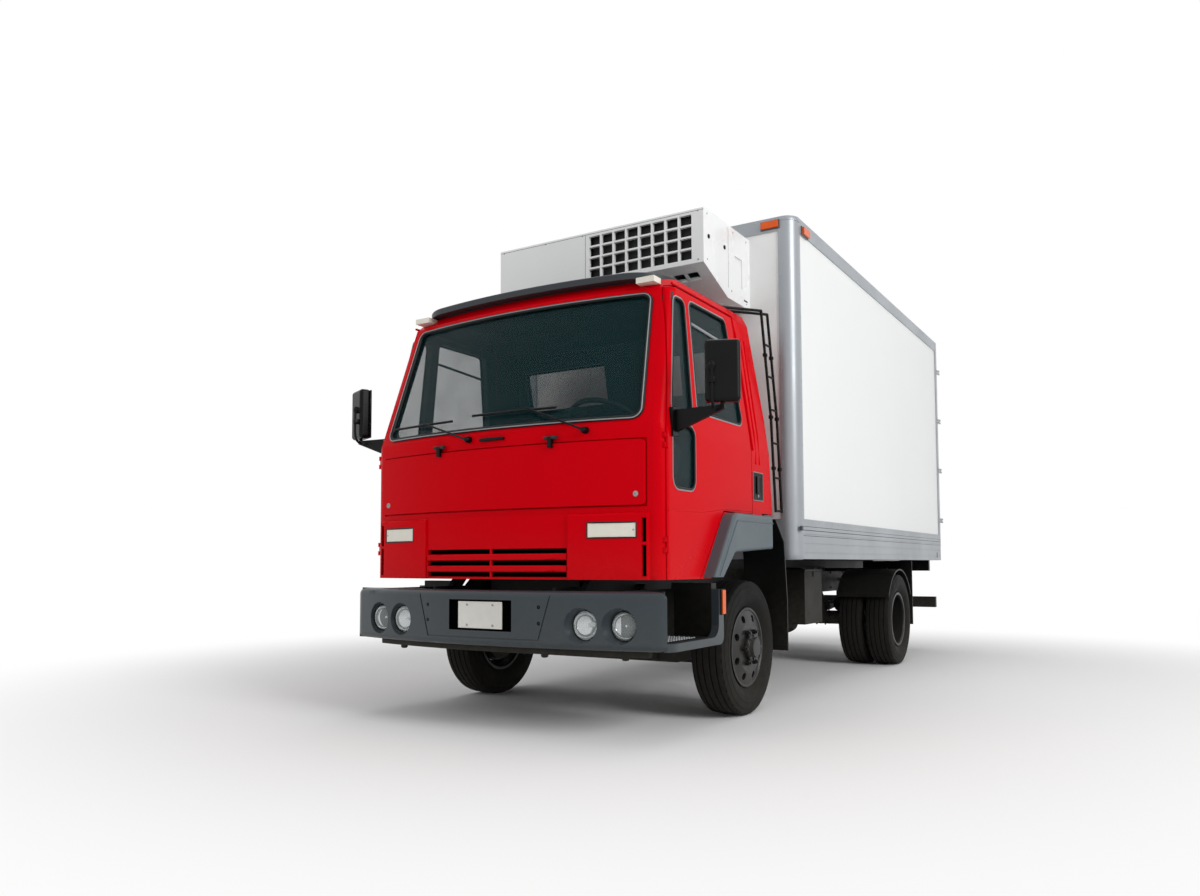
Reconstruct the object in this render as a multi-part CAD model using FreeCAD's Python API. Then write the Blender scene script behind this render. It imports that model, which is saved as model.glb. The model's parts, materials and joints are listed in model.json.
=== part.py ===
import FreeCAD, Part
import math
import os

os.makedirs("parts", exist_ok=True)

# Light refrigerated truck: tilting forward-control cab, insulated box and a fridge unit on its front wall.
# Millimetres. +Z is up, the truck faces -Y and its left side is at +X.
# The origin is on the ground, half way along the truck and on its middle plane.

V = FreeCAD.Vector
X_AXIS = V(1, 0, 0)
Y_AXIS = V(0, 1, 0)
Z_AXIS = V(0, 0, 1)

# Driving dimensions of the whole truck
overall_length = 6340.0
front_overhang = 1290.0
wheelbase = 3300.0
rear_gear_depth = 79.0

front_end_y = -overall_length / 2
rear_end_y = overall_length / 2
front_axle_y = front_end_y + front_overhang
rear_axle_y = front_axle_y + wheelbase

# The whole front is bowed in plan about this radius
bow_radius = 4000.0

# Clearances and a shared overrun for cuts
running_clearance = 5.0
seat_gap = 0.3
cut_overrun = 50.0
find_tolerance = 1.0

# Tyres and rims, 17.5 inch
tyre_radius = 402.0
tyre_width = 215.0
tyre_bead_radius = 224.0
tyre_bead_half_width = 75.0
tyre_shoulder_drop = 6.0
tyre_shoulder_mid_drop = 13.0
tyre_wall_top_drop = 30.0
tyre_shoulder_half_share = 0.82
tyre_shoulder_mid_half_share = 0.89
tyre_wall_top_half_share = 0.93
rim_flange_radius = 236.0
rim_flange_thickness = 12.0
rim_wall = 10.0
rim_weld_inset = 30.0
disc_thickness = 9.0
disc_flat_radius = 150.0
hub_bore_radius = 82.0
hub_radius = 81.0
hub_cap_radius = 62.0
hand_hole_radius = 22.0
hand_hole_circle = 181.0
hand_hole_count = 8
wheel_nut_radius = 14.0
wheel_nut_height = 22.0
wheel_nut_circle = 102.5
wheel_nut_count = 6
drum_radius = 170.0
drum_width = 90.0
drum_inner_reach = 50.0
drum_outer_reach = 40.0
drum_shoulder_radius = 136.0
disc_pad_radius = 127.0
hub_cap_end_radius = 56.0
hub_step = 14.0
rear_hub_taper_radius = 74.0
rear_hub_taper_share = 0.8
front_track = 1850.0
front_disc_outset = 100.0
front_cap_outset = 148.0
dual_spacing = 240.0
rear_outer_centre_x = 992.0
rear_cap_inset = 40.0

wheel_centre_z = tyre_radius
front_wheel_x = front_track / 2
rear_inner_centre_x = rear_outer_centre_x - dual_spacing
rear_pair_x = (rear_outer_centre_x + rear_inner_centre_x) / 2

# Steering
kingpin_x = 775.0
kingpin_radius = 19.0
kingpin_boss_radius = 40.0
kingpin_boss_height = 110.0
kingpin_clearance = 0.3
yoke_arm_thickness = 26.0
yoke_gap = 5.0
yoke_half_width = 42.0
yoke_plate_x = 822.0
yoke_plate_thickness = 20.0
stub_radius = 30.0
stub_end_short_of_cap = 30.0
backplate_radius = 160.0
backplate_thickness = 6.0
steering_arm_length = 170.0
steering_arm_width = 36.0
steering_arm_thickness = 18.0
track_rod_radius = 15.0
track_rod_eye_radius = 24.0
track_rod_pin_radius = 9.0
track_rod_drop = 60.0

# Chassis
rail_outer_half = 420.0
rail_flange = 70.0
rail_web = 8.0
rail_height = 210.0
rail_bottom_z = 640.0
rail_front_from_end = 105.0
rail_rear_from_end = 150.0
rail_nose_drop = 74.0
rail_nose_from_axle = 820.0
rail_nose_ramp = 90.0
cross_member_depth = 60.0
cross_member_height = 150.0
cross_member_places_share = (0.02, 0.36, 0.50, 0.64, 0.83, 1.0)
tow_bolt_across = 120.0
tow_bolt_upright = 55.0
tow_hole_radius = 7.5
spring_width = 66.0
spring_half_length = 600.0
spring_camber = 95.0
spring_centre_thickness = 52.0
spring_end_thickness = 14.0
spring_hanger_length = 80.0
spring_x = 385.0
axle_beam_depth = 76.0
axle_beam_height = 84.0
axle_beam_drop = 70.0
axle_beam_low_half = 560.0
rear_tube_radius = 62.0
rear_diff_radius = 165.0
rear_diff_width = 210.0
prop_shaft_radius = 42.0
prop_flange_radius = 62.0
prop_flange_thickness = 22.0
diff_nose_share = 0.8
engine_width = 640.0
engine_front_from_axle = 780.0
engine_rear_from_axle = 60.0
engine_bottom_z = 470.0
engine_top_z = 1150.0
gearbox_width = 330.0
gearbox_length = 620.0
gearbox_bottom_z = 500.0
gearbox_height = 340.0
shaft_start_z = 590.0
tank_radius = 200.0
tank_length_share = 0.236
tank_z = 640.0
tank_place_share = 0.282
air_tank_radius = 110.0
air_tank_length_share = 0.182
silencer_radius = 120.0
silencer_length_share = 0.188
silencer_x = -640.0
silencer_z = 560.0
silencer_place_share = 0.555
exhaust_pipe_radius = 34.0
exhaust_pipe_x = -240.0
exhaust_pipe_z = 500.0
exhaust_tail_reach = 230.0
battery_box_size = 400.0
battery_gap = 40.0
underrun_height = 110.0
underrun_depth = 60.0
underrun_half = 1060.0
underrun_bottom_z = 440.0
underrun_stay_width = 50.0

# Cab, places along the middle plane
cab_front_from_axle = 1178.0
cab_half_width = 1010.0
cab_side_lean = 72.0
cab_bottom_z = 820.0
cab_waist_z = 1600.0
screen_foot_z = 1630.0
screen_head_from_axle = 918.0
screen_head_z = 2408.0
roof_front_from_axle = 850.0
roof_z = 2470.0
roof_edge_step = 26.0
cab_rear_top_y = 262.0
cab_rear_mid_y = 410.0
cab_rear_mid_z = 1830.0
cab_rear_low_y = 480.0
cab_rear_low_z = 1250.0
cab_wall = 45.0
cab_corner_radius = 75.0
cab_corner_radius_top = 60.0
cab_rear_corner_radius = 55.0
least_corner_radius = 8.0
well_inner_x = 500.0
well_front_low_y = -500.0
well_front_high_y = -330.0
well_high_z = 985.0
well_rear_y = 262.0
well_rear_z = 1000.0
side_rear_bottom_z = 1215.0
side_rear_width = 260.0
tunnel_half = 425.0
tunnel_front_from_axle = 880.0
tunnel_top_z = 1240.0
rear_window_inner = 150.0
rear_window_from_side = 170.0
rear_window_bottom_z = 2030.0
rear_window_top_z = 2310.0
glass_thickness = 6.0
glass_inset = 10.0
screen_lower_inset = 120.0
screen_upper_inset = 106.0
screen_bottom_z = 1662.0
screen_top_z = 2372.0
screen_corner_radius = 45.0
screen_cut_from_axle = 240.0

# Cab tilt hinge
tilt_pivot_from_axle = 1130.0
tilt_pivot_z = 560.0
tilt_pin_radius = 16.0
tilt_arm_radius = 36.0
tilt_arm_thickness = 36.0
tilt_arm_x = 475.0
tilt_arm_top_y_from_axle = 860.0
tilt_arm_top_z = 850.0
tilt_arm_half = 34.0

# Cab doors
door_thickness = 50.0
door_seam = 7.0
door_front_low_y = -1016.0
door_front_top_y = -815.0
door_top_z = 2412.0
door_rear_top_y = -25.0
door_rear_mid_y = 95.0
door_rear_mid_z = 1680.0
door_rear_low_y = 106.0
door_sill_front_y = -640.0
door_arch_y = -322.0
door_arch_z = 1206.0
quarter_top_front_y = -797.0
quarter_top_rear_y = -678.0
quarter_top_z = 2352.0
quarter_low_z = 1700.0
quarter_low_front_y = -942.0
quarter_low_rear_y = -700.0
quarter_corner_radius = 38.0
look_down_rear_y = -692.0
look_down_top_z = 1640.0
look_down_bottom_z = 1300.0
look_down_corner_radius = 56.0
main_window_front_top_y = -614.0
main_window_front_low_y = -624.0
main_window_rear_top_y = -132.0
main_window_rear_low_y = -8.0
main_window_top_z = 2366.0
main_window_low_z = 1742.0
main_window_corner_radius = 40.0
handle_front_y = 128.0
handle_rear_y = 205.0
handle_low_z = 1300.0
handle_high_z = 1462.0
handle_depth = 22.0
hinge_radius = 9.0
hinge_pin_radius = 5.0
hinge_knuckle_length = 26.0
hinge_gap = 0.3
hinge_leaf = 6.0
hinge_leaf_reach = 22.0
door_hinge_ahead = 1.0
hinge_leaf_depth = 24.0
door_hinge_low_z = 960.0
door_hinge_high_z = 1500.0

# Mirrors
mirror_outset = 277.0
mirror_centre_from_axle = 930.0
mirror_centre_z = 1880.0
mirror_width = 180.0
mirror_height = 320.0
mirror_depth = 72.0
mirror_turn_deg = 25.0
mirror_corner_radius = 22.0
mirror_tube_radius = 11.0
mirror_bracket_width = 60.0
mirror_bracket_height = 150.0
mirror_bracket_thickness = 16.0
mirror_bracket_z = 1640.0
mirror_bracket_behind_seam = 45.0
mirror_arm_thickness = 24.0
arm_root_high_share = 0.93
arm_root_low_share = 0.12

# Front panels
flap_inset = 96.0
flap_corner_radius = 22.0
flap_bottom_z = 1206.0
flap_top_z = 1545.0
flap_face_from_axle = 1190.0
flap_thickness = 20.0
flap_edge_gap = 8.0
flap_hinge_x = 391.0
flap_hinge_z = 1576.0
flap_hinge_stand = 10.0
flap_hinge_width = 74.0
panel_inset = 76.0
panel_top_round = 14.0
panel_bottom_z = 820.0
panel_top_z = 1168.0
panel_face_from_axle = 1202.0
panel_depth = 38.0
panel_recess_half_share = 0.493
panel_recess_depth = 12.0
grille_end_gap = 12.0
grille_post_half = 6.0
grille_bottom_z = 832.0
grille_top_z = 987.0
grille_slat_height = 36.0
grille_slat_count = 2
grille_slat_depth = 24.0
grille_slat_round = 10.0
turn_lamp_inner_share = 0.606
turn_lamp_outer_share = 0.8634
turn_lamp_bottom_z = 1040.0
turn_lamp_top_z = 1114.0
turn_lamp_depth = 16.0
side_vent_inner_inset = 108.0
side_vent_outer_inset = 82.0
side_vent_bottom_z = 838.0
side_vent_top_z = 1140.0
side_vent_rib_z = 1000.0
side_vent_rib_height = 14.0

# Roof board
board_inset = 140.0
board_front_from_axle = 930.0
board_corner_radius = 260.0
board_rear_y = 150.0
roof_lamp_x_share = 0.80
roof_lamp_width = 112.0
roof_lamp_height = 32.0
roof_lamp_depth = 80.0
roof_lamp_stand = 40.0
roof_lamp_bottom_z = 2432.0
board_bottom_z = 2470.3
board_thickness = 40.0
board_edge_radius = 12.0

# Wheel arch flares
flare_outset = 78.0
flare_corner_radius = 110.0
flare_inner_radius = 70.0
flare_edge_radius = 22.0
flare_low_front_y = -600.0
flare_low_inner_y = -480.0
flare_high_front_y = -322.0
flare_high_z = 1196.0
flare_inner_high_z = 965.0
flare_inner_rear_z = 992.0
flare_low_z = 828.0
flare_rear_y = 258.0

# Cab inside
dash_depth = 330.0
dash_reach = 470.0
dash_inset = 70.0
dash_bottom_z = 1350.0
dash_top_z = 1600.0
dash_gap = 0.3
dash_top_share = 0.6
dash_lip_share = 0.25
dash_foot_share = 0.2
wheel_ring_radius = 215.0
wheel_ring_section = 15.0
wheel_ring_x = 400.0
wheel_ring_y_from_axle = 620.0
wheel_ring_z = 1720.0
wheel_ring_lean_deg = 32.0
column_radius = 26.0
column_length = 344.0
spoke_width = 34.0
spoke_thickness = 12.0
seat_width = 480.0
seat_length = 470.0
seat_cushion_thickness = 120.0
seat_front_from_axle = 330.0
seat_top_z = 1440.0
seat_back_height = 560.0
seat_back_thickness = 110.0
seat_x = 450.0

# Ladder behind the cab
ladder_outset = 2.0
ladder_tube_radius = 9.0
ladder_rung_radius = 7.0
ladder_low_z = 1235.0
ladder_front_low_y = 497.0
ladder_front_mid_y = 432.0
ladder_front_mid_z = 1850.0
ladder_front_top_y = 285.0
ladder_spacing = 106.0
ladder_top_z = 2515.0
ladder_roof_inset = 130.0
ladder_roof_y = -60.0
ladder_rung_heights = (1460.0, 1685.0, 1900.0, 2110.0, 2310.0)

# Bumper, lamps and steps
bumper_outset = 80.0
bumper_corner_radius = 90.0
bumper_bottom_z = 462.0
bumper_top_z = 763.0
bumper_wall = 30.0
bumper_lip_depth = 60.0
bumper_seam_from_axle = 1132.0
bumper_top_edge_radius = 40.0
bumper_bottom_edge_radius = 34.0
bumper_seam_depth = 5.0
bumper_seam_width = 7.0
bumper_centre_top_half = 476.0
bumper_centre_low_half = 384.0
bumper_centre_low_z = 503.0
plate_recess_half = 215.0
plate_recess_low_z = 545.0
plate_recess_high_z = 711.0
plate_recess_depth = 13.0
bumper_bolt_x = 383.0
bumper_bolt_heights = (593.0, 678.0)
bumper_bolt_radius = 10.0
lamp_inner_x = 627.0
lamp_outer_x = 836.0
lamp_z = 587.0
lamp_opening_radius = 92.0
lamp_lens_radius = 76.0
lamp_recess = 40.0
lamp_depth = 25.0
step_width = 290.0
step_rear_from_axle = 512.0
step_floor_z = 505.0
step_tread_thickness = 42.0
step_leg = 64.0
step_top_z = 796.0
step_wall = 16.0
sill_width = 44.0
sill_top_z = 763.0
sill_inner_radius = 70.0
sill_outer_radius = 46.0
tread_slot_count = 5
tread_slot_width = 12.0
side_lamp_height = 130.0
side_lamp_width = 40.0
side_lamp_depth = 14.0
side_lamp_top_z = 758.0

# Insulated box
box_half = 1115.0
box_front_from_axle = 633.0
box_bottom_z = 931.0
box_top_z = 3244.0
box_wall = 80.0
box_floor_top_z = 1130.0
box_panel_inset = 8.0
box_corner_radius = 90.0
side_rail_top_z = 1198.0
side_rail_groove_depth = 3.0
side_rail_groove_height = 8.0
side_rail_groove_heights = (968.0, 1030.0, 1092.0)
roof_rail_height = 96.0
roof_rail_width = 70.0
post_leg = 24.0
portal_depth = 60.0
portal_width = 105.0
portal_sill_z = 1130.0
portal_header = 100.0
buffer_width = 120.0
buffer_height = 90.0
buffer_z = 990.0
bearer_height = 60.0
bearer_depth = 70.0
bearer_count = 11
runner_width = 70.0
marker_length = 120.0
marker_height = 46.0
marker_depth = 22.0
marker_from_side_share = 1.2
marker_from_front_share = 1.6

# Rear doors
rear_door_thickness = 50.0
rear_door_gap = 8.0
rear_door_side = 8.0
rear_door_bottom_z = 1085.0
rear_door_top_z = 3196.0
rear_hinge_out = 10.0
rear_hinge_back = 59.0
rear_hinge_count = 4
rear_hinge_radius = 9.0
rear_strap_length = 260.0
rear_strap_height = 46.0
rear_strap_thickness = 5.0
rear_leaf_lip = 2.5
lock_rod_radius = 7.0
lock_rod_from_edge = 260.0
lock_rod_stand = 11.0
lock_guide_shares = (0.04, 0.35, 0.65, 0.96)
lock_guide_half = 20.0
lock_handle_z = 1500.0
lock_handle_length = 420.0

# Fridge unit
unit_half = 792.0
unit_front_from_axle = -93.0
unit_top_z = 3120.0
unit_front_bottom_z = 2770.0
unit_belly_y = 268.0
unit_belly_z = 2632.0
unit_wall = 22.0
unit_edge_radius = 10.0
unit_panel_front_y = 385.0
unit_panel_rear_y = 512.0
unit_panel_low_z = 2745.0
unit_panel_high_z = 2945.0
unit_panel_depth = 12.0
belly_hole_near_share = 0.22
belly_hole_far_share = 0.42
hole_width = 83.0
hole_height = 62.0
hole_pitch_x = 96.2
hole_pitch_z = 74.0
hole_columns = 8
hole_rows = 4
hole_first_x = -47.0
hole_first_top_z = 3084.0
coil_depth = 60.0
coil_gap = 20.0

# Mudguards
front_guard_inner_x = 800.0
front_guard_outer_inset = 4.0
front_stay_inset = 50.0
guard_thickness = 12.0
front_guard_top_y = 306.0
front_guard_top_z = 1180.0
front_guard_mid_y = 452.0
front_guard_mid_z = 1040.0
front_guard_low_y = 500.0
front_guard_low_z = 660.0
front_flap_low_z = 345.0
rear_guard_inner_x = 640.0
rear_guard_outer_x = 1100.0
rear_guard_radius = 436.0
rear_guard_angle_deg = 62.0
rear_flap_low_z = 330.0
rear_flap_y_from_axle = 452.0
guard_stay_radius = 16.0
rear_stay_inset = 110.0

# Rear lamps
rear_lamp_width = 300.0
rear_lamp_height = 110.0
rear_lamp_depth = 50.0
rear_lamp_x = 850.0

# Wipers, places along the windscreen's foot as shares of the cab's half width
wiper_root_drop = 24.0
wiper_root_sink = 4.0
wiper_stand = 34.0
wiper_blade_stand = 14.0
wiper_pivot_radius = 12.0
wiper_arm_radius = 6.0
wiper_blade_radius = 7.0
wiper_elbow_rises = (100.0, 118.0)
wiper_pivot_shares = (-0.166, 0.591)
wiper_elbow_shares = (-0.54, 0.222)
wiper_inner_tip_shares = (-0.317, 0.396)
wiper_outer_tip_shares = (-0.842, -0.164)

# Widths that follow the cab
cab_half_width_top = cab_half_width - cab_side_lean
screen_lower_half = cab_half_width - screen_lower_inset
screen_upper_half = cab_half_width_top - screen_upper_inset
side_rear_inner_x = cab_half_width - side_rear_width
rear_window_outer = cab_half_width - rear_window_from_side
flap_half = cab_half_width - flap_inset
panel_half = cab_half_width - panel_inset
panel_recess_half = cab_half_width * panel_recess_half_share
grille_half = panel_recess_half - grille_end_gap
turn_lamp_inner = cab_half_width * turn_lamp_inner_share
turn_lamp_outer = cab_half_width * turn_lamp_outer_share
side_vent_inner = cab_half_width - side_vent_inner_inset
side_vent_outer = cab_half_width - side_vent_outer_inset
board_half = cab_half_width - board_inset
flare_outer_x = cab_half_width + flare_outset
dash_half = cab_half_width - dash_inset
ladder_x = cab_half_width + ladder_outset
ladder_roof_x = cab_half_width - ladder_roof_inset
mirror_centre_x = cab_half_width + mirror_outset
bumper_half = cab_half_width + bumper_outset
step_inner_x = bumper_half - step_width
front_guard_outer_x = flare_outer_x - front_guard_outer_inset

# Places between the axles
tank_from_axle = wheelbase * tank_place_share
tank_length = wheelbase * tank_length_share
air_tank_length = wheelbase * air_tank_length_share
silencer_from_axle = wheelbase * silencer_place_share
silencer_length = wheelbase * silencer_length_share
gearbox_end_from_axle = gearbox_length - engine_rear_from_axle + seat_gap


def y_at(from_axle):
    """Place along the truck, counted backwards from the front axle."""
    return front_axle_y + from_axle


def block(x0, x1, y0, y1, z0, z1):
    """Box between two corners given by their extents."""
    return Part.makeBox(x1 - x0, y1 - y0, z1 - z0, V(x0, y0, z0))


def prism_x(points, x0, x1):
    """Outline of (y, z) points pulled from x0 to x1."""
    wire = Part.makePolygon([V(x0, y, z) for y, z in points] + [V(x0, points[0][0], points[0][1])])
    return Part.Face(wire).extrude(V(x1 - x0, 0, 0))


def prism_y(points, y0, y1):
    """Outline of (x, z) points pulled from y0 to y1."""
    wire = Part.makePolygon([V(x, y0, z) for x, z in points] + [V(points[0][0], y0, points[0][1])])
    return Part.Face(wire).extrude(V(0, y1 - y0, 0))


def prism_z(points, z0, z1):
    """Outline of (x, y) points pulled from z0 to z1."""
    wire = Part.makePolygon([V(x, y, z0) for x, y in points] + [V(points[0][0], points[0][1], z0)])
    return Part.Face(wire).extrude(V(0, 0, z1 - z0))


def bow_y(x, front):
    """Place of the bowed front at x, for a line that lies at front on the middle plane."""
    return front + bow_radius - math.sqrt(bow_radius ** 2 - x ** 2)


def bowed_block(x0, x1, front, depth, z0, z1):
    """Slab that follows the bowed front from x0 to x1."""
    middle = (x0 + x1) / 2
    near = [V(x, bow_y(x, front), z0) for x in (x0, middle, x1)]
    far = [V(point.x, point.y + depth, z0) for point in near]
    edges = [
        Part.Arc(near[0], near[1], near[2]).toShape(),
        Part.LineSegment(near[2], far[2]).toShape(),
        Part.Arc(far[2], far[1], far[0]).toShape(),
        Part.LineSegment(far[0], near[0]).toShape(),
    ]
    return Part.Face(Part.Wire(edges)).extrude(V(0, 0, z1 - z0))


def bowed_plan(half, front, rear, corner, rear_corner, z):
    """Plan outline with a bowed front and round corners, rear corners square when rear_corner is zero."""
    centre_y = front + bow_radius
    reach = bow_radius - corner
    inner_x = half - corner
    drop = math.sqrt(reach ** 2 - inner_x ** 2)
    spread = bow_radius / reach
    side_y = centre_y - drop
    turn_x = inner_x * spread
    turn_y = centre_y - drop * spread
    angle = math.atan2(turn_y - side_y, turn_x - inner_x) / 2
    mid = V(inner_x + corner * math.cos(angle), side_y + corner * math.sin(angle), z)

    def across(point):
        return V(-point.x, point.y, point.z)

    side = V(half, side_y, z)
    turn = V(turn_x, turn_y, z)
    edges = [
        Part.Arc(across(turn), V(0, front, z), turn).toShape(),
        Part.Arc(turn, mid, side).toShape(),
    ]
    if rear_corner > 0:
        lean = rear_corner * (1 - math.sqrt(0.5))
        rear_side = V(half, rear - rear_corner, z)
        rear_mid = V(half - lean, rear - lean, z)
        rear_turn = V(half - rear_corner, rear, z)
        edges += [
            Part.LineSegment(side, rear_side).toShape(),
            Part.Arc(rear_side, rear_mid, rear_turn).toShape(),
            Part.LineSegment(rear_turn, across(rear_turn)).toShape(),
            Part.Arc(across(rear_turn), across(rear_mid), across(rear_side)).toShape(),
            Part.LineSegment(across(rear_side), across(side)).toShape(),
        ]
    else:
        rear_side = V(half, rear, z)
        edges += [
            Part.LineSegment(side, rear_side).toShape(),
            Part.LineSegment(rear_side, across(rear_side)).toShape(),
            Part.LineSegment(across(rear_side), across(side)).toShape(),
        ]
    edges.append(Part.Arc(across(side), across(mid), across(turn)).toShape())
    return Part.Wire(edges)


def along(profile, z):
    """Value at height z on a profile of (z, value) points."""
    if z <= profile[0][0]:
        return profile[0][1]
    for (low_z, low), (high_z, high) in zip(profile, profile[1:]):
        if z <= high_z:
            return low + (high - low) * (z - low_z) / (high_z - low_z)
    return profile[-1][1]


def rod(start, end, radius):
    """Round bar between two points."""
    path = end - start
    return Part.makeCylinder(radius, path.Length, start, path)


def tube_path(points, radius):
    """Round bar that follows straight runs, with a ball at each bend."""
    pieces = [rod(points[i], points[i + 1], radius) for i in range(len(points) - 1)]
    pieces += [Part.makeSphere(radius, point) for point in points[1:-1]]
    return fuse(pieces)


def fuse(shapes):
    """One shape from several that touch or overlap."""
    joined = shapes[0]
    if len(shapes) > 1:
        joined = shapes[0].multiFuse(shapes[1:])
    return joined.removeSplitter()


def mirrored(shape):
    """Copy on the other side of the truck's middle plane."""
    return shape.mirror(V(0, 0, 0), X_AXIS)


def both_sides(shape):
    """The shape and its mirror copy."""
    return [shape, mirrored(shape)]


def edges_along_x(shape, y, z):
    """Edges of a shape that run along X through a given place in the side view."""
    return [edge for edge in shape.Edges if edge.BoundBox.XLength > find_tolerance
            and abs(edge.BoundBox.YMin - y) < find_tolerance and abs(edge.BoundBox.YMax
                                                                     - y) < find_tolerance
            and abs(edge.BoundBox.ZMin - z) < find_tolerance and abs(edge.BoundBox.ZMax
                                                                     - z) < find_tolerance]


def export(name, shapes):
    """Write one sub-part, made of one or more solids."""
    solids = []
    for shape in shapes:
        solids += shape.Solids
    if not solids:
        raise ValueError("no solid in " + name)
    for solid in solids:
        if not solid.isValid():
            print("invalid solid in", name)
    whole = solids[0] if len(solids) == 1 else Part.makeCompound(solids)
    whole.exportStep("parts/" + name + ".step")
    print(name, len(solids), round(sum(solid.Volume for solid in solids) / 1e6, 2))


# Wheels

def ring_about_x(points, centre):
    """Outline of (x, radius) points turned about the X axis through a centre."""
    wire = Part.makePolygon([V(x, 0, r) for x, r in points] + [V(points[0][0], 0, points[0][1])])
    turned = Part.Face(wire).revolve(V(0, 0, 0), X_AXIS, 360)
    turned.translate(centre)
    return turned


def tyre(centre):
    """Closed tyre ring with curved side walls and round shoulders."""
    half = tyre_width / 2
    shoulder_half = half * tyre_shoulder_half_share
    bulge_radius = (tyre_bead_radius + tyre_radius) / 2
    bead = V(tyre_bead_half_width, 0, tyre_bead_radius)
    bead_top = V(tyre_bead_half_width + seat_gap, 0, rim_flange_radius + seat_gap)
    bulge = V(half, 0, bulge_radius)
    shoulder_low = V(half * tyre_wall_top_half_share, 0, tyre_radius - tyre_wall_top_drop)
    shoulder_mid = V(half * tyre_shoulder_mid_half_share, 0, tyre_radius - tyre_shoulder_mid_drop)
    shoulder_top = V(shoulder_half, 0, tyre_radius - tyre_shoulder_drop)
    crown = V(0, 0, tyre_radius)

    def across(point):
        return V(-point.x, 0, point.z)

    edges = [
        Part.LineSegment(across(bead), bead).toShape(),
        Part.LineSegment(bead, bead_top).toShape(),
        Part.Arc(bead_top, bulge, shoulder_low).toShape(),
        Part.Arc(shoulder_low, shoulder_mid, shoulder_top).toShape(),
        Part.Arc(shoulder_top, crown, across(shoulder_top)).toShape(),
        Part.Arc(across(shoulder_top), across(shoulder_mid), across(shoulder_low)).toShape(),
        Part.Arc(across(shoulder_low), across(bulge), across(bead_top)).toShape(),
        Part.LineSegment(across(bead_top), across(bead)).toShape(),
    ]
    ring = Part.Face(Part.Wire(edges)).revolve(V(0, 0, 0), X_AXIS, 360)
    ring.translate(centre)
    return ring


def rim(centre, outset):
    """Steel rim: barrel, flanges and dished disc with hand holes, its face at outset from the centre."""
    side = math.copysign(1, outset)
    reach = abs(outset)
    seat = tyre_bead_radius - seat_gap
    inner = seat - rim_wall
    flange_in = tyre_bead_half_width + seat_gap * 2
    flange_out = flange_in + rim_flange_thickness
    outline = [
        (flange_out, rim_flange_radius), (flange_in, rim_flange_radius), (flange_in, seat),
        (-flange_in, seat), (-flange_in, rim_flange_radius), (-flange_out, rim_flange_radius),
        (-flange_out, inner + rim_wall / 2), (-flange_in, inner), (flange_in - rim_weld_inset, inner),
        (reach - disc_thickness, disc_flat_radius - disc_thickness / 2), (reach - disc_thickness,
                                                                          hub_bore_radius),
        (reach, hub_bore_radius), (reach, disc_flat_radius), (flange_out - rim_wall / 2,
                                                              seat - rim_wall / 2),
        (flange_out, seat),
    ]
    points = [(side * x, r) for x, r in outline]
    body = ring_about_x(points, V(0, 0, 0))
    for index in range(hand_hole_count):
        angle = 2 * math.pi * (index + 0.5) / hand_hole_count
        place = V(0, hand_hole_circle * math.cos(angle), hand_hole_circle * math.sin(angle))
        body = body.cut(Part.makeCylinder(hand_hole_radius, tyre_width * 2, place, X_AXIS * side))
    body.translate(centre)
    return body


def nuts(centre, face_x, side):
    """Ring of wheel nuts standing on the disc face."""
    found = []
    for index in range(wheel_nut_count):
        angle = 2 * math.pi * index / wheel_nut_count
        place = V(face_x, wheel_nut_circle * math.cos(angle), wheel_nut_circle * math.sin(angle)) + centre
        found.append(Part.makeCylinder(wheel_nut_radius, wheel_nut_height, place, X_AXIS * side))
    return found


def front_hub():
    """Hub, brake drum and cap that turn with the left front wheel."""
    centre = V(front_wheel_x, front_axle_y, wheel_centre_z)
    inner_face = front_disc_outset - disc_thickness
    outline = [
        (-drum_inner_reach, hub_radius), (-drum_inner_reach, drum_radius), (drum_outer_reach, drum_radius),
        (inner_face, drum_shoulder_radius), (inner_face, disc_pad_radius), (inner_face, hub_radius),
        (front_disc_outset + hub_step, hub_radius), (front_disc_outset + hub_step * 2, hub_cap_radius),
        (front_cap_outset, hub_cap_end_radius), (front_cap_outset, 0),
        (front_cap_outset - stub_end_short_of_cap, 0),
        (front_cap_outset - stub_end_short_of_cap, stub_radius + kingpin_clearance),
        (-drum_inner_reach, stub_radius + kingpin_clearance),
    ]
    turned = ring_about_x(outline, centre)
    return [turned]


def front_wheel_solids():
    """Tyre and rim with hub of the left front wheel."""
    centre = V(front_wheel_x, front_axle_y, wheel_centre_z)
    disc_and_hub = [rim(centre, front_disc_outset)] + front_hub() + nuts(centre, front_disc_outset, 1)
    return tyre(centre), fuse(disc_and_hub)


def rear_wheel_solids():
    """Two tyres, and the two rims on one hub, of the left rear wheel."""
    outer = V(rear_outer_centre_x, rear_axle_y, wheel_centre_z)
    inner = V(rear_inner_centre_x, rear_axle_y, wheel_centre_z)
    half = dual_spacing / 2
    hub_end = rear_outer_centre_x - rear_cap_inset - rear_pair_x
    tube_bore = rear_tube_radius + kingpin_clearance
    outline = [
        (-half - drum_width, drum_radius), (-disc_thickness * 2, drum_radius),
        (-disc_thickness, drum_shoulder_radius), (disc_thickness, drum_shoulder_radius),
        (disc_thickness, hub_bore_radius), (hub_end * rear_hub_taper_share, rear_hub_taper_radius),
        (hub_end, hub_cap_radius),
        (hub_end, 0), (hub_end - stub_end_short_of_cap, 0), (hub_end - stub_end_short_of_cap, tube_bore),
        (-half - drum_width, tube_bore),
    ]
    hub = ring_about_x(outline, V(rear_pair_x, rear_axle_y, wheel_centre_z))
    pair = V(0, rear_axle_y, wheel_centre_z)
    rims = [rim(outer, -half - disc_thickness), rim(inner, half + disc_thickness), hub]
    rims += nuts(pair, rear_pair_x + disc_thickness, 1)
    return [tyre(outer), tyre(inner)], fuse(rims)


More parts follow.
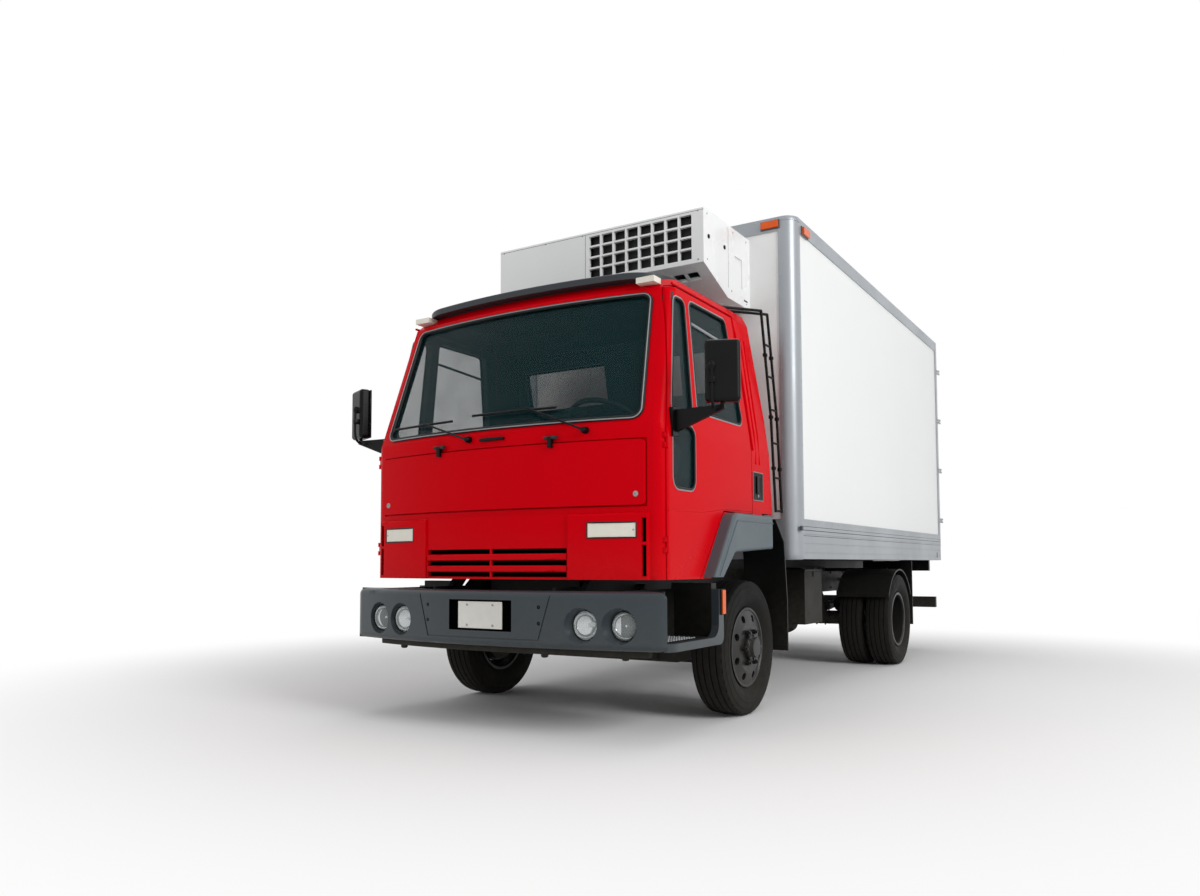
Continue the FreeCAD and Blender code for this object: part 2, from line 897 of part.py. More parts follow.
front_tyre, front_rim = front_wheel_solids()
rear_tyres, rear_rims = rear_wheel_solids()
export("front_tyre_left", [front_tyre])
export("front_tyre_right", [mirrored(front_tyre)])
export("front_rim_left", [front_rim])
export("front_rim_right", [mirrored(front_rim)])
export("rear_tyres_left", rear_tyres)
export("rear_tyres_right", [mirrored(ring) for ring in rear_tyres])
export("rear_rims_left", [rear_rims])
export("rear_rims_right", [mirrored(rear_rims)])


# Steering knuckles and track rod

def knuckle():
    """Left knuckle: yoke round the axle boss, king pin, stub for the hub, back plate and steering arm."""
    half_boss = kingpin_boss_height / 2
    arm_low = half_boss + yoke_gap
    arm_high = arm_low + yoke_arm_thickness
    plate_right = yoke_plate_x + yoke_plate_thickness
    pieces = []
    for side in (-1, 1):
        z_near = wheel_centre_z + side * arm_low
        z_far = wheel_centre_z + side * arm_high
        low = min(z_near, z_far)
        high = max(z_near, z_far)
        pieces.append(block(kingpin_x, plate_right, front_axle_y - yoke_half_width,
                            front_axle_y + yoke_half_width, low, high))
        pieces.append(Part.makeCylinder(yoke_half_width, yoke_arm_thickness, V(kingpin_x, front_axle_y,
                                                                               low)))
    pieces.append(block(yoke_plate_x, plate_right, front_axle_y - yoke_half_width,
                        front_axle_y + yoke_half_width,
                        wheel_centre_z - arm_high, wheel_centre_z + arm_high))
    pieces.append(Part.makeCylinder(kingpin_radius, arm_high * 2,
                                    V(kingpin_x, front_axle_y, wheel_centre_z - arm_high)))
    stub_end = front_wheel_x + front_cap_outset - stub_end_short_of_cap - running_clearance
    pieces.append(rod(V(yoke_plate_x, front_axle_y, wheel_centre_z), V(stub_end, front_axle_y,
                                                                       wheel_centre_z),
                      stub_radius))
    pieces.append(rod(V(plate_right, front_axle_y, wheel_centre_z),
                      V(plate_right + backplate_thickness, front_axle_y, wheel_centre_z), backplate_radius))
    arm_z = wheel_centre_z - arm_high
    pieces.append(block(kingpin_x - steering_arm_width / 2, kingpin_x + steering_arm_width / 2,
                        front_axle_y,
                        front_axle_y + steering_arm_length, arm_z, arm_z + steering_arm_thickness))
    pin_foot = V(kingpin_x, front_axle_y + steering_arm_length, arm_z - track_rod_drop)
    pieces.append(Part.makeCylinder(steering_arm_width / 2, steering_arm_thickness,
                                    V(kingpin_x, front_axle_y + steering_arm_length, arm_z)))
    pieces.append(Part.makeCylinder(track_rod_pin_radius, track_rod_drop, pin_foot))
    return fuse(pieces)


def track_rod():
    """Rod that joins the two steering arms, with an eye at each pin."""
    arm_z = wheel_centre_z - kingpin_boss_height / 2 - yoke_gap - yoke_arm_thickness
    rod_z = arm_z - track_rod_drop / 2
    rod_y = front_axle_y + steering_arm_length
    pieces = [rod(V(-kingpin_x, rod_y, rod_z), V(kingpin_x, rod_y, rod_z), track_rod_radius)]
    for side in (-1, 1):
        foot = V(side * kingpin_x, rod_y, rod_z - track_rod_radius)
        pieces.append(Part.makeCylinder(track_rod_eye_radius, track_rod_radius * 2, foot))
    body = fuse(pieces)
    for side in (-1, 1):
        foot = V(side * kingpin_x, rod_y, rod_z - track_rod_drop)
        body = body.cut(Part.makeCylinder(track_rod_pin_radius + kingpin_clearance, track_rod_drop * 2,
                                          foot))
    return body


left_knuckle = knuckle()
export("knuckle_left", [left_knuckle])
export("knuckle_right", [mirrored(left_knuckle)])
export("track_rod", [track_rod()])


# Axles, springs and drive line

def leaf_spring(axle_y, seat_z):
    """Arched leaf pack on one side, thick over the axle and thin at its ends."""
    low_mid = V(0, 0, seat_z)
    high_mid = V(0, 0, seat_z + spring_centre_thickness)
    end_z = seat_z + spring_camber
    ends = []
    for side in (-1, 1):
        ends.append((V(0, side * spring_half_length, end_z),
                     V(0, side * spring_half_length, end_z + spring_end_thickness)))
    edges = [
        Part.Arc(ends[0][0], low_mid, ends[1][0]).toShape(),
        Part.LineSegment(ends[1][0], ends[1][1]).toShape(),
        Part.Arc(ends[1][1], high_mid, ends[0][1]).toShape(),
        Part.LineSegment(ends[0][1], ends[0][0]).toShape(),
    ]
    leaf = Part.Face(Part.Wire(edges)).extrude(V(spring_width, 0, 0))
    leaf.translate(V(spring_x - spring_width / 2, axle_y, 0))
    return leaf


def front_axle():
    """Drop beam with a boss at each king pin, and its two leaf springs."""
    top = wheel_centre_z + axle_beam_height / 2
    low_top = top - axle_beam_drop
    boss_foot = wheel_centre_z - kingpin_boss_height / 2
    outline = [
        (-kingpin_x, top), (-axle_beam_low_half, low_top), (axle_beam_low_half, low_top), (kingpin_x, top),
        (kingpin_x, top - axle_beam_height), (axle_beam_low_half, low_top - axle_beam_height),
        (-axle_beam_low_half, low_top - axle_beam_height), (-kingpin_x, top - axle_beam_height),
    ]
    beam = prism_y(outline, front_axle_y - axle_beam_depth / 2, front_axle_y + axle_beam_depth / 2)
    pieces = [beam]
    for side in (-1, 1):
        pieces.append(Part.makeCylinder(kingpin_boss_radius, kingpin_boss_height,
                                        V(side * kingpin_x, front_axle_y, boss_foot)))
    body = fuse(pieces)
    for side in (-1, 1):
        pin_room = Part.makeCylinder(kingpin_radius + kingpin_clearance, kingpin_boss_height * 2,
                                     V(side * kingpin_x, front_axle_y, boss_foot - kingpin_boss_height / 2))
        body = body.cut(pin_room)
    return [body] + both_sides(leaf_spring(front_axle_y, low_top + seat_gap))


def rear_axle():
    """Rear axle tube with its bowl, leaf springs, brake back plates and propeller shaft."""
    tube_end = rear_outer_centre_x - rear_cap_inset - stub_end_short_of_cap - running_clearance
    drum_edge = rear_pair_x - dual_spacing / 2 - drum_width
    pieces = [rod(V(-tube_end, rear_axle_y, wheel_centre_z), V(tube_end, rear_axle_y, wheel_centre_z),
                  rear_tube_radius)]
    bowl = Part.makeSphere(rear_diff_radius, V(0, rear_axle_y, wheel_centre_z))
    slab = block(-rear_diff_width / 2, rear_diff_width / 2, rear_axle_y - rear_diff_radius,
                 rear_axle_y + rear_diff_radius, wheel_centre_z - rear_diff_radius,
                 wheel_centre_z + rear_diff_radius)
    pieces.append(bowl.common(slab))
    for side in (-1, 1):
        near = V(side * (drum_edge - running_clearance), rear_axle_y, wheel_centre_z)
        far = V(side * (drum_edge - running_clearance - backplate_thickness), rear_axle_y, wheel_centre_z)
        pieces.append(rod(far, near, backplate_radius))
    nose = V(0, rear_axle_y - rear_diff_radius * diff_nose_share, wheel_centre_z)
    gearbox_end = V(0, y_at(gearbox_end_from_axle), shaft_start_z)
    flange = V(0, prop_flange_thickness, 0)
    pieces.append(rod(gearbox_end, gearbox_end + flange, prop_flange_radius))
    pieces.append(rod(nose, gearbox_end + flange / 2, prop_shaft_radius))
    body = fuse(pieces)
    seat = wheel_centre_z + rear_tube_radius + seat_gap
    spring = leaf_spring(rear_axle_y, seat)
    return [body, spring, mirrored(spring)]


export("front_axle", front_axle())
export("rear_axle", rear_axle())


# Chassis rails, cross members, spring hangers, cab pivots and underrun bar

def chassis_frame():
    """Ladder frame: two channel rails, cross members, hangers and the rear underrun bar."""
    front = front_end_y + rail_front_from_end
    rear = rear_end_y - rail_rear_from_end
    top = rail_bottom_z + rail_height
    outer = rail_outer_half
    inner = outer - rail_flange
    web = outer - rail_web
    channel = [
        (outer, rail_bottom_z), (outer, top), (inner, top), (inner, top - rail_web), (web, top - rail_web),
        (web, rail_bottom_z + rail_web), (inner, rail_bottom_z + rail_web), (inner, rail_bottom_z),
    ]
    rail = prism_y(channel, front, rear)
    nose_y = y_at(-rail_nose_from_axle)
    nose = [
        (front - cut_overrun, top - rail_nose_drop), (nose_y - rail_nose_ramp, top - rail_nose_drop),
        (nose_y, top), (nose_y, top + cut_overrun), (front - cut_overrun, top + cut_overrun),
    ]
    rail = rail.cut(prism_x(nose, 0, outer + cut_overrun))
    pieces = [rail, mirrored(rail)]
    member_low = rail_bottom_z + (rail_height - cross_member_height) / 2
    for place_share in cross_member_places_share:
        y = front + place_share * (rear - front - cross_member_depth)
        height = cross_member_height - (rail_nose_drop if y < nose_y else 0)
        pieces.append(block(-web, web, y, y + cross_member_depth, member_low, member_low + height))
    front_seat = wheel_centre_z + axle_beam_height / 2 - axle_beam_drop + spring_camber
    rear_seat = wheel_centre_z + rear_tube_radius + spring_camber
    for axle_y, seat in ((front_axle_y, front_seat), (rear_axle_y, rear_seat)):
        for side in (-1, 1):
            y = axle_y + side * (spring_half_length - spring_hanger_length / 2)
            hanger = block(spring_x - spring_width / 2, spring_x + spring_width / 2,
                           y - spring_hanger_length / 2, y + spring_hanger_length / 2,
                           seat + spring_end_thickness + seat_gap * 2, rail_bottom_z)
            pieces += both_sides(hanger)
    pivot = V(rail_outer_half, y_at(-tilt_pivot_from_axle), tilt_pivot_z)
    bracket = block(web, outer, pivot.y - tilt_arm_radius, pivot.y + tilt_arm_radius * 2,
                    tilt_pivot_z - tilt_arm_radius, top - rail_nose_drop)
    pin = rod(pivot, pivot + V(tilt_arm_x + tilt_arm_thickness / 2 + hinge_leaf - rail_outer_half, 0, 0),
              tilt_pin_radius)
    pieces += both_sides(bracket) + both_sides(pin)
    bar_rear = rear_end_y - rear_gear_depth
    pieces.append(block(-underrun_half, underrun_half, bar_rear - underrun_depth, bar_rear,
                        underrun_bottom_z,
                        underrun_bottom_z + underrun_height))
    stay = block(web - underrun_stay_width, outer, bar_rear - underrun_depth - rail_rear_from_end,
                 bar_rear - underrun_depth, underrun_bottom_z, rail_bottom_z + rail_web)
    pieces += both_sides(stay)
    body = fuse(pieces)
    for x in (-tow_bolt_across / 2, tow_bolt_across / 2):
        for step in (-tow_bolt_upright / 2, tow_bolt_upright / 2):
            z = rail_bottom_z + rail_height / 2 + step
            body = body.cut(rod(V(x, rear + cut_overrun, z), V(x, rear - cross_member_depth - cut_overrun,
                                                               z),
                                tow_hole_radius))
    return body


export("chassis_frame", [chassis_frame()])


def engine():
    """Engine as one plain block, with the gearbox block behind it."""
    half = engine_width / 2
    rear = y_at(-engine_rear_from_axle)
    body = block(-half, half, y_at(-engine_front_from_axle), rear, engine_bottom_z, engine_top_z)
    gearbox = block(-gearbox_width / 2, gearbox_width / 2, rear, rear + gearbox_length, gearbox_bottom_z,
                    gearbox_bottom_z + gearbox_height)
    return fuse([body, gearbox])


export("engine", [engine()])


def tanks():
    """Fuel tank on the left, air tank and battery box on the right."""
    tank_x = -(rail_outer_half + tank_radius + seat_gap)
    fuel = rod(V(tank_x, y_at(tank_from_axle), tank_z), V(tank_x, y_at(tank_from_axle + tank_length),
                                                          tank_z),
               tank_radius)
    air = rod(V(rail_outer_half + air_tank_radius, y_at(tank_from_axle), tank_z),
              V(rail_outer_half + air_tank_radius, y_at(tank_from_axle + air_tank_length), tank_z),
              air_tank_radius)
    battery_y = tank_from_axle + air_tank_length + battery_gap
    battery = block(rail_outer_half, rail_outer_half + battery_box_size, y_at(battery_y),
                    y_at(battery_y + battery_box_size), tank_z - battery_box_size / 2,
                    tank_z + battery_box_size / 2)
    return [fuel, air, battery]


def exhaust():
    """Silencer on the right behind the fuel tank, its pipe from the engine and its tail."""
    head = V(silencer_x, y_at(silencer_from_axle), silencer_z)
    end = head + V(0, silencer_length, 0)
    rear = y_at(-engine_rear_from_axle) + seat_gap
    start = V(exhaust_pipe_x, rear, exhaust_pipe_z)
    turn = V(exhaust_pipe_x, head.y - silencer_radius, exhaust_pipe_z)
    low = V(exhaust_pipe_x, rear + exhaust_tail_reach, exhaust_pipe_z)
    tail = end + V(0, exhaust_tail_reach / 2, 0)
    out = tail + V(-exhaust_tail_reach, exhaust_tail_reach / 4, 0)
    return fuse([rod(head, end, silencer_radius), tube_path([start, low, turn, head], exhaust_pipe_radius),
                 tube_path([end, tail, out], exhaust_pipe_radius)])


export("tanks", tanks())


# Cab shell

cab_front_profile = (
    (cab_bottom_z, -cab_front_from_axle), (screen_foot_z, -cab_front_from_axle),
    (screen_head_z, -screen_head_from_axle), (roof_z, -roof_front_from_axle),
)
cab_rear_profile = (
    (cab_bottom_z, cab_rear_low_y), (cab_rear_low_z, cab_rear_low_y), (cab_rear_mid_z, cab_rear_mid_y),
    (roof_z, cab_rear_top_y),
)
cab_width_profile = (
    (cab_bottom_z, cab_half_width), (cab_waist_z, cab_half_width), (screen_head_z, cab_half_width_top),
    (roof_z, cab_half_width_top - roof_edge_step),
)
cab_corner_profile = ((screen_foot_z, cab_corner_radius), (screen_head_z, cab_corner_radius_top))
cab_levels = (cab_rear_low_z, cab_waist_z, screen_foot_z, cab_rear_mid_z, screen_head_z)


def cab_section(z, inset):
    """Plan outline of the cab at height z, drawn in by inset."""
    return bowed_plan(along(cab_width_profile, z) - inset, y_at(along(cab_front_profile, z)) + inset,
                      y_at(along(cab_rear_profile, z)) - inset,
                      max(along(cab_corner_profile, z) - inset, least_corner_radius),
                      max(cab_rear_corner_radius - inset, least_corner_radius), z)


def cab_form(inset, low_z=None):
    """Cab envelope drawn in by an inset, from low_z or from its own floor up."""
    low = cab_bottom_z + inset if low_z is None else low_z
    levels = [low] + [z for z in cab_levels if low < z < roof_z - inset] + [roof_z - inset]
    sections = [cab_section(z, inset) for z in levels]
    return Part.makeLoft(sections, True, True)


def under_cab(grow):
    """Room under the cab for the wheels and the engine, made larger by grow."""
    rear = y_at(cab_rear_low_y) + cut_overrun
    low = cab_bottom_z - cut_overrun
    well = [
        (y_at(well_front_low_y) - grow, low), (y_at(well_front_low_y) - grow, cab_bottom_z),
        (y_at(well_front_high_y) - grow, well_high_z + grow), (y_at(well_rear_y), well_rear_z + grow),
        (rear, well_rear_z + grow), (rear, low),
    ]
    wells = both_sides(prism_x(well, well_inner_x - grow, cab_half_width + cut_overrun))
    side_rear = block(side_rear_inner_x - grow, cab_half_width + cut_overrun, y_at(well_rear_y) - grow,
                      rear, low,
                      side_rear_bottom_z + grow)
    tunnel = block(-tunnel_half - grow, tunnel_half + grow, y_at(-tunnel_front_from_axle) - grow, rear, low,
                   tunnel_top_z + grow)
    return fuse(wells + both_sides(side_rear) + [tunnel])


def side_slab(depth):
    """Slab along the left side of the cab, as deep as given and following the side's lean."""
    low = cab_bottom_z - cut_overrun
    top = roof_z + cut_overrun
    lean = (cab_half_width - cab_half_width_top) / (screen_head_z - cab_waist_z)
    top_half = cab_half_width - lean * (top - cab_waist_z)
    outer = cab_half_width + cut_overrun
    points = [
        (cab_half_width - depth, low), (outer, low), (outer, top), (top_half - depth, top),
        (cab_half_width - depth, cab_waist_z),
    ]
    return prism_y(points, front_end_y, y_at(cab_rear_low_y) + cut_overrun)


def side_cut(outline, depth):
    """Part of the side slab inside a side view outline."""
    return side_slab(depth).common(prism_x(outline, 0, cab_half_width + cut_overrun * 2))


def door_outline(grow):
    """Outline of a cab door seen from the side, made larger by grow."""
    points = [
        (y_at(door_front_low_y), cab_bottom_z - cut_overrun),
        (y_at(door_front_low_y), cab_waist_z),
        (y_at(door_front_top_y), door_top_z),
        (y_at(door_rear_top_y), door_top_z),
        (y_at(door_rear_mid_y), door_rear_mid_z),
        (y_at(door_rear_low_y), door_arch_z),
        (y_at(door_arch_y), door_arch_z),
        (y_at(door_sill_front_y), cab_bottom_z),
        (y_at(door_sill_front_y) - door_seam, cab_bottom_z - cut_overrun),
    ]
    return grown(points, grow)


def grown(points, grow):
    """Outline of (y, z) points with sharp corners moved out by grow."""
    if grow == 0:
        return points
    wire = Part.makePolygon([V(0, y, z) for y, z in points] + [V(0, points[0][0], points[0][1])])
    wider = Part.Face(wire).makeOffset2D(grow, 2, False, False, False)
    return [(v.y, v.z) for v in [vertex.Point for vertex in wider.OuterWire.OrderedVertexes]]


def door_windows():
    """Outline and corner radius of the left door's quarter light, look-down window and main window."""
    quarter = [
        (y_at(quarter_low_front_y), quarter_low_z), (y_at(quarter_top_front_y), quarter_top_z),
        (y_at(quarter_top_rear_y), quarter_top_z), (y_at(quarter_low_rear_y), quarter_low_z),
    ]
    look_down = [
        (y_at(quarter_low_front_y), look_down_bottom_z), (y_at(quarter_low_front_y), look_down_top_z),
        (y_at(look_down_rear_y), look_down_top_z), (y_at(look_down_rear_y), look_down_bottom_z),
    ]
    main = [
        (y_at(main_window_front_low_y), main_window_low_z), (y_at(main_window_front_top_y),
                                                             main_window_top_z),
        (y_at(main_window_rear_top_y), main_window_top_z), (y_at(main_window_rear_low_y),
                                                            main_window_low_z),
    ]
    return [(quarter, quarter_corner_radius), (look_down, look_down_corner_radius),
            (main, main_window_corner_radius)]


def window_room(outline, corner, inset, depth):
    """Part of the side slab inside a round-cornered window outline, drawn in by inset."""
    room = prism_x(grown(outline, -inset), 0, cab_half_width + cut_overrun * 2)
    across = [edge for edge in room.Edges if edge.BoundBox.XLength > cab_half_width]
    return side_slab(depth).common(room.makeFillet(corner - inset, across))


def screen_room(inset):
    """Room of the windscreen, pulled back through the cab's front wall, with round corners."""
    outline = [
        (-screen_lower_half + inset, screen_bottom_z + inset), (-screen_upper_half + inset,
                                                                screen_top_z - inset),
        (screen_upper_half - inset, screen_top_z - inset), (screen_lower_half - inset,
                                                            screen_bottom_z + inset),
    ]
    room = prism_y(outline, screen_near, screen_far)
    corners = [edge for edge in room.Edges if edge.BoundBox.YLength > edge.BoundBox.XLength
               + edge.BoundBox.ZLength]
    return room.makeFillet(screen_corner_radius - inset, corners)


def rear_window_blocks(inset):
    """Rooms of the two rear windows in the cab's rear wall."""
    room = block(rear_window_inner + inset, rear_window_outer - inset, front_axle_y,
                 y_at(cab_rear_low_y) + cut_overrun, rear_window_bottom_z + inset,
                 rear_window_top_z - inset)
    return both_sides(room)


screen_far = y_at(-screen_cut_from_axle)
screen_near = front_end_y - cut_overrun
cab_outer = cab_form(0.0)
cab_inner = cab_form(cab_wall)
under_outer = under_cab(0.0)
under_inner = under_cab(cab_wall)


def cab_shell():
    """Hollow cab: walls, roof, stepped floor, openings for doors and glass, pockets at the front."""
    shell = cab_outer.cut(under_outer).cut(cab_inner.cut(under_inner))
    opening = side_cut(door_outline(door_seam), door_thickness + running_clearance)
    cuts = both_sides(opening) + [screen_room(0.0)] + rear_window_blocks(0.0)
    flap_room = bowed_block(-flap_half - flap_edge_gap, flap_half + flap_edge_gap, front_end_y,
                            front_overhang - flap_face_from_axle + flap_thickness + running_clearance,
                            flap_bottom_z - flap_edge_gap, flap_top_z + flap_edge_gap)
    panel_room = bowed_block(-panel_half, panel_half, front_end_y,
                             front_overhang - panel_face_from_axle + panel_depth,
                             panel_bottom_z - cut_overrun,
                             panel_top_z)
    handle_room = block(cab_half_width - handle_depth, cab_half_width + cut_overrun, y_at(handle_front_y),
                        y_at(handle_rear_y), handle_low_z, handle_high_z)
    for cut in cuts + [flap_room, panel_room] + both_sides(handle_room):
        shell = shell.cut(cut)
    pivot_y = y_at(-tilt_pivot_from_axle)
    top_y = y_at(-tilt_arm_top_y_from_axle)
    lean = math.atan2(tilt_arm_top_z - tilt_pivot_z, top_y - pivot_y)
    across = V(0, -math.sin(lean), math.cos(lean)) * tilt_arm_half
    foot = V(0, pivot_y, tilt_pivot_z)
    head = V(0, top_y, tilt_arm_top_z)
    corners = [foot + across, head + across, head - across, foot - across]
    arm_inner = tilt_arm_x - tilt_arm_thickness / 2
    arm = prism_x([(c.y, c.z) for c in corners], arm_inner, arm_inner + tilt_arm_thickness)
    start = foot + V(arm_inner, 0, 0)
    boss = rod(start, start + V(tilt_arm_thickness, 0, 0), tilt_arm_radius)
    bore = rod(start - V(cut_overrun, 0, 0), start + V(tilt_arm_thickness + cut_overrun, 0, 0),
               tilt_pin_radius + kingpin_clearance)
    arm = fuse([arm, boss]).cut(bore)
    return fuse([shell] + both_sides(arm))




# Doors and their glass

def door_hinges():
    """Left door hinges: fixed knuckles with pin, and moving knuckle, at each height."""
    fixed = []
    moving = []
    axis_x = cab_half_width
    axis_y = y_at(door_front_low_y) - door_hinge_ahead
    for z in (door_hinge_low_z, door_hinge_high_z):
        foot = V(axis_x, axis_y, z)
        high = V(axis_x, axis_y, z + hinge_knuckle_length * 2)
        fixed.append(Part.makeCylinder(hinge_radius, hinge_knuckle_length, foot))
        fixed.append(Part.makeCylinder(hinge_radius, hinge_knuckle_length, high))
        fixed.append(Part.makeCylinder(hinge_pin_radius, hinge_knuckle_length * 3, foot))
        for start in (foot, high):
            fixed.append(block(axis_x - hinge_leaf_depth, axis_x, axis_y - hinge_leaf_reach,
                               axis_y - hinge_pin_radius, start.z, start.z + hinge_knuckle_length))
        middle = V(axis_x, axis_y, z + hinge_knuckle_length + hinge_gap)
        length = hinge_knuckle_length - hinge_gap * 2
        knuckle_ring = Part.makeCylinder(hinge_radius, length, middle)
        leaf = block(axis_x - hinge_leaf_depth / 2, axis_x, axis_y + hinge_pin_radius,
                     axis_y + hinge_leaf_reach,
                     middle.z, middle.z + length)
        ring = fuse([knuckle_ring, leaf]).cut(Part.makeCylinder(hinge_pin_radius + hinge_gap, length,
                                                                middle))
        moving.append(ring)
    return fixed, moving


fixed_hinges, moving_hinges = door_hinges()
hinge_room_length = hinge_knuckle_length * 3 + running_clearance * 2
hinge_room = [Part.makeCylinder(hinge_radius + running_clearance / 2, hinge_room_length,
                                V(cab_half_width, y_at(door_front_low_y) - door_hinge_ahead,
                                  z - running_clearance))
              for z in (door_hinge_low_z, door_hinge_high_z)]


def door_panel():
    """Left cab door with its three window openings and hinge knuckles."""
    wall = cab_outer.cut(under_outer).cut(cab_form(door_thickness, cab_bottom_z - cut_overrun))
    door = wall.common(side_cut(door_outline(0.0), door_thickness))
    for outline, corner in door_windows():
        door = door.cut(window_room(outline, corner, 0, door_thickness + running_clearance))
    for room in hinge_room:
        door = door.cut(room)
    return fuse([door] + moving_hinges)


door_left = door_panel()


def door_glass():
    """Panes of the left door's three windows."""
    layer = cab_form(glass_inset).cut(cab_form(glass_inset + glass_thickness))
    return [layer.common(window_room(outline, corner, seat_gap, door_thickness))
            for outline, corner in door_windows()]


def cab_glass():
    """Windscreen and the two rear window panes."""
    layer = cab_form(glass_inset).cut(cab_form(glass_inset + glass_thickness))
    rooms = [screen_room(seat_gap)] + rear_window_blocks(seat_gap)
    return [layer.common(room) for room in rooms]


main_shell = cab_shell()
for room in hinge_room:
    main_shell = main_shell.cut(room).cut(mirrored(room))
hinge_sets = []
for piece in fixed_hinges:
    hinge_sets += both_sides(piece)
main_shell = fuse([main_shell] + hinge_sets)
export("cab_door_left", [door_left])
export("cab_door_right", [mirrored(door_left)])
left_panes = door_glass()
export("door_glass_left", left_panes)
export("door_glass_right", [mirrored(pane) for pane in left_panes])
export("cab_glass", cab_glass())


# Mirrors, carried by the doors

def mirror():
    """Left mirror: head on a short stem, cast arm and the bracket on the door."""
    centre = V(mirror_centre_x, y_at(-mirror_centre_from_axle), mirror_centre_z)
    head = Part.makeBox(mirror_width, mirror_depth, mirror_height,
                        V(-mirror_width / 2, -mirror_depth / 2, -mirror_height / 2))
    head = head.makeFillet(mirror_corner_radius, head.Edges)
    head.rotate(V(0, 0, 0), Z_AXIS, mirror_turn_deg)
    head.translate(centre)
    skin_x = along(cab_width_profile, mirror_bracket_z)
    bracket_y = y_at(door_front_low_y) + mirror_bracket_behind_seam
    low = mirror_bracket_z - mirror_bracket_height / 2
    bracket = block(skin_x - mirror_bracket_thickness, skin_x + mirror_bracket_thickness,
                    bracket_y, bracket_y + mirror_bracket_width, low, low + mirror_bracket_height)
    bracket = bracket.cut(cab_outer)
    foot = centre - V(0, 0, mirror_height / 2 + mirror_tube_radius)
    tip_x = foot.x + mirror_tube_radius
    arm = prism_y([(skin_x, low + mirror_bracket_height * arm_root_high_share), (tip_x, foot.z),
                   (tip_x, foot.z - mirror_tube_radius * 2),
                   (skin_x, low + mirror_bracket_height * arm_root_low_share)],
                  foot.y - mirror_arm_thickness / 2, foot.y + mirror_arm_thickness / 2)
    stem = rod(foot - V(0, 0, mirror_tube_radius), centre, mirror_tube_radius)
    return fuse([head, bracket, arm.cut(cab_outer), stem])


left_mirror = mirror()
export("mirror_left", [left_mirror])
export("mirror_right", [mirrored(left_mirror)])


# Front flap, lower front panel and its lamps

def rounded_slab_y(half, z0, z1, corner):
    """Rectangle seen from the front, with round corners, pulled back through the whole front."""
    slab = block(-half, half, front_end_y - cut_overrun, front_axle_y, z0, z1)
    corners = [edge for edge in slab.Edges if edge.BoundBox.YLength > edge.BoundBox.XLength
               + edge.BoundBox.ZLength]
    return slab.makeFillet(corner, corners)


def flap_hinge_axis():
    """Place and thirds of the flap's two hinge blocks."""
    axis_y = bow_y(flap_hinge_x, y_at(-flap_face_from_axle)) - flap_hinge_stand
    return axis_y, flap_hinge_width / 3


def front_flap():
    """Upper front flap with the moving part of its two hinge blocks."""
    face = y_at(-flap_face_from_axle)
    panel = bowed_block(-flap_half - cut_overrun, flap_half + cut_overrun, face, flap_thickness,
                        flap_bottom_z - cut_overrun, flap_top_z + cut_overrun)
    panel = panel.common(rounded_slab_y(flap_half, flap_bottom_z, flap_top_z, flap_corner_radius))
    axis_y, third = flap_hinge_axis()
    pieces = [panel]
    for side in (-1, 1):
        x = side * flap_hinge_x
        near = x - third / 2 + hinge_gap
        far = x + third / 2 - hinge_gap
        ring = rod(V(near, axis_y, flap_hinge_z), V(far, axis_y, flap_hinge_z), hinge_radius)
        leaf = block(near, far, axis_y - hinge_radius, axis_y + flap_hinge_stand + hinge_leaf,
                     flap_top_z - hinge_leaf_reach, flap_hinge_z)
        room = rod(V(near, axis_y, flap_hinge_z), V(far, axis_y, flap_hinge_z),
                   hinge_pin_radius + hinge_gap)
        pieces.append(fuse([ring, leaf]).cut(room))
    return fuse(pieces)


def flap_hinge_fixed():
    """Fixed part of the flap's hinge blocks, on the cab."""
    axis_y, third = flap_hinge_axis()
    skin = bow_y(flap_hinge_x, y_at(-cab_front_from_axle)) + hinge_leaf * 2
    pieces = []
    for side in (-1, 1):
        x = side * flap_hinge_x
        for start in (x - third * 1.5, x + third / 2):
            pieces.append(rod(V(start, axis_y, flap_hinge_z), V(start + third, axis_y, flap_hinge_z),
                              hinge_radius))
            pieces.append(block(start, start + third, axis_y, skin, flap_hinge_z - hinge_leaf / 2,
                                flap_hinge_z + hinge_radius))
        pieces.append(rod(V(x - third, axis_y, flap_hinge_z), V(x + third, axis_y, flap_hinge_z),
                          hinge_pin_radius))
    return pieces


export("front_flap", [front_flap()])


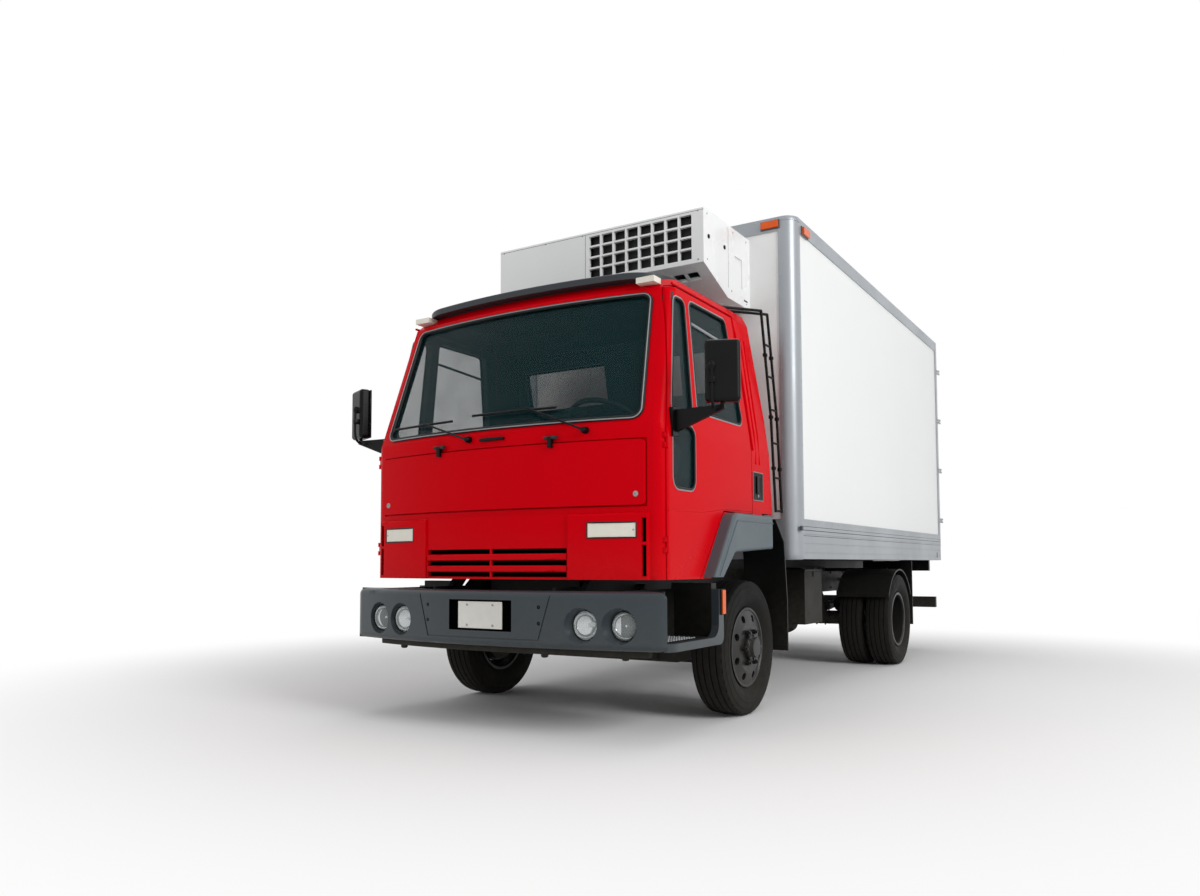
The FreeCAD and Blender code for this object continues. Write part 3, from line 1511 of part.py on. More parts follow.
def front_panel():
    """Lower front panel: recess, grille opening with slats, lamp pockets and side vents."""
    face = y_at(-panel_face_from_axle)
    far = cut_overrun * 2
    panel = bowed_block(-panel_half + seat_gap, panel_half - seat_gap, face, panel_depth - seat_gap,
                        panel_bottom_z + seat_gap, panel_top_z - seat_gap)
    shoulder = [edge for edge in panel.Edges if edge.BoundBox.ZMin > panel_top_z - seat_gap * 2
                and edge.BoundBox.XLength > panel_half and edge.BoundBox.YMin < face + seat_gap]
    panel = panel.makeFillet(panel_top_round, shoulder)
    recess = bowed_block(-panel_recess_half, panel_recess_half, face - far, far + panel_recess_depth,
                         panel_bottom_z - far, panel_top_z + far)
    grille = bowed_block(-grille_half, grille_half, face - far, far * 2, grille_bottom_z, grille_top_z)
    lamp = bowed_block(turn_lamp_inner, turn_lamp_outer, face - far, far + turn_lamp_depth + seat_gap,
                       turn_lamp_bottom_z, turn_lamp_top_z)
    vents = []
    for low, high in ((side_vent_bottom_z, side_vent_rib_z), (side_vent_rib_z + side_vent_rib_height,
                                                              side_vent_top_z)):
        vents += both_sides(bowed_block(side_vent_inner, side_vent_outer, face - far,
                                        far + turn_lamp_depth, low, high))
    for cut in [recess, grille] + both_sides(lamp) + vents:
        panel = panel.cut(cut)
    room = grille_top_z - grille_bottom_z - grille_slat_count * grille_slat_height
    gap = room / (grille_slat_count + 1)
    slats = []
    for index in range(grille_slat_count):
        low = grille_bottom_z + gap + index * (gap + grille_slat_height)
        slat = bowed_block(-grille_half, grille_half, face + panel_recess_depth / 2, grille_slat_depth, low,
                           low + grille_slat_height)
        near_edges = [edge for edge in slat.Edges if edge.BoundBox.XLength > grille_half
                      and edge.BoundBox.YMin < face + panel_recess_depth]
        slats.append(slat.makeFillet(grille_slat_round, near_edges))
    post = bowed_block(-grille_post_half, grille_post_half, face + panel_recess_depth,
    grille_slat_depth / 2,
                       grille_bottom_z, grille_top_z)
    return fuse([panel, post] + slats)


export("front_panel", [front_panel()])


def board_form():
    """Flat grey board over the cab roof with a bowed lip and round corners."""
    plan = bowed_plan(board_half, y_at(-board_front_from_axle), y_at(board_rear_y), board_corner_radius, 0,
                      board_bottom_z)
    board = Part.Face(plan).extrude(V(0, 0, board_thickness))
    upper = [edge for edge in board.Edges if edge.BoundBox.ZMin > board_bottom_z + board_thickness / 2]
    return board.makeFillet(board_edge_radius, upper)


def turn_lamps():
    """Cream lamps in the lower front panel, and the small lamps at the roof's front corners."""
    lamp = bowed_block(turn_lamp_inner + seat_gap, turn_lamp_outer - seat_gap,
                       y_at(-panel_face_from_axle) + seat_gap * 4, turn_lamp_depth - seat_gap * 4,
                       turn_lamp_bottom_z + seat_gap, turn_lamp_top_z - seat_gap)
    middle = cab_half_width * roof_lamp_x_share
    face = bow_y(middle, y_at(-screen_head_from_axle)) - roof_lamp_stand
    small = block(middle - roof_lamp_width / 2, middle + roof_lamp_width / 2, face, face + roof_lamp_depth,
                  roof_lamp_bottom_z, roof_lamp_bottom_z + roof_lamp_height)
    return both_sides(lamp) + both_sides(small.cut(cab_outer))


export("turn_lamps", turn_lamps())


export("roof_board", [board_form()])


def arch_flare():
    """Left wheel arch flare: a broad band proud of the cab side with round corners."""
    outline = [
        (y_at(flare_low_front_y), flare_low_z), (y_at(flare_high_front_y), flare_high_z),
        (y_at(flare_rear_y), flare_high_z), (y_at(flare_rear_y), flare_inner_rear_z),
        (y_at(flare_high_front_y) - seat_gap, flare_inner_high_z), (y_at(flare_low_inner_y), flare_low_z),
    ]
    band = prism_x(outline, cab_half_width + seat_gap, flare_outer_x)
    for (y, z), radius in ((outline[1], flare_corner_radius), (outline[4], flare_inner_radius)):
        band = band.makeFillet(radius, edges_along_x(band, y, z))
    rim_edges = [edge for edge in band.Edges if edge.BoundBox.XMin > flare_outer_x - find_tolerance
                 and edge.BoundBox.ZMax > flare_low_z + find_tolerance]
    return band.makeFillet(flare_edge_radius, rim_edges)


flare = arch_flare()
export("arch_flares", both_sides(flare))


# Cab inside

def dashboard():
    """Dashboard across the cab, with steering column and wheel on the left."""
    front = y_at(-cab_front_from_axle)
    rear = front + dash_reach
    outline = [
        (front, dash_bottom_z), (front, dash_top_z), (front + dash_reach * dash_top_share, dash_top_z),
        (rear, dash_top_z - dash_depth * dash_lip_share), (rear - dash_depth * dash_foot_share,
                                                           dash_bottom_z),
    ]
    body = cab_form(cab_wall + dash_gap).common(prism_x(outline, -dash_half, dash_half))
    centre = V(wheel_ring_x, y_at(-wheel_ring_y_from_axle), wheel_ring_z)
    lean = math.radians(wheel_ring_lean_deg)
    normal = V(0, math.sin(lean), math.cos(lean))
    ring = Part.makeTorus(wheel_ring_radius, wheel_ring_section, V(0, 0, 0), Z_AXIS)
    bar = block(-wheel_ring_radius, wheel_ring_radius, -spoke_width / 2, spoke_width / 2,
                -spoke_thickness / 2,
                spoke_thickness / 2)
    hub = Part.makeCylinder(column_radius * 2, spoke_thickness * 2, V(0, 0, -spoke_thickness))
    turned = fuse([ring, bar, hub])
    turned.rotate(V(0, 0, 0), X_AXIS, -wheel_ring_lean_deg)
    turned.translate(centre)
    column = rod(centre, centre - normal * column_length, column_radius)
    return fuse([body, turned, column])


def seats():
    """Driver's seat and the bench beside it, each a cushion and a back."""
    solids = []
    for x, width in ((seat_x, seat_width), (-seat_x, seat_width)):
        front = y_at(-seat_front_from_axle)
        cushion = block(x - width / 2, x + width / 2, front, front + seat_length,
                        seat_top_z - seat_cushion_thickness,
                        seat_top_z)
        back = block(x - width / 2, x + width / 2, front + seat_length,
                     front + seat_length + seat_back_thickness,
                     seat_top_z - seat_cushion_thickness, seat_top_z + seat_back_height)
        pedestal = block(x - width / 3, x + width / 3, front + seat_cushion_thickness, front + seat_length,
                         tunnel_top_z + cab_wall, seat_top_z - seat_cushion_thickness)
        solids.append(fuse([cushion, back, pedestal]))
    return solids


export("dashboard", [dashboard()])
export("seats", seats())


def wipers():
    """Two wipers: pivot, arm and blade lying on the windscreen."""
    lean = math.atan2(screen_head_z - screen_foot_z, cab_front_from_axle - screen_head_from_axle)
    up = V(0, math.cos(lean), math.sin(lean))
    out = V(0, -math.sin(lean), math.cos(lean))

    def on_screen(x, rise, stand):
        foot = V(x, bow_y(x, y_at(-cab_front_from_axle)), screen_foot_z)
        return foot + up * rise + out * stand

    solids = []
    for index in range(len(wiper_pivot_shares)):
        pivot_x = wiper_pivot_shares[index] * cab_half_width
        elbow_x = wiper_elbow_shares[index] * cab_half_width
        tips = (wiper_outer_tip_shares[index] * cab_half_width,
                wiper_inner_tip_shares[index] * cab_half_width)
        rise = wiper_elbow_rises[index]
        root = V(pivot_x, bow_y(pivot_x, y_at(-cab_front_from_axle)), screen_foot_z - wiper_root_drop)
        pivot_top = root - V(0, wiper_stand, 0)
        elbow = on_screen(elbow_x, rise, wiper_stand)
        blade = [on_screen(x, rise, wiper_blade_stand) for x in (tips[0], (tips[0] + tips[1]) / 2, tips[1])]
        foot = rod(root + V(0, wiper_root_sink, 0), pivot_top, wiper_pivot_radius).cut(cab_outer)
        solids.append(fuse([
            foot,
            rod(pivot_top, elbow, wiper_arm_radius),
            tube_path(blade, wiper_blade_radius),
            rod(elbow, on_screen(elbow_x, rise, wiper_blade_stand), wiper_arm_radius),
            Part.makeSphere(wiper_arm_radius, elbow),
            Part.makeSphere(wiper_arm_radius, pivot_top),
        ]))
    return solids


export("wipers", wipers())


def ladder():
    """Access ladder of bent tube at the cab's left rear corner."""
    rails = []
    for offset in (0.0, ladder_spacing):
        points = [
            V(ladder_x, y_at(ladder_front_low_y + offset), ladder_low_z),
            V(ladder_x, y_at(ladder_front_mid_y + offset), ladder_front_mid_z),
            V(ladder_x, y_at(ladder_front_top_y + offset), ladder_top_z),
            V(ladder_roof_x, y_at(ladder_roof_y + offset), roof_z + ladder_tube_radius + seat_gap),
        ]
        rails.append(tube_path(points, ladder_tube_radius))
    rungs = []
    for z in ladder_rung_heights + (ladder_low_z + ladder_tube_radius,):
        if z < ladder_front_mid_z:
            share = (z - ladder_low_z) / (ladder_front_mid_z - ladder_low_z)
            y = ladder_front_low_y + share * (ladder_front_mid_y - ladder_front_low_y)
        else:
            share = (z - ladder_front_mid_z) / (ladder_top_z - ladder_front_mid_z)
            y = ladder_front_mid_y + share * (ladder_front_top_y - ladder_front_mid_y)
        rungs.append(rod(V(ladder_x, y_at(y), z), V(ladder_x, y_at(y + ladder_spacing), z),
                         ladder_rung_radius))
    return fuse(rails + rungs)


export("access_ladder", [ladder()])
main_shell = fuse([main_shell] + flap_hinge_fixed())
export("cab_shell", [main_shell])


# Bumper, headlamps and entry steps

def bumper_body(inset, z0, z1):
    """Plan of the bumper and steps between two heights, drawn in by inset."""
    plan = bowed_plan(bumper_half - inset, front_end_y + inset, y_at(-step_rear_from_axle),
                      bumper_corner_radius - inset, 0, z0)
    return Part.Face(plan).extrude(V(0, 0, z1 - z0))


def lamp_places():
    """Middle x of the four headlamps."""
    return (-lamp_outer_x, -lamp_inner_x, lamp_inner_x, lamp_outer_x)


def bumper_marks():
    """Cuts in the bumper's face: the centre panel's seam, the plate recess and four bolt holes."""
    face = bumper_body(0.0, bumper_bottom_z, bumper_top_z + cut_overrun)

    def panel(inset):
        outline = [
            (-bumper_centre_low_half + inset, bumper_centre_low_z + inset),
            (bumper_centre_low_half - inset, bumper_centre_low_z + inset),
            (bumper_centre_top_half - inset, bumper_top_z + cut_overrun),
            (-bumper_centre_top_half + inset, bumper_top_z + cut_overrun),
        ]
        return prism_y(outline, front_end_y - cut_overrun, front_end_y + cut_overrun)

    def layer(depth):
        return face.cut(bumper_body(depth, 0, bumper_top_z + cut_overrun * 2))

    seam = layer(bumper_seam_depth).common(panel(0.0).cut(panel(bumper_seam_width)))
    plate = layer(plate_recess_depth).common(block(-plate_recess_half, plate_recess_half,
                                                   front_end_y - cut_overrun,
                                                   front_end_y + cut_overrun, plate_recess_low_z,
                                                   plate_recess_high_z))
    cuts = [seam, plate]
    for x in (-bumper_bolt_x, bumper_bolt_x):
        for z in bumper_bolt_heights:
            start = V(x, bow_y(x, front_end_y) - cut_overrun, z)
            cuts.append(rod(start, start + V(0, cut_overrun + plate_recess_depth, 0), bumper_bolt_radius))
    return cuts


def front_bumper():
    """Hollow bumper with lips, round lamp tunnels and fixing arms to the rails."""
    outer = bumper_body(0.0, bumper_bottom_z, bumper_top_z)
    ahead_of = y_at(-step_rear_from_axle) - bumper_wall
    upper = [edge for edge in outer.Edges if edge.BoundBox.ZMin > bumper_top_z - bumper_wall
             and edge.CenterOfMass.y < ahead_of]
    outer = outer.makeFillet(bumper_top_edge_radius, upper)
    lower = [edge for edge in outer.Edges if edge.BoundBox.ZMax < bumper_bottom_z + bumper_wall
             and edge.CenterOfMass.y < ahead_of]
    outer = outer.makeFillet(bumper_bottom_edge_radius, lower)
    seam = y_at(-bumper_seam_from_axle)
    outer = outer.cut(block(-bumper_half, bumper_half, seam, front_axle_y, 0, bumper_top_z + cut_overrun))
    body = outer.cut(bumper_body(bumper_wall, bumper_bottom_z + bumper_wall, bumper_top_z - bumper_wall))
    body = body.cut(bumper_body(bumper_lip_depth, 0, bumper_top_z + cut_overrun))
    for x in lamp_places():
        face = bow_y(x, front_end_y)
        ahead = V(0, lamp_recess, 0)
        back = V(x, face + lamp_recess, lamp_z)
        ring = rod(back - ahead * 2, back + V(0, lamp_depth, 0), lamp_opening_radius + bumper_wall / 3)
        cone = Part.makeCone(lamp_opening_radius * 2 - lamp_lens_radius, lamp_lens_radius, lamp_recess * 2,
                             back - ahead * 2, Y_AXIS)
        seat = rod(back - ahead, back + ahead * 3, lamp_lens_radius + seat_gap)
        body = fuse([body, ring.common(outer)]).cut(cone).cut(seat)
    for cut in bumper_marks():
        body = body.cut(cut)
    arm = block(rail_outer_half - rail_flange, rail_outer_half - rail_web - seat_gap,
                bow_y(rail_outer_half, front_end_y) + bumper_wall / 2,
                front_end_y + rail_front_from_end + bumper_lip_depth, rail_bottom_z + rail_web + seat_gap,
                rail_bottom_z + rail_height / 2)
    return fuse([body] + both_sides(arm))


def headlamps():
    """Four round headlamps."""
    solids = []
    for x in lamp_places():
        y = bow_y(x, front_end_y) + lamp_recess
        solids.append(rod(V(x, y, lamp_z), V(x, y + lamp_depth, lamp_z), lamp_lens_radius))
    return solids


export("front_bumper", [front_bumper()])
export("headlamps", headlamps())


def step_window():
    """Opening over the step seen from the side, open at the top and round at its rear foot."""
    seam = y_at(-bumper_seam_from_axle)
    rear = y_at(-step_rear_from_axle) - step_leg
    room = block(0, bumper_half + cut_overrun, seam - cut_overrun, rear, step_floor_z,
                 step_top_z + cut_overrun)
    return room.makeFillet(sill_inner_radius, edges_along_x(room, rear, step_floor_z))


def step_hull(top):
    """Outer form of the left step up to a height, with its rear foot rounded."""
    seam = y_at(-bumper_seam_from_axle) + seat_gap
    rear = y_at(-step_rear_from_axle)
    hull = bumper_body(0.0, step_floor_z - step_tread_thickness, top)
    hull = hull.common(block(step_inner_x, bumper_half + cut_overrun, seam, rear, 0, top))
    return hull.makeFillet(sill_outer_radius, edges_along_x(hull, rear,
                                                            step_floor_z - step_tread_thickness))


def entry_step():
    """Left entry step: a well with a slotted tread, closed in front, inside and behind."""
    seam = y_at(-bumper_seam_from_axle) + seat_gap
    split = bumper_half - sill_width - seat_gap
    hull = step_hull(step_top_z).common(block(0, split, front_end_y, front_axle_y, 0, step_top_z))
    well = block(step_inner_x + step_wall, bumper_half + cut_overrun, seam + step_wall,
                 y_at(-step_rear_from_axle) - step_leg, step_floor_z, step_top_z + cut_overrun)
    top = block(step_inner_x, bumper_half, seam, y_at(-step_rear_from_axle) - step_leg, bumper_top_z,
                step_top_z + cut_overrun)
    body = hull.cut(well).cut(top)
    pitch = (well.BoundBox.YLength - tread_slot_width) / (tread_slot_count + 1)
    for index in range(tread_slot_count):
        y = well.BoundBox.YMin + (index + 1) * pitch
        body = body.cut(block(step_inner_x + step_wall * 2, split - step_wall, y, y + tread_slot_width, 0,
                              step_floor_z))
    return body


def step_sill():
    """Left step's outer sill, which turns up behind the well into a leg."""
    band = step_hull(sill_top_z).common(block(bumper_half - sill_width, bumper_half + cut_overrun,
                                              front_end_y,
                                              front_axle_y, 0, sill_top_z))
    return band.cut(step_window())


export("entry_steps", both_sides(entry_step()))
export("step_sills", both_sides(step_sill()))


def marker_lamps():
    """Orange lamps: on the entry steps, on the box front and on the box sides near the front."""
    rear = y_at(-step_rear_from_axle)
    side_lamp = block(bumper_half, bumper_half + side_lamp_depth, rear - side_lamp_width, rear,
                      side_lamp_top_z - side_lamp_height, side_lamp_top_z)
    box_front = y_at(box_front_from_axle)
    z = box_top_z - roof_rail_height + marker_height / 2
    front_x = box_half - box_corner_radius * marker_from_side_share
    side_y = box_front + box_corner_radius * marker_from_front_share
    front_lamp = block(front_x - marker_length, front_x, box_front - marker_depth, box_front, z,
                       z + marker_height)
    side_marker = block(box_half, box_half + marker_depth, side_y, side_y + marker_length,
                        z - marker_height / 2,
                        z + marker_height / 2)
    lamps = []
    for lamp in (side_lamp, front_lamp, side_marker):
        lamps += both_sides(lamp)
    return lamps


export("marker_lamps", marker_lamps())


# Mudguards

def front_guard():
    """Left front mudguard behind the wheel: curved sheet, flap and stay."""
    outer = [
        (y_at(front_guard_top_y), front_guard_top_z), (y_at(front_guard_mid_y), front_guard_mid_z),
        (y_at(front_guard_low_y), front_guard_low_z), (y_at(front_guard_low_y), front_flap_low_z),
    ]
    inner = [(y - guard_thickness, z) for y, z in reversed(outer)]
    sheet = prism_x(outer + inner, front_guard_inner_x, front_guard_outer_x)
    stay_y = y_at(front_guard_low_y - guard_thickness / 2)
    stay_z = rail_bottom_z + rail_height / 2
    stay = rod(V(rail_outer_half, stay_y, stay_z), V(front_guard_outer_x - front_stay_inset, stay_y,
                                                     stay_z),
               guard_stay_radius)
    return fuse([sheet, stay])


def rear_guard():
    """Left rear mudguard over the twin wheels, its flap behind them and its stays."""
    centre = V(rear_guard_inner_x, rear_axle_y, wheel_centre_z)
    width = rear_guard_outer_x - rear_guard_inner_x
    outer = Part.makeCylinder(rear_guard_radius + guard_thickness, width, centre, X_AXIS)
    inner = Part.makeCylinder(rear_guard_radius, width, centre, X_AXIS)
    ring = outer.cut(inner)
    reach = rear_guard_radius * math.sin(math.radians(rear_guard_angle_deg))
    low = wheel_centre_z + rear_guard_radius * math.cos(math.radians(rear_guard_angle_deg))
    cover = ring.common(block(rear_guard_inner_x, rear_guard_outer_x, rear_axle_y - reach,
                              rear_axle_y + reach, low,
                              wheel_centre_z + rear_guard_radius * 2))
    flap_y = rear_axle_y + rear_flap_y_from_axle
    flap = block(rear_guard_inner_x, rear_guard_outer_x, flap_y, flap_y + guard_thickness, rear_flap_low_z,
                 box_bottom_z - running_clearance)
    stays = []
    for y, z in ((rear_axle_y, wheel_centre_z + rear_guard_radius + guard_thickness / 2),
                 (flap_y + guard_thickness / 2, rail_bottom_z + rail_height / 2)):
        stays.append(rod(V(rail_outer_half, y, z), V(rear_guard_outer_x - rear_stay_inset, y, z),
                         guard_stay_radius))
    return fuse([cover, stays[0]]), fuse([flap, stays[1]])


guard_cover, guard_flap = rear_guard()
export("mudguards", both_sides(front_guard()) + both_sides(guard_cover) + both_sides(guard_flap))


# Box subframe, shell, rails and portal

def box_subframe():
    """Runners on the chassis rails and cross bearers under the box floor."""
    front = y_at(box_front_from_axle) + box_corner_radius
    rear = rear_end_y - rear_gear_depth - portal_depth
    top = rail_bottom_z + rail_height + seat_gap
    runner = block(rail_outer_half - runner_width, rail_outer_half, front, rear, top, box_bottom_z)
    pieces = both_sides(runner)
    pitch = (rear - front - bearer_depth) / (bearer_count - 1)
    for index in range(bearer_count):
        y = front + index * pitch
        pieces.append(block(-box_half + bearer_depth, box_half - bearer_depth, y, y + bearer_depth,
                            box_bottom_z, box_bottom_z + bearer_height))
    return fuse(pieces)


def rounded_box(half, front, rear, low, high, corner):
    """Box with round upright front corners."""
    body = block(-half, half, front, rear, low, high)
    middle = (front + rear) / 2
    upright = [edge for edge in body.Edges if edge.BoundBox.ZLength > edge.BoundBox.XLength
               + edge.BoundBox.YLength
               and edge.CenterOfMass.y < middle]
    return body.makeFillet(corner, upright)


box_front = y_at(box_front_from_axle)
box_rear = rear_end_y - rear_gear_depth
panel_half_width = box_half - box_panel_inset
panel_front = box_front + box_panel_inset
panel_rear = box_rear - portal_depth
panel_top = box_top_z - box_panel_inset
panel_bottom = box_bottom_z + bearer_height + seat_gap
box_outer = rounded_box(box_half, box_front, box_rear, box_bottom_z, box_top_z, box_corner_radius)
panel_block = rounded_box(panel_half_width, panel_front, panel_rear, panel_bottom, panel_top,
                          box_corner_radius - box_panel_inset)
cavity = block(-panel_half_width + box_wall, panel_half_width - box_wall, panel_front + box_wall,
               panel_rear + cut_overrun, box_floor_top_z, panel_top - box_wall)


def box_shell():
    """Insulated box: side walls, front wall, roof and floor, open at the rear."""
    return panel_block.cut(cavity)


def box_rails():
    """Corner posts, roof rails, side rails and the rear portal round the insulated panels."""
    skin = box_outer.cut(rounded_box(panel_half_width, panel_front, box_rear + cut_overrun,
                                     box_bottom_z - cut_overrun, panel_top,
                                     box_corner_radius - box_panel_inset))
    leg = box_corner_radius + post_leg
    bands = []
    for side in (-1, 1):
        low = min(side * (box_half - leg), side * box_half)
        bands.append(block(low, low + leg, box_front, box_front + leg, box_bottom_z, box_top_z))
    bands.append(block(-box_half, box_half, box_front, box_rear, box_bottom_z, side_rail_top_z))
    for side in (-1, 1):
        low = min(side * (box_half - roof_rail_width), side * box_half)
        bands.append(block(low, low + roof_rail_width, box_front, box_rear, box_top_z - roof_rail_height,
                           box_top_z))
    bands.append(block(-box_half, box_half, box_front, box_front + roof_rail_width,
                       box_top_z - roof_rail_height,
                       box_top_z))
    strips = skin.common(fuse(bands))
    for z in side_rail_groove_heights:
        groove = block(box_half - side_rail_groove_depth, box_half + cut_overrun, box_front + leg,
                       panel_rear - side_rail_groove_height, z, z + side_rail_groove_height)
        for cut in both_sides(groove):
            strips = strips.cut(cut)
    portal = block(-box_half, box_half, panel_rear, box_rear, box_bottom_z, box_top_z)
    doorway = block(-box_half + portal_width, box_half - portal_width, panel_rear - cut_overrun,
                    box_rear + cut_overrun, portal_sill_z, box_top_z - portal_header)
    portal = portal.cut(doorway)
    buffers = []
    for side in (-1, 1):
        low = side * (box_half - portal_width * 2) - buffer_width / 2
        buffers.append(block(low, low + buffer_width, box_rear, rear_end_y, buffer_z - buffer_height / 2,
                             buffer_z + buffer_height / 2))
    return fuse([strips, portal] + buffers + rear_hinge_fixed())


rear_hinge_x = box_half + rear_hinge_out
rear_hinge_y = box_rear + rear_hinge_back


def rear_hinge_heights():
    """Heights of the rear door hinges."""
    span = rear_door_top_z - rear_door_bottom_z
    pitch = span / rear_hinge_count
    return [rear_door_bottom_z + pitch / 2 + pitch * index for index in range(rear_hinge_count)]


def rear_hinge_fixed():
    """Fixed hinge halves on the portal: two knuckles, the pin and a leaf to the post."""
    pieces = []
    for z in rear_hinge_heights():
        third = rear_strap_height / 3
        low = z - third * 1.5
        side_parts = []
        for start in (low, low + third * 2):
            foot = V(rear_hinge_x, rear_hinge_y, start)
            side_parts.append(Part.makeCylinder(rear_hinge_radius, third, foot))
            leaf = [
                (box_half, box_rear - portal_depth / 2), (box_half + rear_leaf_lip,
                                                          box_rear - portal_depth / 2),
                (rear_hinge_x + rear_leaf_lip, rear_hinge_y), (rear_hinge_x - rear_strap_thickness,
                                                               rear_hinge_y),
                (box_half, box_rear),
            ]
            side_parts.append(prism_z(leaf, start, start + third))
        side_parts.append(Part.makeCylinder(hinge_pin_radius, third * 3, V(rear_hinge_x, rear_hinge_y,
                                                                           low)))
        whole = fuse(side_parts)
        pieces += both_sides(whole)
    return pieces


def rear_door():
    """Left rear door with hinge straps."""
    near = box_rear + rear_door_gap
    panel = block(rear_door_gap / 2, box_half - rear_door_side, near, near + rear_door_thickness,
                  rear_door_bottom_z,
                  rear_door_top_z)
    pieces = [panel]
    third = rear_strap_height / 3
    for z in rear_hinge_heights():
        low = z - third / 2 + hinge_gap
        length = third - hinge_gap * 2
        strap = block(box_half - rear_door_side - rear_strap_length, rear_hinge_x,
                      near + rear_door_thickness,
                      near + rear_door_thickness + rear_strap_thickness, low, low + length)
        ring = fuse([strap, Part.makeCylinder(rear_hinge_radius, length, V(rear_hinge_x, rear_hinge_y,
                                                                           low))])
        ring = ring.cut(Part.makeCylinder(hinge_pin_radius + hinge_gap, length, V(rear_hinge_x,
                                                                                  rear_hinge_y, low)))
        pieces.append(ring)
    return fuse(pieces)


def rear_door_lock():
    """Lock rod of the left rear door with its guides, cams and handle."""
    face = box_rear + rear_door_gap + rear_door_thickness
    x = lock_rod_from_edge
    y = face + lock_rod_stand
    pieces = [rod(V(x, y, rear_door_bottom_z), V(x, y, rear_door_top_z), lock_rod_radius)]
    span = rear_door_top_z - rear_door_bottom_z
    for place_share in lock_guide_shares:
        z = rear_door_bottom_z + place_share * span
        pieces.append(block(x - lock_guide_half, x + lock_guide_half, face, y + lock_rod_radius,
                            z - lock_guide_half, z + lock_guide_half))
    pieces.append(block(x, x + lock_handle_length / 2, y - lock_rod_radius / 2, y + lock_rod_radius / 2,
                        lock_handle_z - lock_guide_half / 2, lock_handle_z + lock_guide_half / 2))
    return fuse(pieces)


export("box_subframe", [box_subframe()])
export("box_shell", [box_shell()])
export("box_rails", [box_rails()])
left_rear_door = rear_door()
export("rear_door_left", [left_rear_door])
export("rear_door_right", [mirrored(left_rear_door)])
left_lock = rear_door_lock()
export("rear_lock_left", [left_lock])
export("rear_lock_right", [mirrored(left_lock)])


def rear_lamps():
    """Rear lamp clusters under the box."""
    lamp = block(rear_lamp_x - rear_lamp_width / 2, rear_lamp_x + rear_lamp_width / 2,
                 box_rear - rear_lamp_depth,
                 box_rear, box_bottom_z - rear_lamp_height, box_bottom_z)
    return both_sides(lamp)


export("rear_lamps", rear_lamps())


# Fridge unit

def unit_outline(inset):
    """Side view of the fridge unit."""
    front = y_at(unit_front_from_axle) + inset
    rear = y_at(box_front_from_axle) + box_panel_inset - seat_gap - inset
    return [
        (front, unit_front_bottom_z + inset / 2), (front, unit_top_z - inset), (rear, unit_top_z - inset),
        (rear, unit_belly_z + inset), (y_at(unit_belly_y), unit_belly_z + inset),
    ]


def fridge_housing():
    """Hollow fridge unit housing with air holes in its front and belly and a sunk panel in each side."""
    body = prism_x(unit_outline(0.0), -unit_half, unit_half)
    front = y_at(unit_front_from_axle)
    body = body.makeFillet(unit_edge_radius, edges_along_x(body, front, unit_top_z))
    room = prism_x(unit_outline(unit_wall), -unit_half + unit_wall, unit_half - unit_wall)
    sunk = block(unit_half - unit_panel_depth, unit_half + cut_overrun, y_at(unit_panel_front_y),
                 y_at(unit_panel_rear_y), unit_panel_low_z, unit_panel_high_z)
    body = body.cut(room)
    for cut in both_sides(sunk):
        body = body.cut(cut)
    run = unit_belly_y - unit_front_from_axle
    for column in range(hole_columns):
        x = hole_first_x + column * hole_pitch_x
        for row in range(hole_rows):
            top = hole_first_top_z - row * hole_pitch_z
            body = body.cut(block(x, x + hole_width, front - cut_overrun, front + cut_overrun,
                                  top - hole_height, top))
        body = body.cut(block(x, x + hole_width, front + run * belly_hole_near_share,
                              front + run * belly_hole_far_share,
                              unit_belly_z - cut_overrun, unit_front_bottom_z + unit_wall))
    return body


def fridge_coil():
    """Dark heat exchanger standing behind the air holes."""
    front = y_at(unit_front_from_axle) + unit_wall + coil_gap
    low = unit_front_bottom_z + unit_wall
    return block(hole_first_x - hole_width, unit_half - unit_wall - seat_gap, front, front + coil_depth,
                 low,
                 unit_top_z - unit_wall - seat_gap)


export("fridge_housing", [fridge_housing()])
export("fridge_coil", [fridge_coil()])
export("exhaust", [exhaust()])
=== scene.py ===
import json
import logging
import math
from contextlib import contextmanager
from dataclasses import dataclass, field
from enum import Enum
from typing import Callable, Iterator, Sequence

import bmesh
import bpy
from mathutils import Matrix, Vector

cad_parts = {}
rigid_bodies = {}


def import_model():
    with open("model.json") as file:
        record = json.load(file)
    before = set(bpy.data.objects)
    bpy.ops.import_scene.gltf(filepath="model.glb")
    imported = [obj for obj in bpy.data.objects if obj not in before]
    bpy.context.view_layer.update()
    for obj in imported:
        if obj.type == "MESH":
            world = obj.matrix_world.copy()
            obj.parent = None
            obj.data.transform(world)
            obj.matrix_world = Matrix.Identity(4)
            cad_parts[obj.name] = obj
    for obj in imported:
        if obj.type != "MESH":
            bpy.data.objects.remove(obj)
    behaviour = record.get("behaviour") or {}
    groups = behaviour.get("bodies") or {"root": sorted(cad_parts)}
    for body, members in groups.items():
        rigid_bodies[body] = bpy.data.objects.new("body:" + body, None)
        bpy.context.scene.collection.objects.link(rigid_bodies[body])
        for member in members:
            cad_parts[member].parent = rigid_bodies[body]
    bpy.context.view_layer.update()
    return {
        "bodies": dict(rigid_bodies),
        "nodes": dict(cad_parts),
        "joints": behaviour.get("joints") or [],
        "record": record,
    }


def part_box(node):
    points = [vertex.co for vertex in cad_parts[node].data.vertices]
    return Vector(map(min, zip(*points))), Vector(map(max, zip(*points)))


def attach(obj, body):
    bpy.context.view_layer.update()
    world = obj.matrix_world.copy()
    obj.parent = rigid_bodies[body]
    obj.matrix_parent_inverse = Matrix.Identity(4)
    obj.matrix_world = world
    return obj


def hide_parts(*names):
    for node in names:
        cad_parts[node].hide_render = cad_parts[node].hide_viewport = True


log = logging.getLogger("truck")

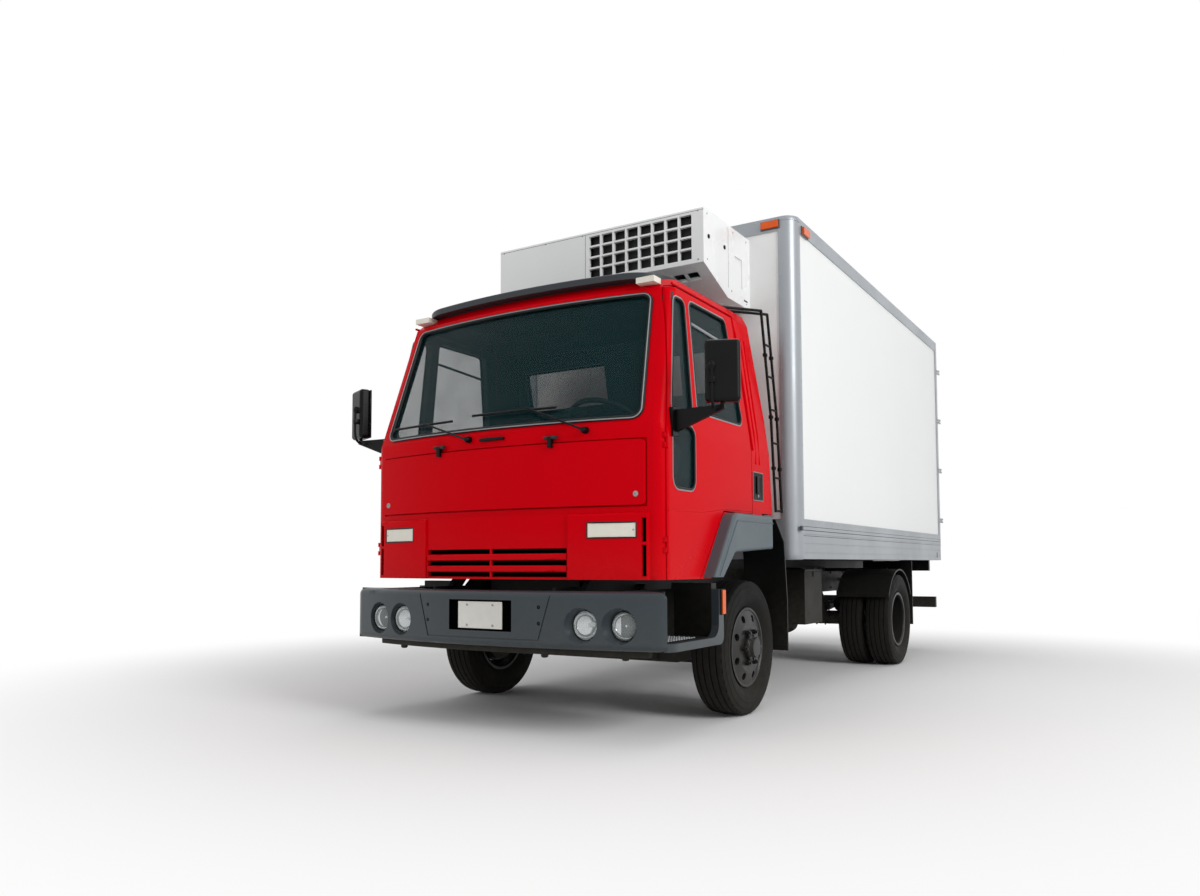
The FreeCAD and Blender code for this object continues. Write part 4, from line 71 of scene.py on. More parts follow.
MM = 0.001
SIDES = (("left", 1), ("right", -1))
FRONT_AXLE_Y = -1.880
REAR_AXLE_Y = 1.420

# Faces of the truck's front on the middle plane, counted from the front axle. All follow one bow in plan.
BOW_RADIUS = 4.000
BUMPER_FACE = -1.290
PANEL_FACE = -1.202
FLAP_FACE = -1.190
SCREEN_FOOT = -1.178

# Outline of the cab as (height, place) corners: front and rear from the front axle, side from the middle.
ROOF_Z = 2.470
CAB_FRONT = ((1.630, SCREEN_FOOT), (2.408, -0.918), (ROOF_Z, -0.850))
CAB_SIDE = ((1.600, 1.010), (2.408, 0.938), (ROOF_Z, 0.912))
CAB_REAR = ((1.250, 0.480), (1.830, 0.410), (ROOF_Z, 0.262))

# Least cosine between a face's normal and a direction for the face to count as looking that way.
FACING = 0.9
# Angle between faces up to which a piece is shaded smooth, unless it asks for another.
SHADE_DEG = 35
# Height in metres at which road dust starts to thin out, and the size of its specks.
DUST_FOOT = 0.15
SPECK_MM = 35


# Shader helpers

def linear(colour: str) -> tuple[float, float, float, float]:
    """Turn an sRGB hex colour into linear red, green, blue and alpha.

    Args:
        colour: Six hex digits.

    Returns:
        The linear colour with full alpha.
    """
    parts = [int(colour[i:i + 2], 16) / 255 for i in (0, 2, 4)]
    values = [c / 12.92 if c <= 0.04045 else ((c + 0.055) / 1.055) ** 2.4 for c in parts]
    return (values[0], values[1], values[2], 1.0)


def add_node(tree: bpy.types.NodeTree, kind: str, inputs: dict | None = None,
             **settings: object) -> bpy.types.Node:
    """Add a shader node with its settings and its inputs.

    Args:
        tree: The material's node tree.
        kind: Blender's node type name.
        inputs: Socket names or numbers, each with a value or another node's output.
        **settings: Attributes of the node.

    Returns:
        The new node.
    """
    node = tree.nodes.new(kind)
    for name, value in settings.items():
        setattr(node, name, value)
    for socket, value in (inputs or {}).items():
        if isinstance(value, bpy.types.NodeSocket):
            tree.links.new(value, node.inputs[socket])
        else:
            node.inputs[socket].default_value = value
    return node


Shading = tuple[bpy.types.Material, bpy.types.NodeTree, bpy.types.Node, bpy.types.Node]


def new_material(name: str) -> Shading:
    """Start a material: its tree, its surface shader and its object coordinates."""
    material = bpy.data.materials.new(name)
    material.use_nodes = True
    tree = material.node_tree
    tree.nodes.clear()
    shader = add_node(tree, "ShaderNodeBsdfPrincipled")
    add_node(tree, "ShaderNodeOutputMaterial", {"Surface": shader.outputs[0]})
    coordinates = add_node(tree, "ShaderNodeTexCoord")
    return material, tree, shader, coordinates


def noise(tree: bpy.types.NodeTree, place: bpy.types.NodeSocket, scale: float, detail: float,
          roughness: float = 0.5) -> bpy.types.NodeSocket:
    """Cloud texture at a place, with scale in clouds to the metre."""
    inputs = {"Vector": place, "Scale": scale, "Detail": detail, "Roughness": roughness}
    return add_node(tree, "ShaderNodeTexNoise", inputs).outputs["Fac"]


def ranged(tree: bpy.types.NodeTree, value: bpy.types.NodeSocket, given: tuple[float, float],
           wanted: tuple[float, float], kind: str = "SMOOTHSTEP") -> bpy.types.NodeSocket:
    """Map a value from the given range into the wanted one."""
    inputs = {"Value": value, "From Min": given[0], "From Max": given[1], "To Min": wanted[0],
              "To Max": wanted[1]}
    return add_node(tree, "ShaderNodeMapRange", inputs, interpolation_type=kind).outputs[0]


def math_node(tree: bpy.types.NodeTree, operation: str, first: bpy.types.NodeSocket,
              second: bpy.types.NodeSocket, clamp: bool = False) -> bpy.types.NodeSocket:
    """Result of a sum, product or maximum of two values."""
    return add_node(tree, "ShaderNodeMath", {0: first, 1: second}, operation=operation,
                    use_clamp=clamp).outputs[0]


def blended(tree: bpy.types.NodeTree, share: bpy.types.NodeSocket, first: object,
            second: object) -> bpy.types.NodeSocket:
    """Colour between two others by a share; each is a colour or a socket."""
    return add_node(tree, "ShaderNodeMix", {0: share, 6: first, 7: second}, data_type="RGBA").outputs[2]


@dataclass(frozen=True)
class Finish:
    """A coated, moulded or bare surface with cloudy tone, fine grain and road dust.

    cloud_mm is the size of the soft patches in tone, grain_mm the size of the surface texture and grain_um
    its height. dust is how much road dust lies on the lowest parts, fading out at dust_top metres.
    """
    name: str
    colour: str
    aged: str
    roughness: float
    metallic: float = 0.0
    spread: float = 0.06
    coat: float = 0.0
    coat_roughness: float = 0.05
    ior: float = 1.5
    specular: float = 0.5
    cloud_mm: float = 400.0
    aged_share: float = 0.35
    grain_mm: float = 3.0
    grain_um: float = 40.0
    stretch: tuple[float, float, float] = (1.0, 1.0, 1.0)
    dust: float = 0.25
    dust_top: float = 1.1
    dust_colour: str = "8d8779"

    def material(self) -> bpy.types.Material:
        """Build the finish as a material."""
        material, tree, shader, coordinates = new_material(self.name)
        place = coordinates.outputs["Object"]
        cloud = noise(tree, place, 1 / (self.cloud_mm * MM), 4.0, 0.6)
        patches = ranged(tree, cloud, (0.30, 0.75), (0.0, self.aged_share))
        tone = blended(tree, patches, linear(self.colour), linear(self.aged))
        height = add_node(tree, "ShaderNodeSeparateXYZ", {0: place}).outputs["Z"]
        low = ranged(tree, height, (DUST_FOOT, self.dust_top), (self.dust, 0.0), "LINEAR")
        speck = noise(tree, place, 1 / (SPECK_MM * MM), 6.0, 0.7)
        dust = math_node(tree, "MULTIPLY", low, speck)
        tree.links.new(blended(tree, dust, tone, linear(self.dust_colour)), shader.inputs["Base Color"])
        gloss = ranged(tree, cloud, (0.25, 0.75), (self.roughness - self.spread,
                                                   self.roughness + self.spread))
        tree.links.new(math_node(tree, "ADD", gloss, dust, clamp=True), shader.inputs["Roughness"])
        stretched = add_node(tree, "ShaderNodeMapping", {"Vector": place, "Scale": self.stretch})
        grain = noise(tree, stretched.outputs[0], 1 / (self.grain_mm * MM), 3.0)
        bump = add_node(tree, "ShaderNodeBump", {"Height": grain, "Strength": 1.0,
                                                 "Distance": self.grain_um * MM * MM})
        tree.links.new(bump.outputs[0], shader.inputs["Normal"])
        plain = {"Metallic": self.metallic, "IOR": self.ior, "Specular IOR Level": self.specular}
        if self.coat > 0:
            plain |= {"Coat Weight": self.coat, "Coat Roughness": self.coat_roughness}
        for socket, value in plain.items():
            shader.inputs[socket].default_value = value
        return material


@dataclass(frozen=True)
class Pane:
    """Glass: a part-clear sheet that shows what is behind it."""
    name: str
    tint: str
    opacity: float
    roughness: float = 0.03
    ior: float = 1.45

    def material(self) -> bpy.types.Material:
        """Build the glass as a material with a part-clear surface and faint streaks of dust."""
        material, tree, shader, coordinates = new_material(self.name)
        streak = noise(tree, coordinates.outputs["Object"], 4.0, 5.0)
        haze = ranged(tree, streak, (0.4, 0.8), (self.opacity, min(self.opacity + 0.06, 1.0)))
        tree.links.new(haze, shader.inputs["Alpha"])
        shader.inputs["Base Color"].default_value = linear(self.tint)
        shader.inputs["Roughness"].default_value = self.roughness
        shader.inputs["IOR"].default_value = self.ior
        return material


class Paint(Enum):
    """The finishes of the truck, each as its material's own values."""
    # Sprayed enamel on steel: a deep flat red with a soft sheen, a little chalked low down where dust clings.
    RED = Finish("glossy_red_enamel", "d00010", "c00010", 0.24, spread=0.03, ior=1.3, specular=0.08,
                 cloud_mm=2500,
                 aged_share=0.2, grain_mm=8, grain_um=3, dust=0.14, dust_top=1.1)
    # Laminate skin over foam: near white, even, with a faint long waviness that softens its reflections.
    WHITE = Finish("white_laminate_panel", "e9ebea", "e2e4e3", 0.34, spread=0.01, coat=0.08, cloud_mm=2600,
                   grain_mm=18, grain_um=14, dust=0.25, dust_top=1.5)
    # Gel-coated moulding: a shade cleaner and shinier than the box sides.
    WHITE_DOOR = Finish("white_painted_moulding", "eceded", "e0e2e2", 0.30, coat=0.3, cloud_mm=800,
                        grain_mm=4,
                        grain_um=6, dust=0.2, dust_top=1.6)
    # Anodised extrusion: satin grey with fine drawn lines along its length, so lamps stretch into bands.
    RAIL = Finish("anodised_aluminium_section", "9ea3a8", "8b9095", 0.36, metallic=0.35, cloud_mm=600,
                  grain_mm=1.2, grain_um=12, stretch=(1, 0.05, 1), dust=0.3, dust_top=1.4)
    # Brushed-on chassis enamel: black turned grey-brown by road film, darkest high up under the box.
    CHASSIS = Finish("black_chassis_enamel", "070808", "0f0f0e", 0.45, specular=0.15, cloud_mm=250,
                     grain_mm=4, grain_um=60,
                     dust=0.3, dust_top=1.0)
    # Painted iron casting: sandy skin that breaks highlights into specks, with old brown dirt.
    CASTING = Finish("painted_iron_casting", "141516", "2a2621", 0.62, specular=0.3, cloud_mm=120,
                     grain_mm=2.5,
                     grain_um=150, dust=0.4, dust_top=0.9)
    # Galvanised steel: dull silver in small cloudy spangles, for bolts, locks and straps.
    STEEL = Finish("dull_galvanised_steel", "9a9c9b", "7d7f7e", 0.45, metallic=0.8, cloud_mm=60, grain_mm=1.5,
                   grain_um=20, dust=0.3, dust_top=1.2)
    # Moulded bumper skin: dark slate through and through, satin, with a pale edge of light on its top roll.
    SLATE = Finish("slate_grey_moulding", "2b353b", "232c32", 0.36, coat=0.3, specular=0.25, cloud_mm=500,
                   grain_mm=1.6,
                   grain_um=20, dust=0.2, dust_top=0.8)
    # Wheel arch moulding: the bumper's plastic weathered lighter and flatter.
    GREY = Finish("mid_grey_moulding", "4e5a60", "444f55", 0.42, specular=0.4, cloud_mm=500, grain_mm=1.6,
                  grain_um=30,
                  dust=0.2, dust_top=0.9)
    # Grained black plastic: fine leathery texture that keeps its highlights wide and weak.
    BLACK = Finish("black_grained_plastic", "060708", "0e0f10", 0.36, specular=0.15, cloud_mm=200,
                   grain_mm=1.2, grain_um=40,
                   dust=0.15, dust_top=1.0)
    # Weather strip: matt black rubber, the dark line round every pane.
    RUBBER = Finish("black_weather_strip", "0a0b0b", "121313", 0.5, specular=0.3, cloud_mm=150, grain_mm=0.8,
                    grain_um=20,
                    dust=0.08, dust_top=1.5)
    # Painted shade: dead black that stands in for the shade inside the grille slots and side vents, so they
    # read as deep dark lines.
    SHADE = Finish("painted_shade_black", "030303", "060606", 0.9, specular=0.0, cloud_mm=150, grain_mm=2,
                   grain_um=40, dust=0.0)
    # Tyre rubber: near black with grey wear on the treads and a dry, chalky feel.
    TYRE = Finish("tyre_rubber", "070707", "10100f", 0.7, specular=0.15, cloud_mm=90, grain_mm=1.0,
                  grain_um=60, dust=0.1,
                  dust_top=0.8)
    # Wheel enamel: black with a soft gleam on its raised rings, and a little dust on its lowest parts.
    RIM = Finish("black_wheel_enamel", "0d0e0f", "171717", 0.34, specular=0.35, cloud_mm=120, grain_mm=3,
                 grain_um=30, dust=0.1,
                 dust_top=0.8)
    # Clear ribbed lens over a white shell: warm off-white with upright prisms that catch the light.
    CREAM = Finish("cream_lamp_lens", "e6e3d6", "d8d3c2", 0.16, coat=0.5, cloud_mm=40, grain_mm=5,
                   grain_um=150,
                   stretch=(1, 1, 0.02), dust=0.0)
    # Orange lens: saturated, glossy, with its prisms running across.
    ORANGE = Finish("orange_lamp_lens", "e25a06", "d04a04", 0.2, coat=0.3, specular=0.2, cloud_mm=30,
                    grain_mm=4, grain_um=150,
                    stretch=(1, 0.05, 1), dust=0.0)
    # Red lens: dark and glassy, so it reads apart from the painted red of the cab.
    REAR_RED = Finish("red_lamp_lens", "a40d16", "860a11", 0.18, coat=0.5, cloud_mm=30, grain_mm=4,
                      grain_um=150,
                      stretch=(1, 0.05, 1), dust=0.1)
    # Woven cloth: soft charcoal with a visible weave and no shine.
    CLOTH = Finish("woven_seat_cloth", "2f3338", "3d434a", 0.92, cloud_mm=30, grain_mm=2.2, grain_um=350,
                   dust=0.0)
    # Padded dashboard skin: dark, soft, faintly leathery, so that it stays quiet behind the glass.
    DASH = Finish("soft_dark_dashboard", "1d1f22", "26282b", 0.7, cloud_mm=90, grain_mm=1.5, grain_um=80,
                  dust=0.0)
    # Moulded lining board: dark inside of the cab, which lets the bright rear windows stand out. On the
    # undersides of the door heads it is painted shade in the gap above each door.
    LINING_AND_GAP_SHADE = Finish("dark_cab_lining_and_gap_shade", "1d2023", "26292c", 0.75, cloud_mm=200, grain_mm=2, grain_um=60,
                    dust=0.1,
                    dust_top=1.2)
    # Roof board paint: charcoal and flat, a dark cap over the red cab.
    BOARD = Finish("charcoal_painted_board", "33373b", "2a2d30", 0.45, specular=0.3, cloud_mm=500, grain_mm=2,
                   grain_um=30,
                   dust=0.0)
    # Old valve casting: brown and dull, the one warm spot among the black chassis parts.
    BRASS = Finish("brown_valve_casting", "6b4a38", "573c2f", 0.5, metallic=0.3, cloud_mm=30, grain_mm=1.5,
                   grain_um=60, dust=0.2, dust_top=1.0)
    # Satin trim: a pale grey line that draws each window's frame against the red.
    TRIM = Finish("pale_grey_trim_strip", "8f9395", "7f8385", 0.36, metallic=0.3, cloud_mm=200, grain_mm=2,
                  grain_um=10, dust=0.1)
    # Chromed reflector: mirror-bright bowl that gives the headlamps their depth.
    CHROME = Finish("vacuum_chromed_bowl", "d9dcdd", "c8cccd", 0.12, metallic=1.0, spread=0.03, cloud_mm=30,
                    grain_mm=8, grain_um=20, dust=0.0)
    # Pressed plate: blank, white and slightly glossy, with a little road film.
    PLATE = Finish("white_pressed_plate", "dedcd6", "cfccc3", 0.4, coat=0.2, cloud_mm=60, grain_mm=2,
                   grain_um=15,
                   dust=0.12)
    # Safety glass: dark teal sheet that still lets the rear windows and the seats show.
    GLASS = Pane("tinted_safety_glass", "043034", 0.30, ior=1.3)
    # Headlamp glass: nearly clear, with a pale skin over the bright bowl.
    LENS = Pane("headlamp_glass", "cfd8d8", 0.30, 0.05)


class PaintShop:
    """Makes each finish once and puts it on pieces and nodes."""

    def __init__(self) -> None:
        """Start with no material made."""
        self.made: dict[Paint, bpy.types.Material] = {}

    def get(self, paint: Paint) -> bpy.types.Material:
        """Give the material of a finish, made at its first use."""
        if paint not in self.made:
            self.made[paint] = paint.value.material()
        return self.made[paint]

    def coat(self, piece: bpy.types.Object, *paints: Paint) -> None:
        """Put one or more finishes on a piece, as its material slots in order."""
        piece.data.materials.clear()
        for paint in paints:
            piece.data.materials.append(self.get(paint))


NODE_PAINT: dict[str, Paint] = {
    "chassis_frame": Paint.CHASSIS, "front_axle": Paint.CASTING, "rear_axle": Paint.CASTING,
    "engine": Paint.CASTING, "exhaust": Paint.CASTING, "tanks": Paint.CHASSIS, "front_bumper": Paint.SLATE,
    "headlamps": Paint.LENS, "entry_steps": Paint.BLACK, "step_sills": Paint.SLATE,
                                "marker_lamps": Paint.ORANGE,
    "mudguards": Paint.BLACK, "box_subframe": Paint.CHASSIS, "box_shell": Paint.WHITE,
                                "box_rails": Paint.RAIL,
    "fridge_housing": Paint.WHITE_DOOR, "fridge_coil": Paint.RUBBER, "rear_lamps": Paint.BLACK,
    "cab_shell": Paint.RED, "cab_glass": Paint.GLASS, "roof_board": Paint.BOARD, "front_panel": Paint.RED,
    "turn_lamps": Paint.CREAM, "arch_flares": Paint.GREY, "dashboard": Paint.DASH, "seats": Paint.CLOTH,
    "wipers": Paint.BLACK, "access_ladder": Paint.CHASSIS, "front_flap": Paint.RED,
    "cab_door_left": Paint.RED, "cab_door_right": Paint.RED, "door_glass_left": Paint.GLASS,
    "door_glass_right": Paint.GLASS, "mirror_left": Paint.BLACK, "mirror_right": Paint.BLACK,
    "rear_door_left": Paint.WHITE_DOOR, "rear_door_right": Paint.WHITE_DOOR, "rear_lock_left": Paint.STEEL,
    "rear_lock_right": Paint.STEEL, "knuckle_left": Paint.CASTING, "knuckle_right": Paint.CASTING,
    "track_rod": Paint.CASTING, "front_tyre_left": Paint.TYRE, "front_tyre_right": Paint.TYRE,
    "front_rim_left": Paint.RIM, "front_rim_right": Paint.RIM, "rear_tyres_left": Paint.TYRE,
    "rear_tyres_right": Paint.TYRE, "rear_rims_left": Paint.RIM, "rear_rims_right": Paint.RIM,
}


# Modelling helpers

@contextmanager
def editing(piece: bpy.types.Object, mode: str = "FACE") -> Iterator[bmesh.types.BMesh]:
    """Open a piece in edit mode with nothing selected, and close it again.

    Args:
        piece: The mesh object.
        mode: VERT, EDGE or FACE selection.

    Yields:
        The mesh being edited.
    """
    pick_only(piece)
    bpy.ops.object.mode_set(mode="EDIT")
    bpy.ops.mesh.select_mode(type=mode)
    bpy.ops.mesh.select_all(action="DESELECT")
    try:
        yield bmesh.from_edit_mesh(piece.data)
    finally:
        bpy.ops.object.mode_set(mode="OBJECT")


def pick_only(*pieces: bpy.types.Object) -> None:
    """Select these objects alone and make the first one active."""
    bpy.ops.object.select_all(action="DESELECT")
    for piece in pieces:
        piece.select_set(True)
    bpy.context.view_layer.objects.active = pieces[0]


def settle(piece: bpy.types.Object) -> bpy.types.Object:
    """Put a piece's place, turn and size into its mesh, so that its object sits at the origin."""
    pick_only(piece)
    bpy.ops.object.transform_apply(location=True, rotation=True, scale=True)
    return piece


def select_faces(mesh: bmesh.types.BMesh, test: Callable[[bmesh.types.BMFace], bool]) -> None:
    """Select the faces that pass a test."""
    mesh.faces.ensure_lookup_table()
    for face in mesh.faces:
        face.select_set(test(face))


def inset_face(piece: bpy.types.Object, out: Sequence[float], *insets: tuple[float, float],
               push: Sequence[float] | None = None) -> bpy.types.Object:
    """Inset the faces that look along a direction.

    Args:
        piece: The mesh object.
        out: The direction, of length one.
        *insets: Width and depth of each inset, in order.
        push: How far the inset faces then move, with walls drawn along.

    Returns:
        The piece.
    """
    way = Vector(out)
    with editing(piece) as mesh:
        select_faces(mesh, lambda face: face.normal.dot(way) > FACING)
        for thickness, depth in insets:
            bpy.ops.mesh.inset(thickness=thickness, depth=depth)
        if push:
            bpy.ops.mesh.extrude_region_move(TRANSFORM_OT_translate={"value": push})
    return piece


def start_line(name: str, place: Sequence[float]) -> bpy.types.Object:
    """Add a primitive and keep one corner of it, as the start of a drawn line."""
    bpy.ops.object.select_all(action="DESELECT")
    bpy.ops.mesh.primitive_plane_add(size=0.01, location=place)
    piece = bpy.context.active_object
    piece.name = name
    with editing(piece, "VERT") as mesh:
        mesh.verts.ensure_lookup_table()
        corner = mesh.verts[0]
        for vertex in mesh.verts:
            vertex.select_set(vertex is not corner)
        bpy.ops.mesh.delete(type="VERT")
    settle(piece)
    with editing(piece, "VERT") as mesh:
        bpy.ops.mesh.select_all(action="SELECT")
        mesh.verts.ensure_lookup_table()
        offset = Vector(place) - mesh.verts[0].co
        bpy.ops.transform.translate(value=offset)
    return piece


def draw_line(name: str, points: Sequence[Sequence[float]], closed: bool = False) -> bpy.types.Object:
    """Draw a line by extruding its first point along the others.

    Args:
        name: The piece's name.
        points: Places in metres.
        closed: Whether the last point joins the first.
    """
    piece = start_line(name, points[0])
    with editing(piece, "VERT") as mesh:
        bpy.ops.mesh.select_all(action="SELECT")
        for here, there in zip(points, points[1:]):
            step = Vector(there) - Vector(here)
            bpy.ops.mesh.extrude_vertices_move(TRANSFORM_OT_translate={"value": step})
        if closed:
            mesh = bmesh.from_edit_mesh(piece.data)
            mesh.verts.ensure_lookup_table()
            bpy.ops.mesh.select_all(action="DESELECT")
            mesh.verts[0].select_set(True)
            mesh.verts[len(mesh.verts) - 1].select_set(True)
            bpy.ops.mesh.edge_face_add()
    return piece


def plate(name: str, outline: Sequence[Sequence[float]], depth: Sequence[float]) -> bpy.types.Object:
    """Make a closed solid from an outline drawn as points and pulled along depth."""
    piece = draw_line(name, outline)
    with editing(piece, "VERT"):
        bpy.ops.mesh.select_all(action="SELECT")
        bpy.ops.mesh.edge_face_add()
    with editing(piece, "FACE"):
        bpy.ops.mesh.select_all(action="SELECT")
        bpy.ops.mesh.extrude_region_move(TRANSFORM_OT_translate={"value": Vector(depth)})
        bpy.ops.mesh.select_all(action="SELECT")
        bpy.ops.mesh.normals_make_consistent(inside=False)
    return piece


def turned(name: str, profile: Sequence[tuple[float, float]], centre: Sequence[float], axis: str = "X",
           steps: int = 48, closed: bool = False) -> bpy.types.Object:
    """Turn a profile of (along, radius) points round an axis through a centre.

    Args:
        name: The piece's name.
        profile: Points along the axis and out from it, in metres.
        centre: A point on the axis.
        axis: X, Y or Z.
        steps: Sides of the round.
        closed: Whether the profile is a closed outline.
    """
    middle = Vector(centre)
    along = {"X": Vector((1, 0, 0)), "Y": Vector((0, 1, 0)), "Z": Vector((0, 0, 1))}[axis]
    out = Vector((1, 0, 0)) if axis == "Z" else Vector((0, 0, 1))
    points = [middle + along * a + out * r for a, r in profile]
    piece = draw_line(name, points, closed)
    with editing(piece, "VERT"):
        bpy.ops.mesh.select_all(action="SELECT")
        bpy.ops.mesh.spin(steps=steps, angle=math.tau, center=middle, axis=along)
        bpy.ops.mesh.select_all(action="SELECT")
        bpy.ops.mesh.remove_doubles(threshold=0.00005)
        bpy.ops.mesh.normals_make_consistent(inside=False)
    return piece


def block(name: str, low: Sequence[float], high: Sequence[float]) -> bpy.types.Object:
    """Add a block between two corners, as the start of a piece."""
    bpy.ops.object.select_all(action="DESELECT")
    middle = [(a + b) / 2 for a, b in zip(low, high)]
    bpy.ops.mesh.primitive_cube_add(size=1.0, location=middle)
    piece = bpy.context.active_object
    piece.name = name
    piece.scale = [b - a for a, b in zip(low, high)]
    return settle(piece)


def smooth(piece: bpy.types.Object, angle_deg: float = SHADE_DEG) -> bpy.types.Object:
    """Shade a piece smooth up to an angle between faces."""
    pick_only(piece)
    bpy.ops.object.shade_smooth_by_angle(angle=math.radians(angle_deg))
    return piece


def round_edges(piece: bpy.types.Object, width: float, segments: int = 2,
                angle_deg: float = 40.0) -> bpy.types.Object:
    """Round a piece's sharp edges with an applied bevel, and shade it smooth by angle."""
    pick_only(piece)
    bevel = piece.modifiers.new("edge_round", "BEVEL")
    bevel.width = width
    bevel.segments = segments
    bevel.limit_method = "ANGLE"
    bevel.angle_limit = math.radians(angle_deg)
    bpy.ops.object.modifier_apply(modifier=bevel.name)
    return smooth(piece)


def copied(piece: bpy.types.Object, change: Matrix, name: str | None = None) -> bpy.types.Object:
    """Copy a piece with a mesh of its own, moved or turned by a matrix."""
    twin = piece.copy()
    twin.data = piece.data.copy()
    if name:
        twin.name = name
    bpy.context.scene.collection.objects.link(twin)
    twin.data.transform(change)
    return twin


def mirrored(piece: bpy.types.Object, name: str) -> bpy.types.Object:
    """Copy a piece to the other side of the truck, with its faces turned outwards again."""
    twin = copied(piece, Matrix.Diagonal((-1, 1, 1, 1)), name)
    twin.data.flip_normals()
    return twin


def on_its_side(piece: bpy.types.Object, side: int) -> bpy.types.Object:
    """Keep a left-hand piece, or swap it for its mirror image when the side is the right one."""
    if side > 0:
        return piece
    twin = mirrored(piece, piece.name)
    bpy.data.objects.remove(piece, do_unlink=True)
    return twin


def ringed(piece: bpy.types.Object, middle: Vector, count: int) -> list[bpy.types.Object]:
    """A piece's copies round a sideways axis through a middle, with the piece itself last."""
    there = Matrix.Translation(middle)
    back = there.inverted()
    turns = [Matrix.Rotation(math.tau * index / count, 4, "X") for index in range(1, count)]
    return [copied(piece, there @ turn @ back) for turn in turns] + [piece]


def joined(name: str, pieces: Sequence[bpy.types.Object]) -> bpy.types.Object:
    """Join several pieces into one object."""
    pick_only(*pieces)
    if len(pieces) > 1:
        bpy.ops.object.join()
    whole = bpy.context.active_object
    whole.name = name
    return whole


def smooth_line(points: Sequence[Sequence[float]], steps: int = 6) -> list[Vector]:
    """Points of a smooth line that passes through all the given places."""
    places = [Vector(point) for point in points]
    padded = [places[0] * 2 - places[1], *places, places[-1] * 2 - places[-2]]
    line = []
    for a, b, c, d in zip(padded, padded[1:], padded[2:], padded[3:]):
        for step in range(steps):
            t = step / steps
            line.append(0.5 * (2 * b + (c - a) * t + (2 * a - 5 * b + 4 * c - d) * t ** 2
                               + (3 * b - a - 3 * c + d) * t ** 3))
    return [*line, places[-1]]


def tube(name: str, points: Sequence[Sequence[float]], radius: float, smooth: bool = False,
         sides: int = 10, closed: bool = False) -> bpy.types.Object:
    """Make a round tube: a drawn line turned into a curve, given a round section and made a mesh again.

    Args:
        name: The piece's name.
        points: Places in metres.
        radius: Radius of the tube.
        smooth: Whether the line runs in a smooth curve through the places.
        sides: Sides of the round section.
        closed: Whether the tube is a ring; else its ends are capped.
    """
    piece = draw_line(name, smooth_line(points) if smooth else points, closed)
    pick_only(piece)
    bpy.ops.object.convert(target="CURVE")
    piece.data.bevel_depth = radius
    piece.data.bevel_resolution = max(1, sides // 4)
    piece.data.use_fill_caps = not closed
    bpy.ops.object.convert(target="MESH")
    bpy.ops.object.shade_smooth_by_angle(angle=math.radians(50))
    return piece


def band(name: str, inner: Sequence[Sequence[float]], outer: Sequence[Sequence[float]],
         thickness: float) -> bpy.types.Object:
    """Make a flat ring between two closed lines and give it a thickness with softened edges."""
    piece = joined(name, [draw_line(name, inner, True), draw_line(name, outer, True)])
    with editing(piece, "EDGE"):
        bpy.ops.mesh.select_all(action="SELECT")
        bpy.ops.mesh.bridge_edge_loops()
        bpy.ops.mesh.select_all(action="SELECT")
        bpy.ops.mesh.normals_make_consistent(inside=False)
    pick_only(piece)
    solid = piece.modifiers.new("thick", "SOLIDIFY")
    solid.thickness = thickness
    solid.offset = 0.0
    bpy.ops.object.modifier_apply(modifier=solid.name)
    with editing(piece, "FACE"):
        bpy.ops.mesh.select_all(action="SELECT")
        bpy.ops.mesh.normals_make_consistent(inside=False)
    return round_edges(piece, thickness * 0.3, 2, 50)


def bow_y(x: float, front: float) -> float:
    """Place along the truck of the bowed front at x, for a line at front on the middle plane."""
    return front + BOW_RADIUS - math.sqrt(BOW_RADIUS ** 2 - x ** 2)


def bowed_slab(name: str, x0: float, x1: float, front: float, depth: float, low: float, high: float,
               steps: int = 16) -> bpy.types.Object:
    """Make a slab that follows the bowed front, given in metres from the front axle."""
    xs = [x0 + (x1 - x0) * i / steps for i in range(steps + 1)]
    near = [(x, FRONT_AXLE_Y + bow_y(x, front), low) for x in xs]
    far = [(x, y + depth, z) for x, y, z in reversed(near)]
    return plate(name, near + far, (0, 0, high - low))


def profile_at(corners: Sequence[tuple[float, float]], z: float) -> float:
    """Place at height z on a line of (height, place) corners.

    Below the first corner the line is upright, and above the last one its last run goes on.
    """
    if z <= corners[0][0]:
        return corners[0][1]
    for (z0, place0), (z1, place1) in zip(corners, corners[1:]):
        if z <= z1:
            break
    return place0 + (z - z0) * (place1 - place0) / (z1 - z0)


def dome(name: str, place: Sequence[float], axis: str, side: int, radius: float, height: float,
         sides: int = 10) -> bpy.types.Object:
    """Low round head that stands out along an axis, for rivets, bolts and grip studs."""
    profile = [(-side * 0.001, radius), (side * height * 0.35, radius), (side * height * 0.8, radius * 0.7),
               (side * height, 0.0)]
    return smooth(turned(name, profile, place, axis, sides), 60)


def row(piece: bpy.types.Object, count: int, offset: Sequence[float]) -> bpy.types.Object:
    """Repeat a piece in a straight row and keep the row as one piece."""
    pick_only(piece)
    array = piece.modifiers.new("row", "ARRAY")
    array.count = count
    array.use_relative_offset = False
    array.use_constant_offset = True
    array.constant_offset_displace = offset
    bpy.ops.object.modifier_apply(modifier=array.name)
    return piece


def frame_ring(name: str, low: Sequence[float], high: Sequence[float], width: float,
               out: str) -> bpy.types.Object:
    """Flat rectangular ring between two corners, open along the axis out."""
    piece = block(name, low, high)
    axis = "XYZ".index(out)
    with editing(piece, "FACE") as mesh:
        select_faces(mesh, lambda face: abs(face.normal[axis]) > FACING)
        bpy.ops.mesh.inset(thickness=width)
        bpy.ops.mesh.delete(type="FACE")
    with editing(piece, "EDGE") as mesh:
        for edge in mesh.edges:
            edge.select_set(edge.is_boundary)
        bpy.ops.mesh.bridge_edge_loops()
        bpy.ops.mesh.select_all(action="SELECT")
        bpy.ops.mesh.normals_make_consistent(inside=False)
    return piece


# Fitting

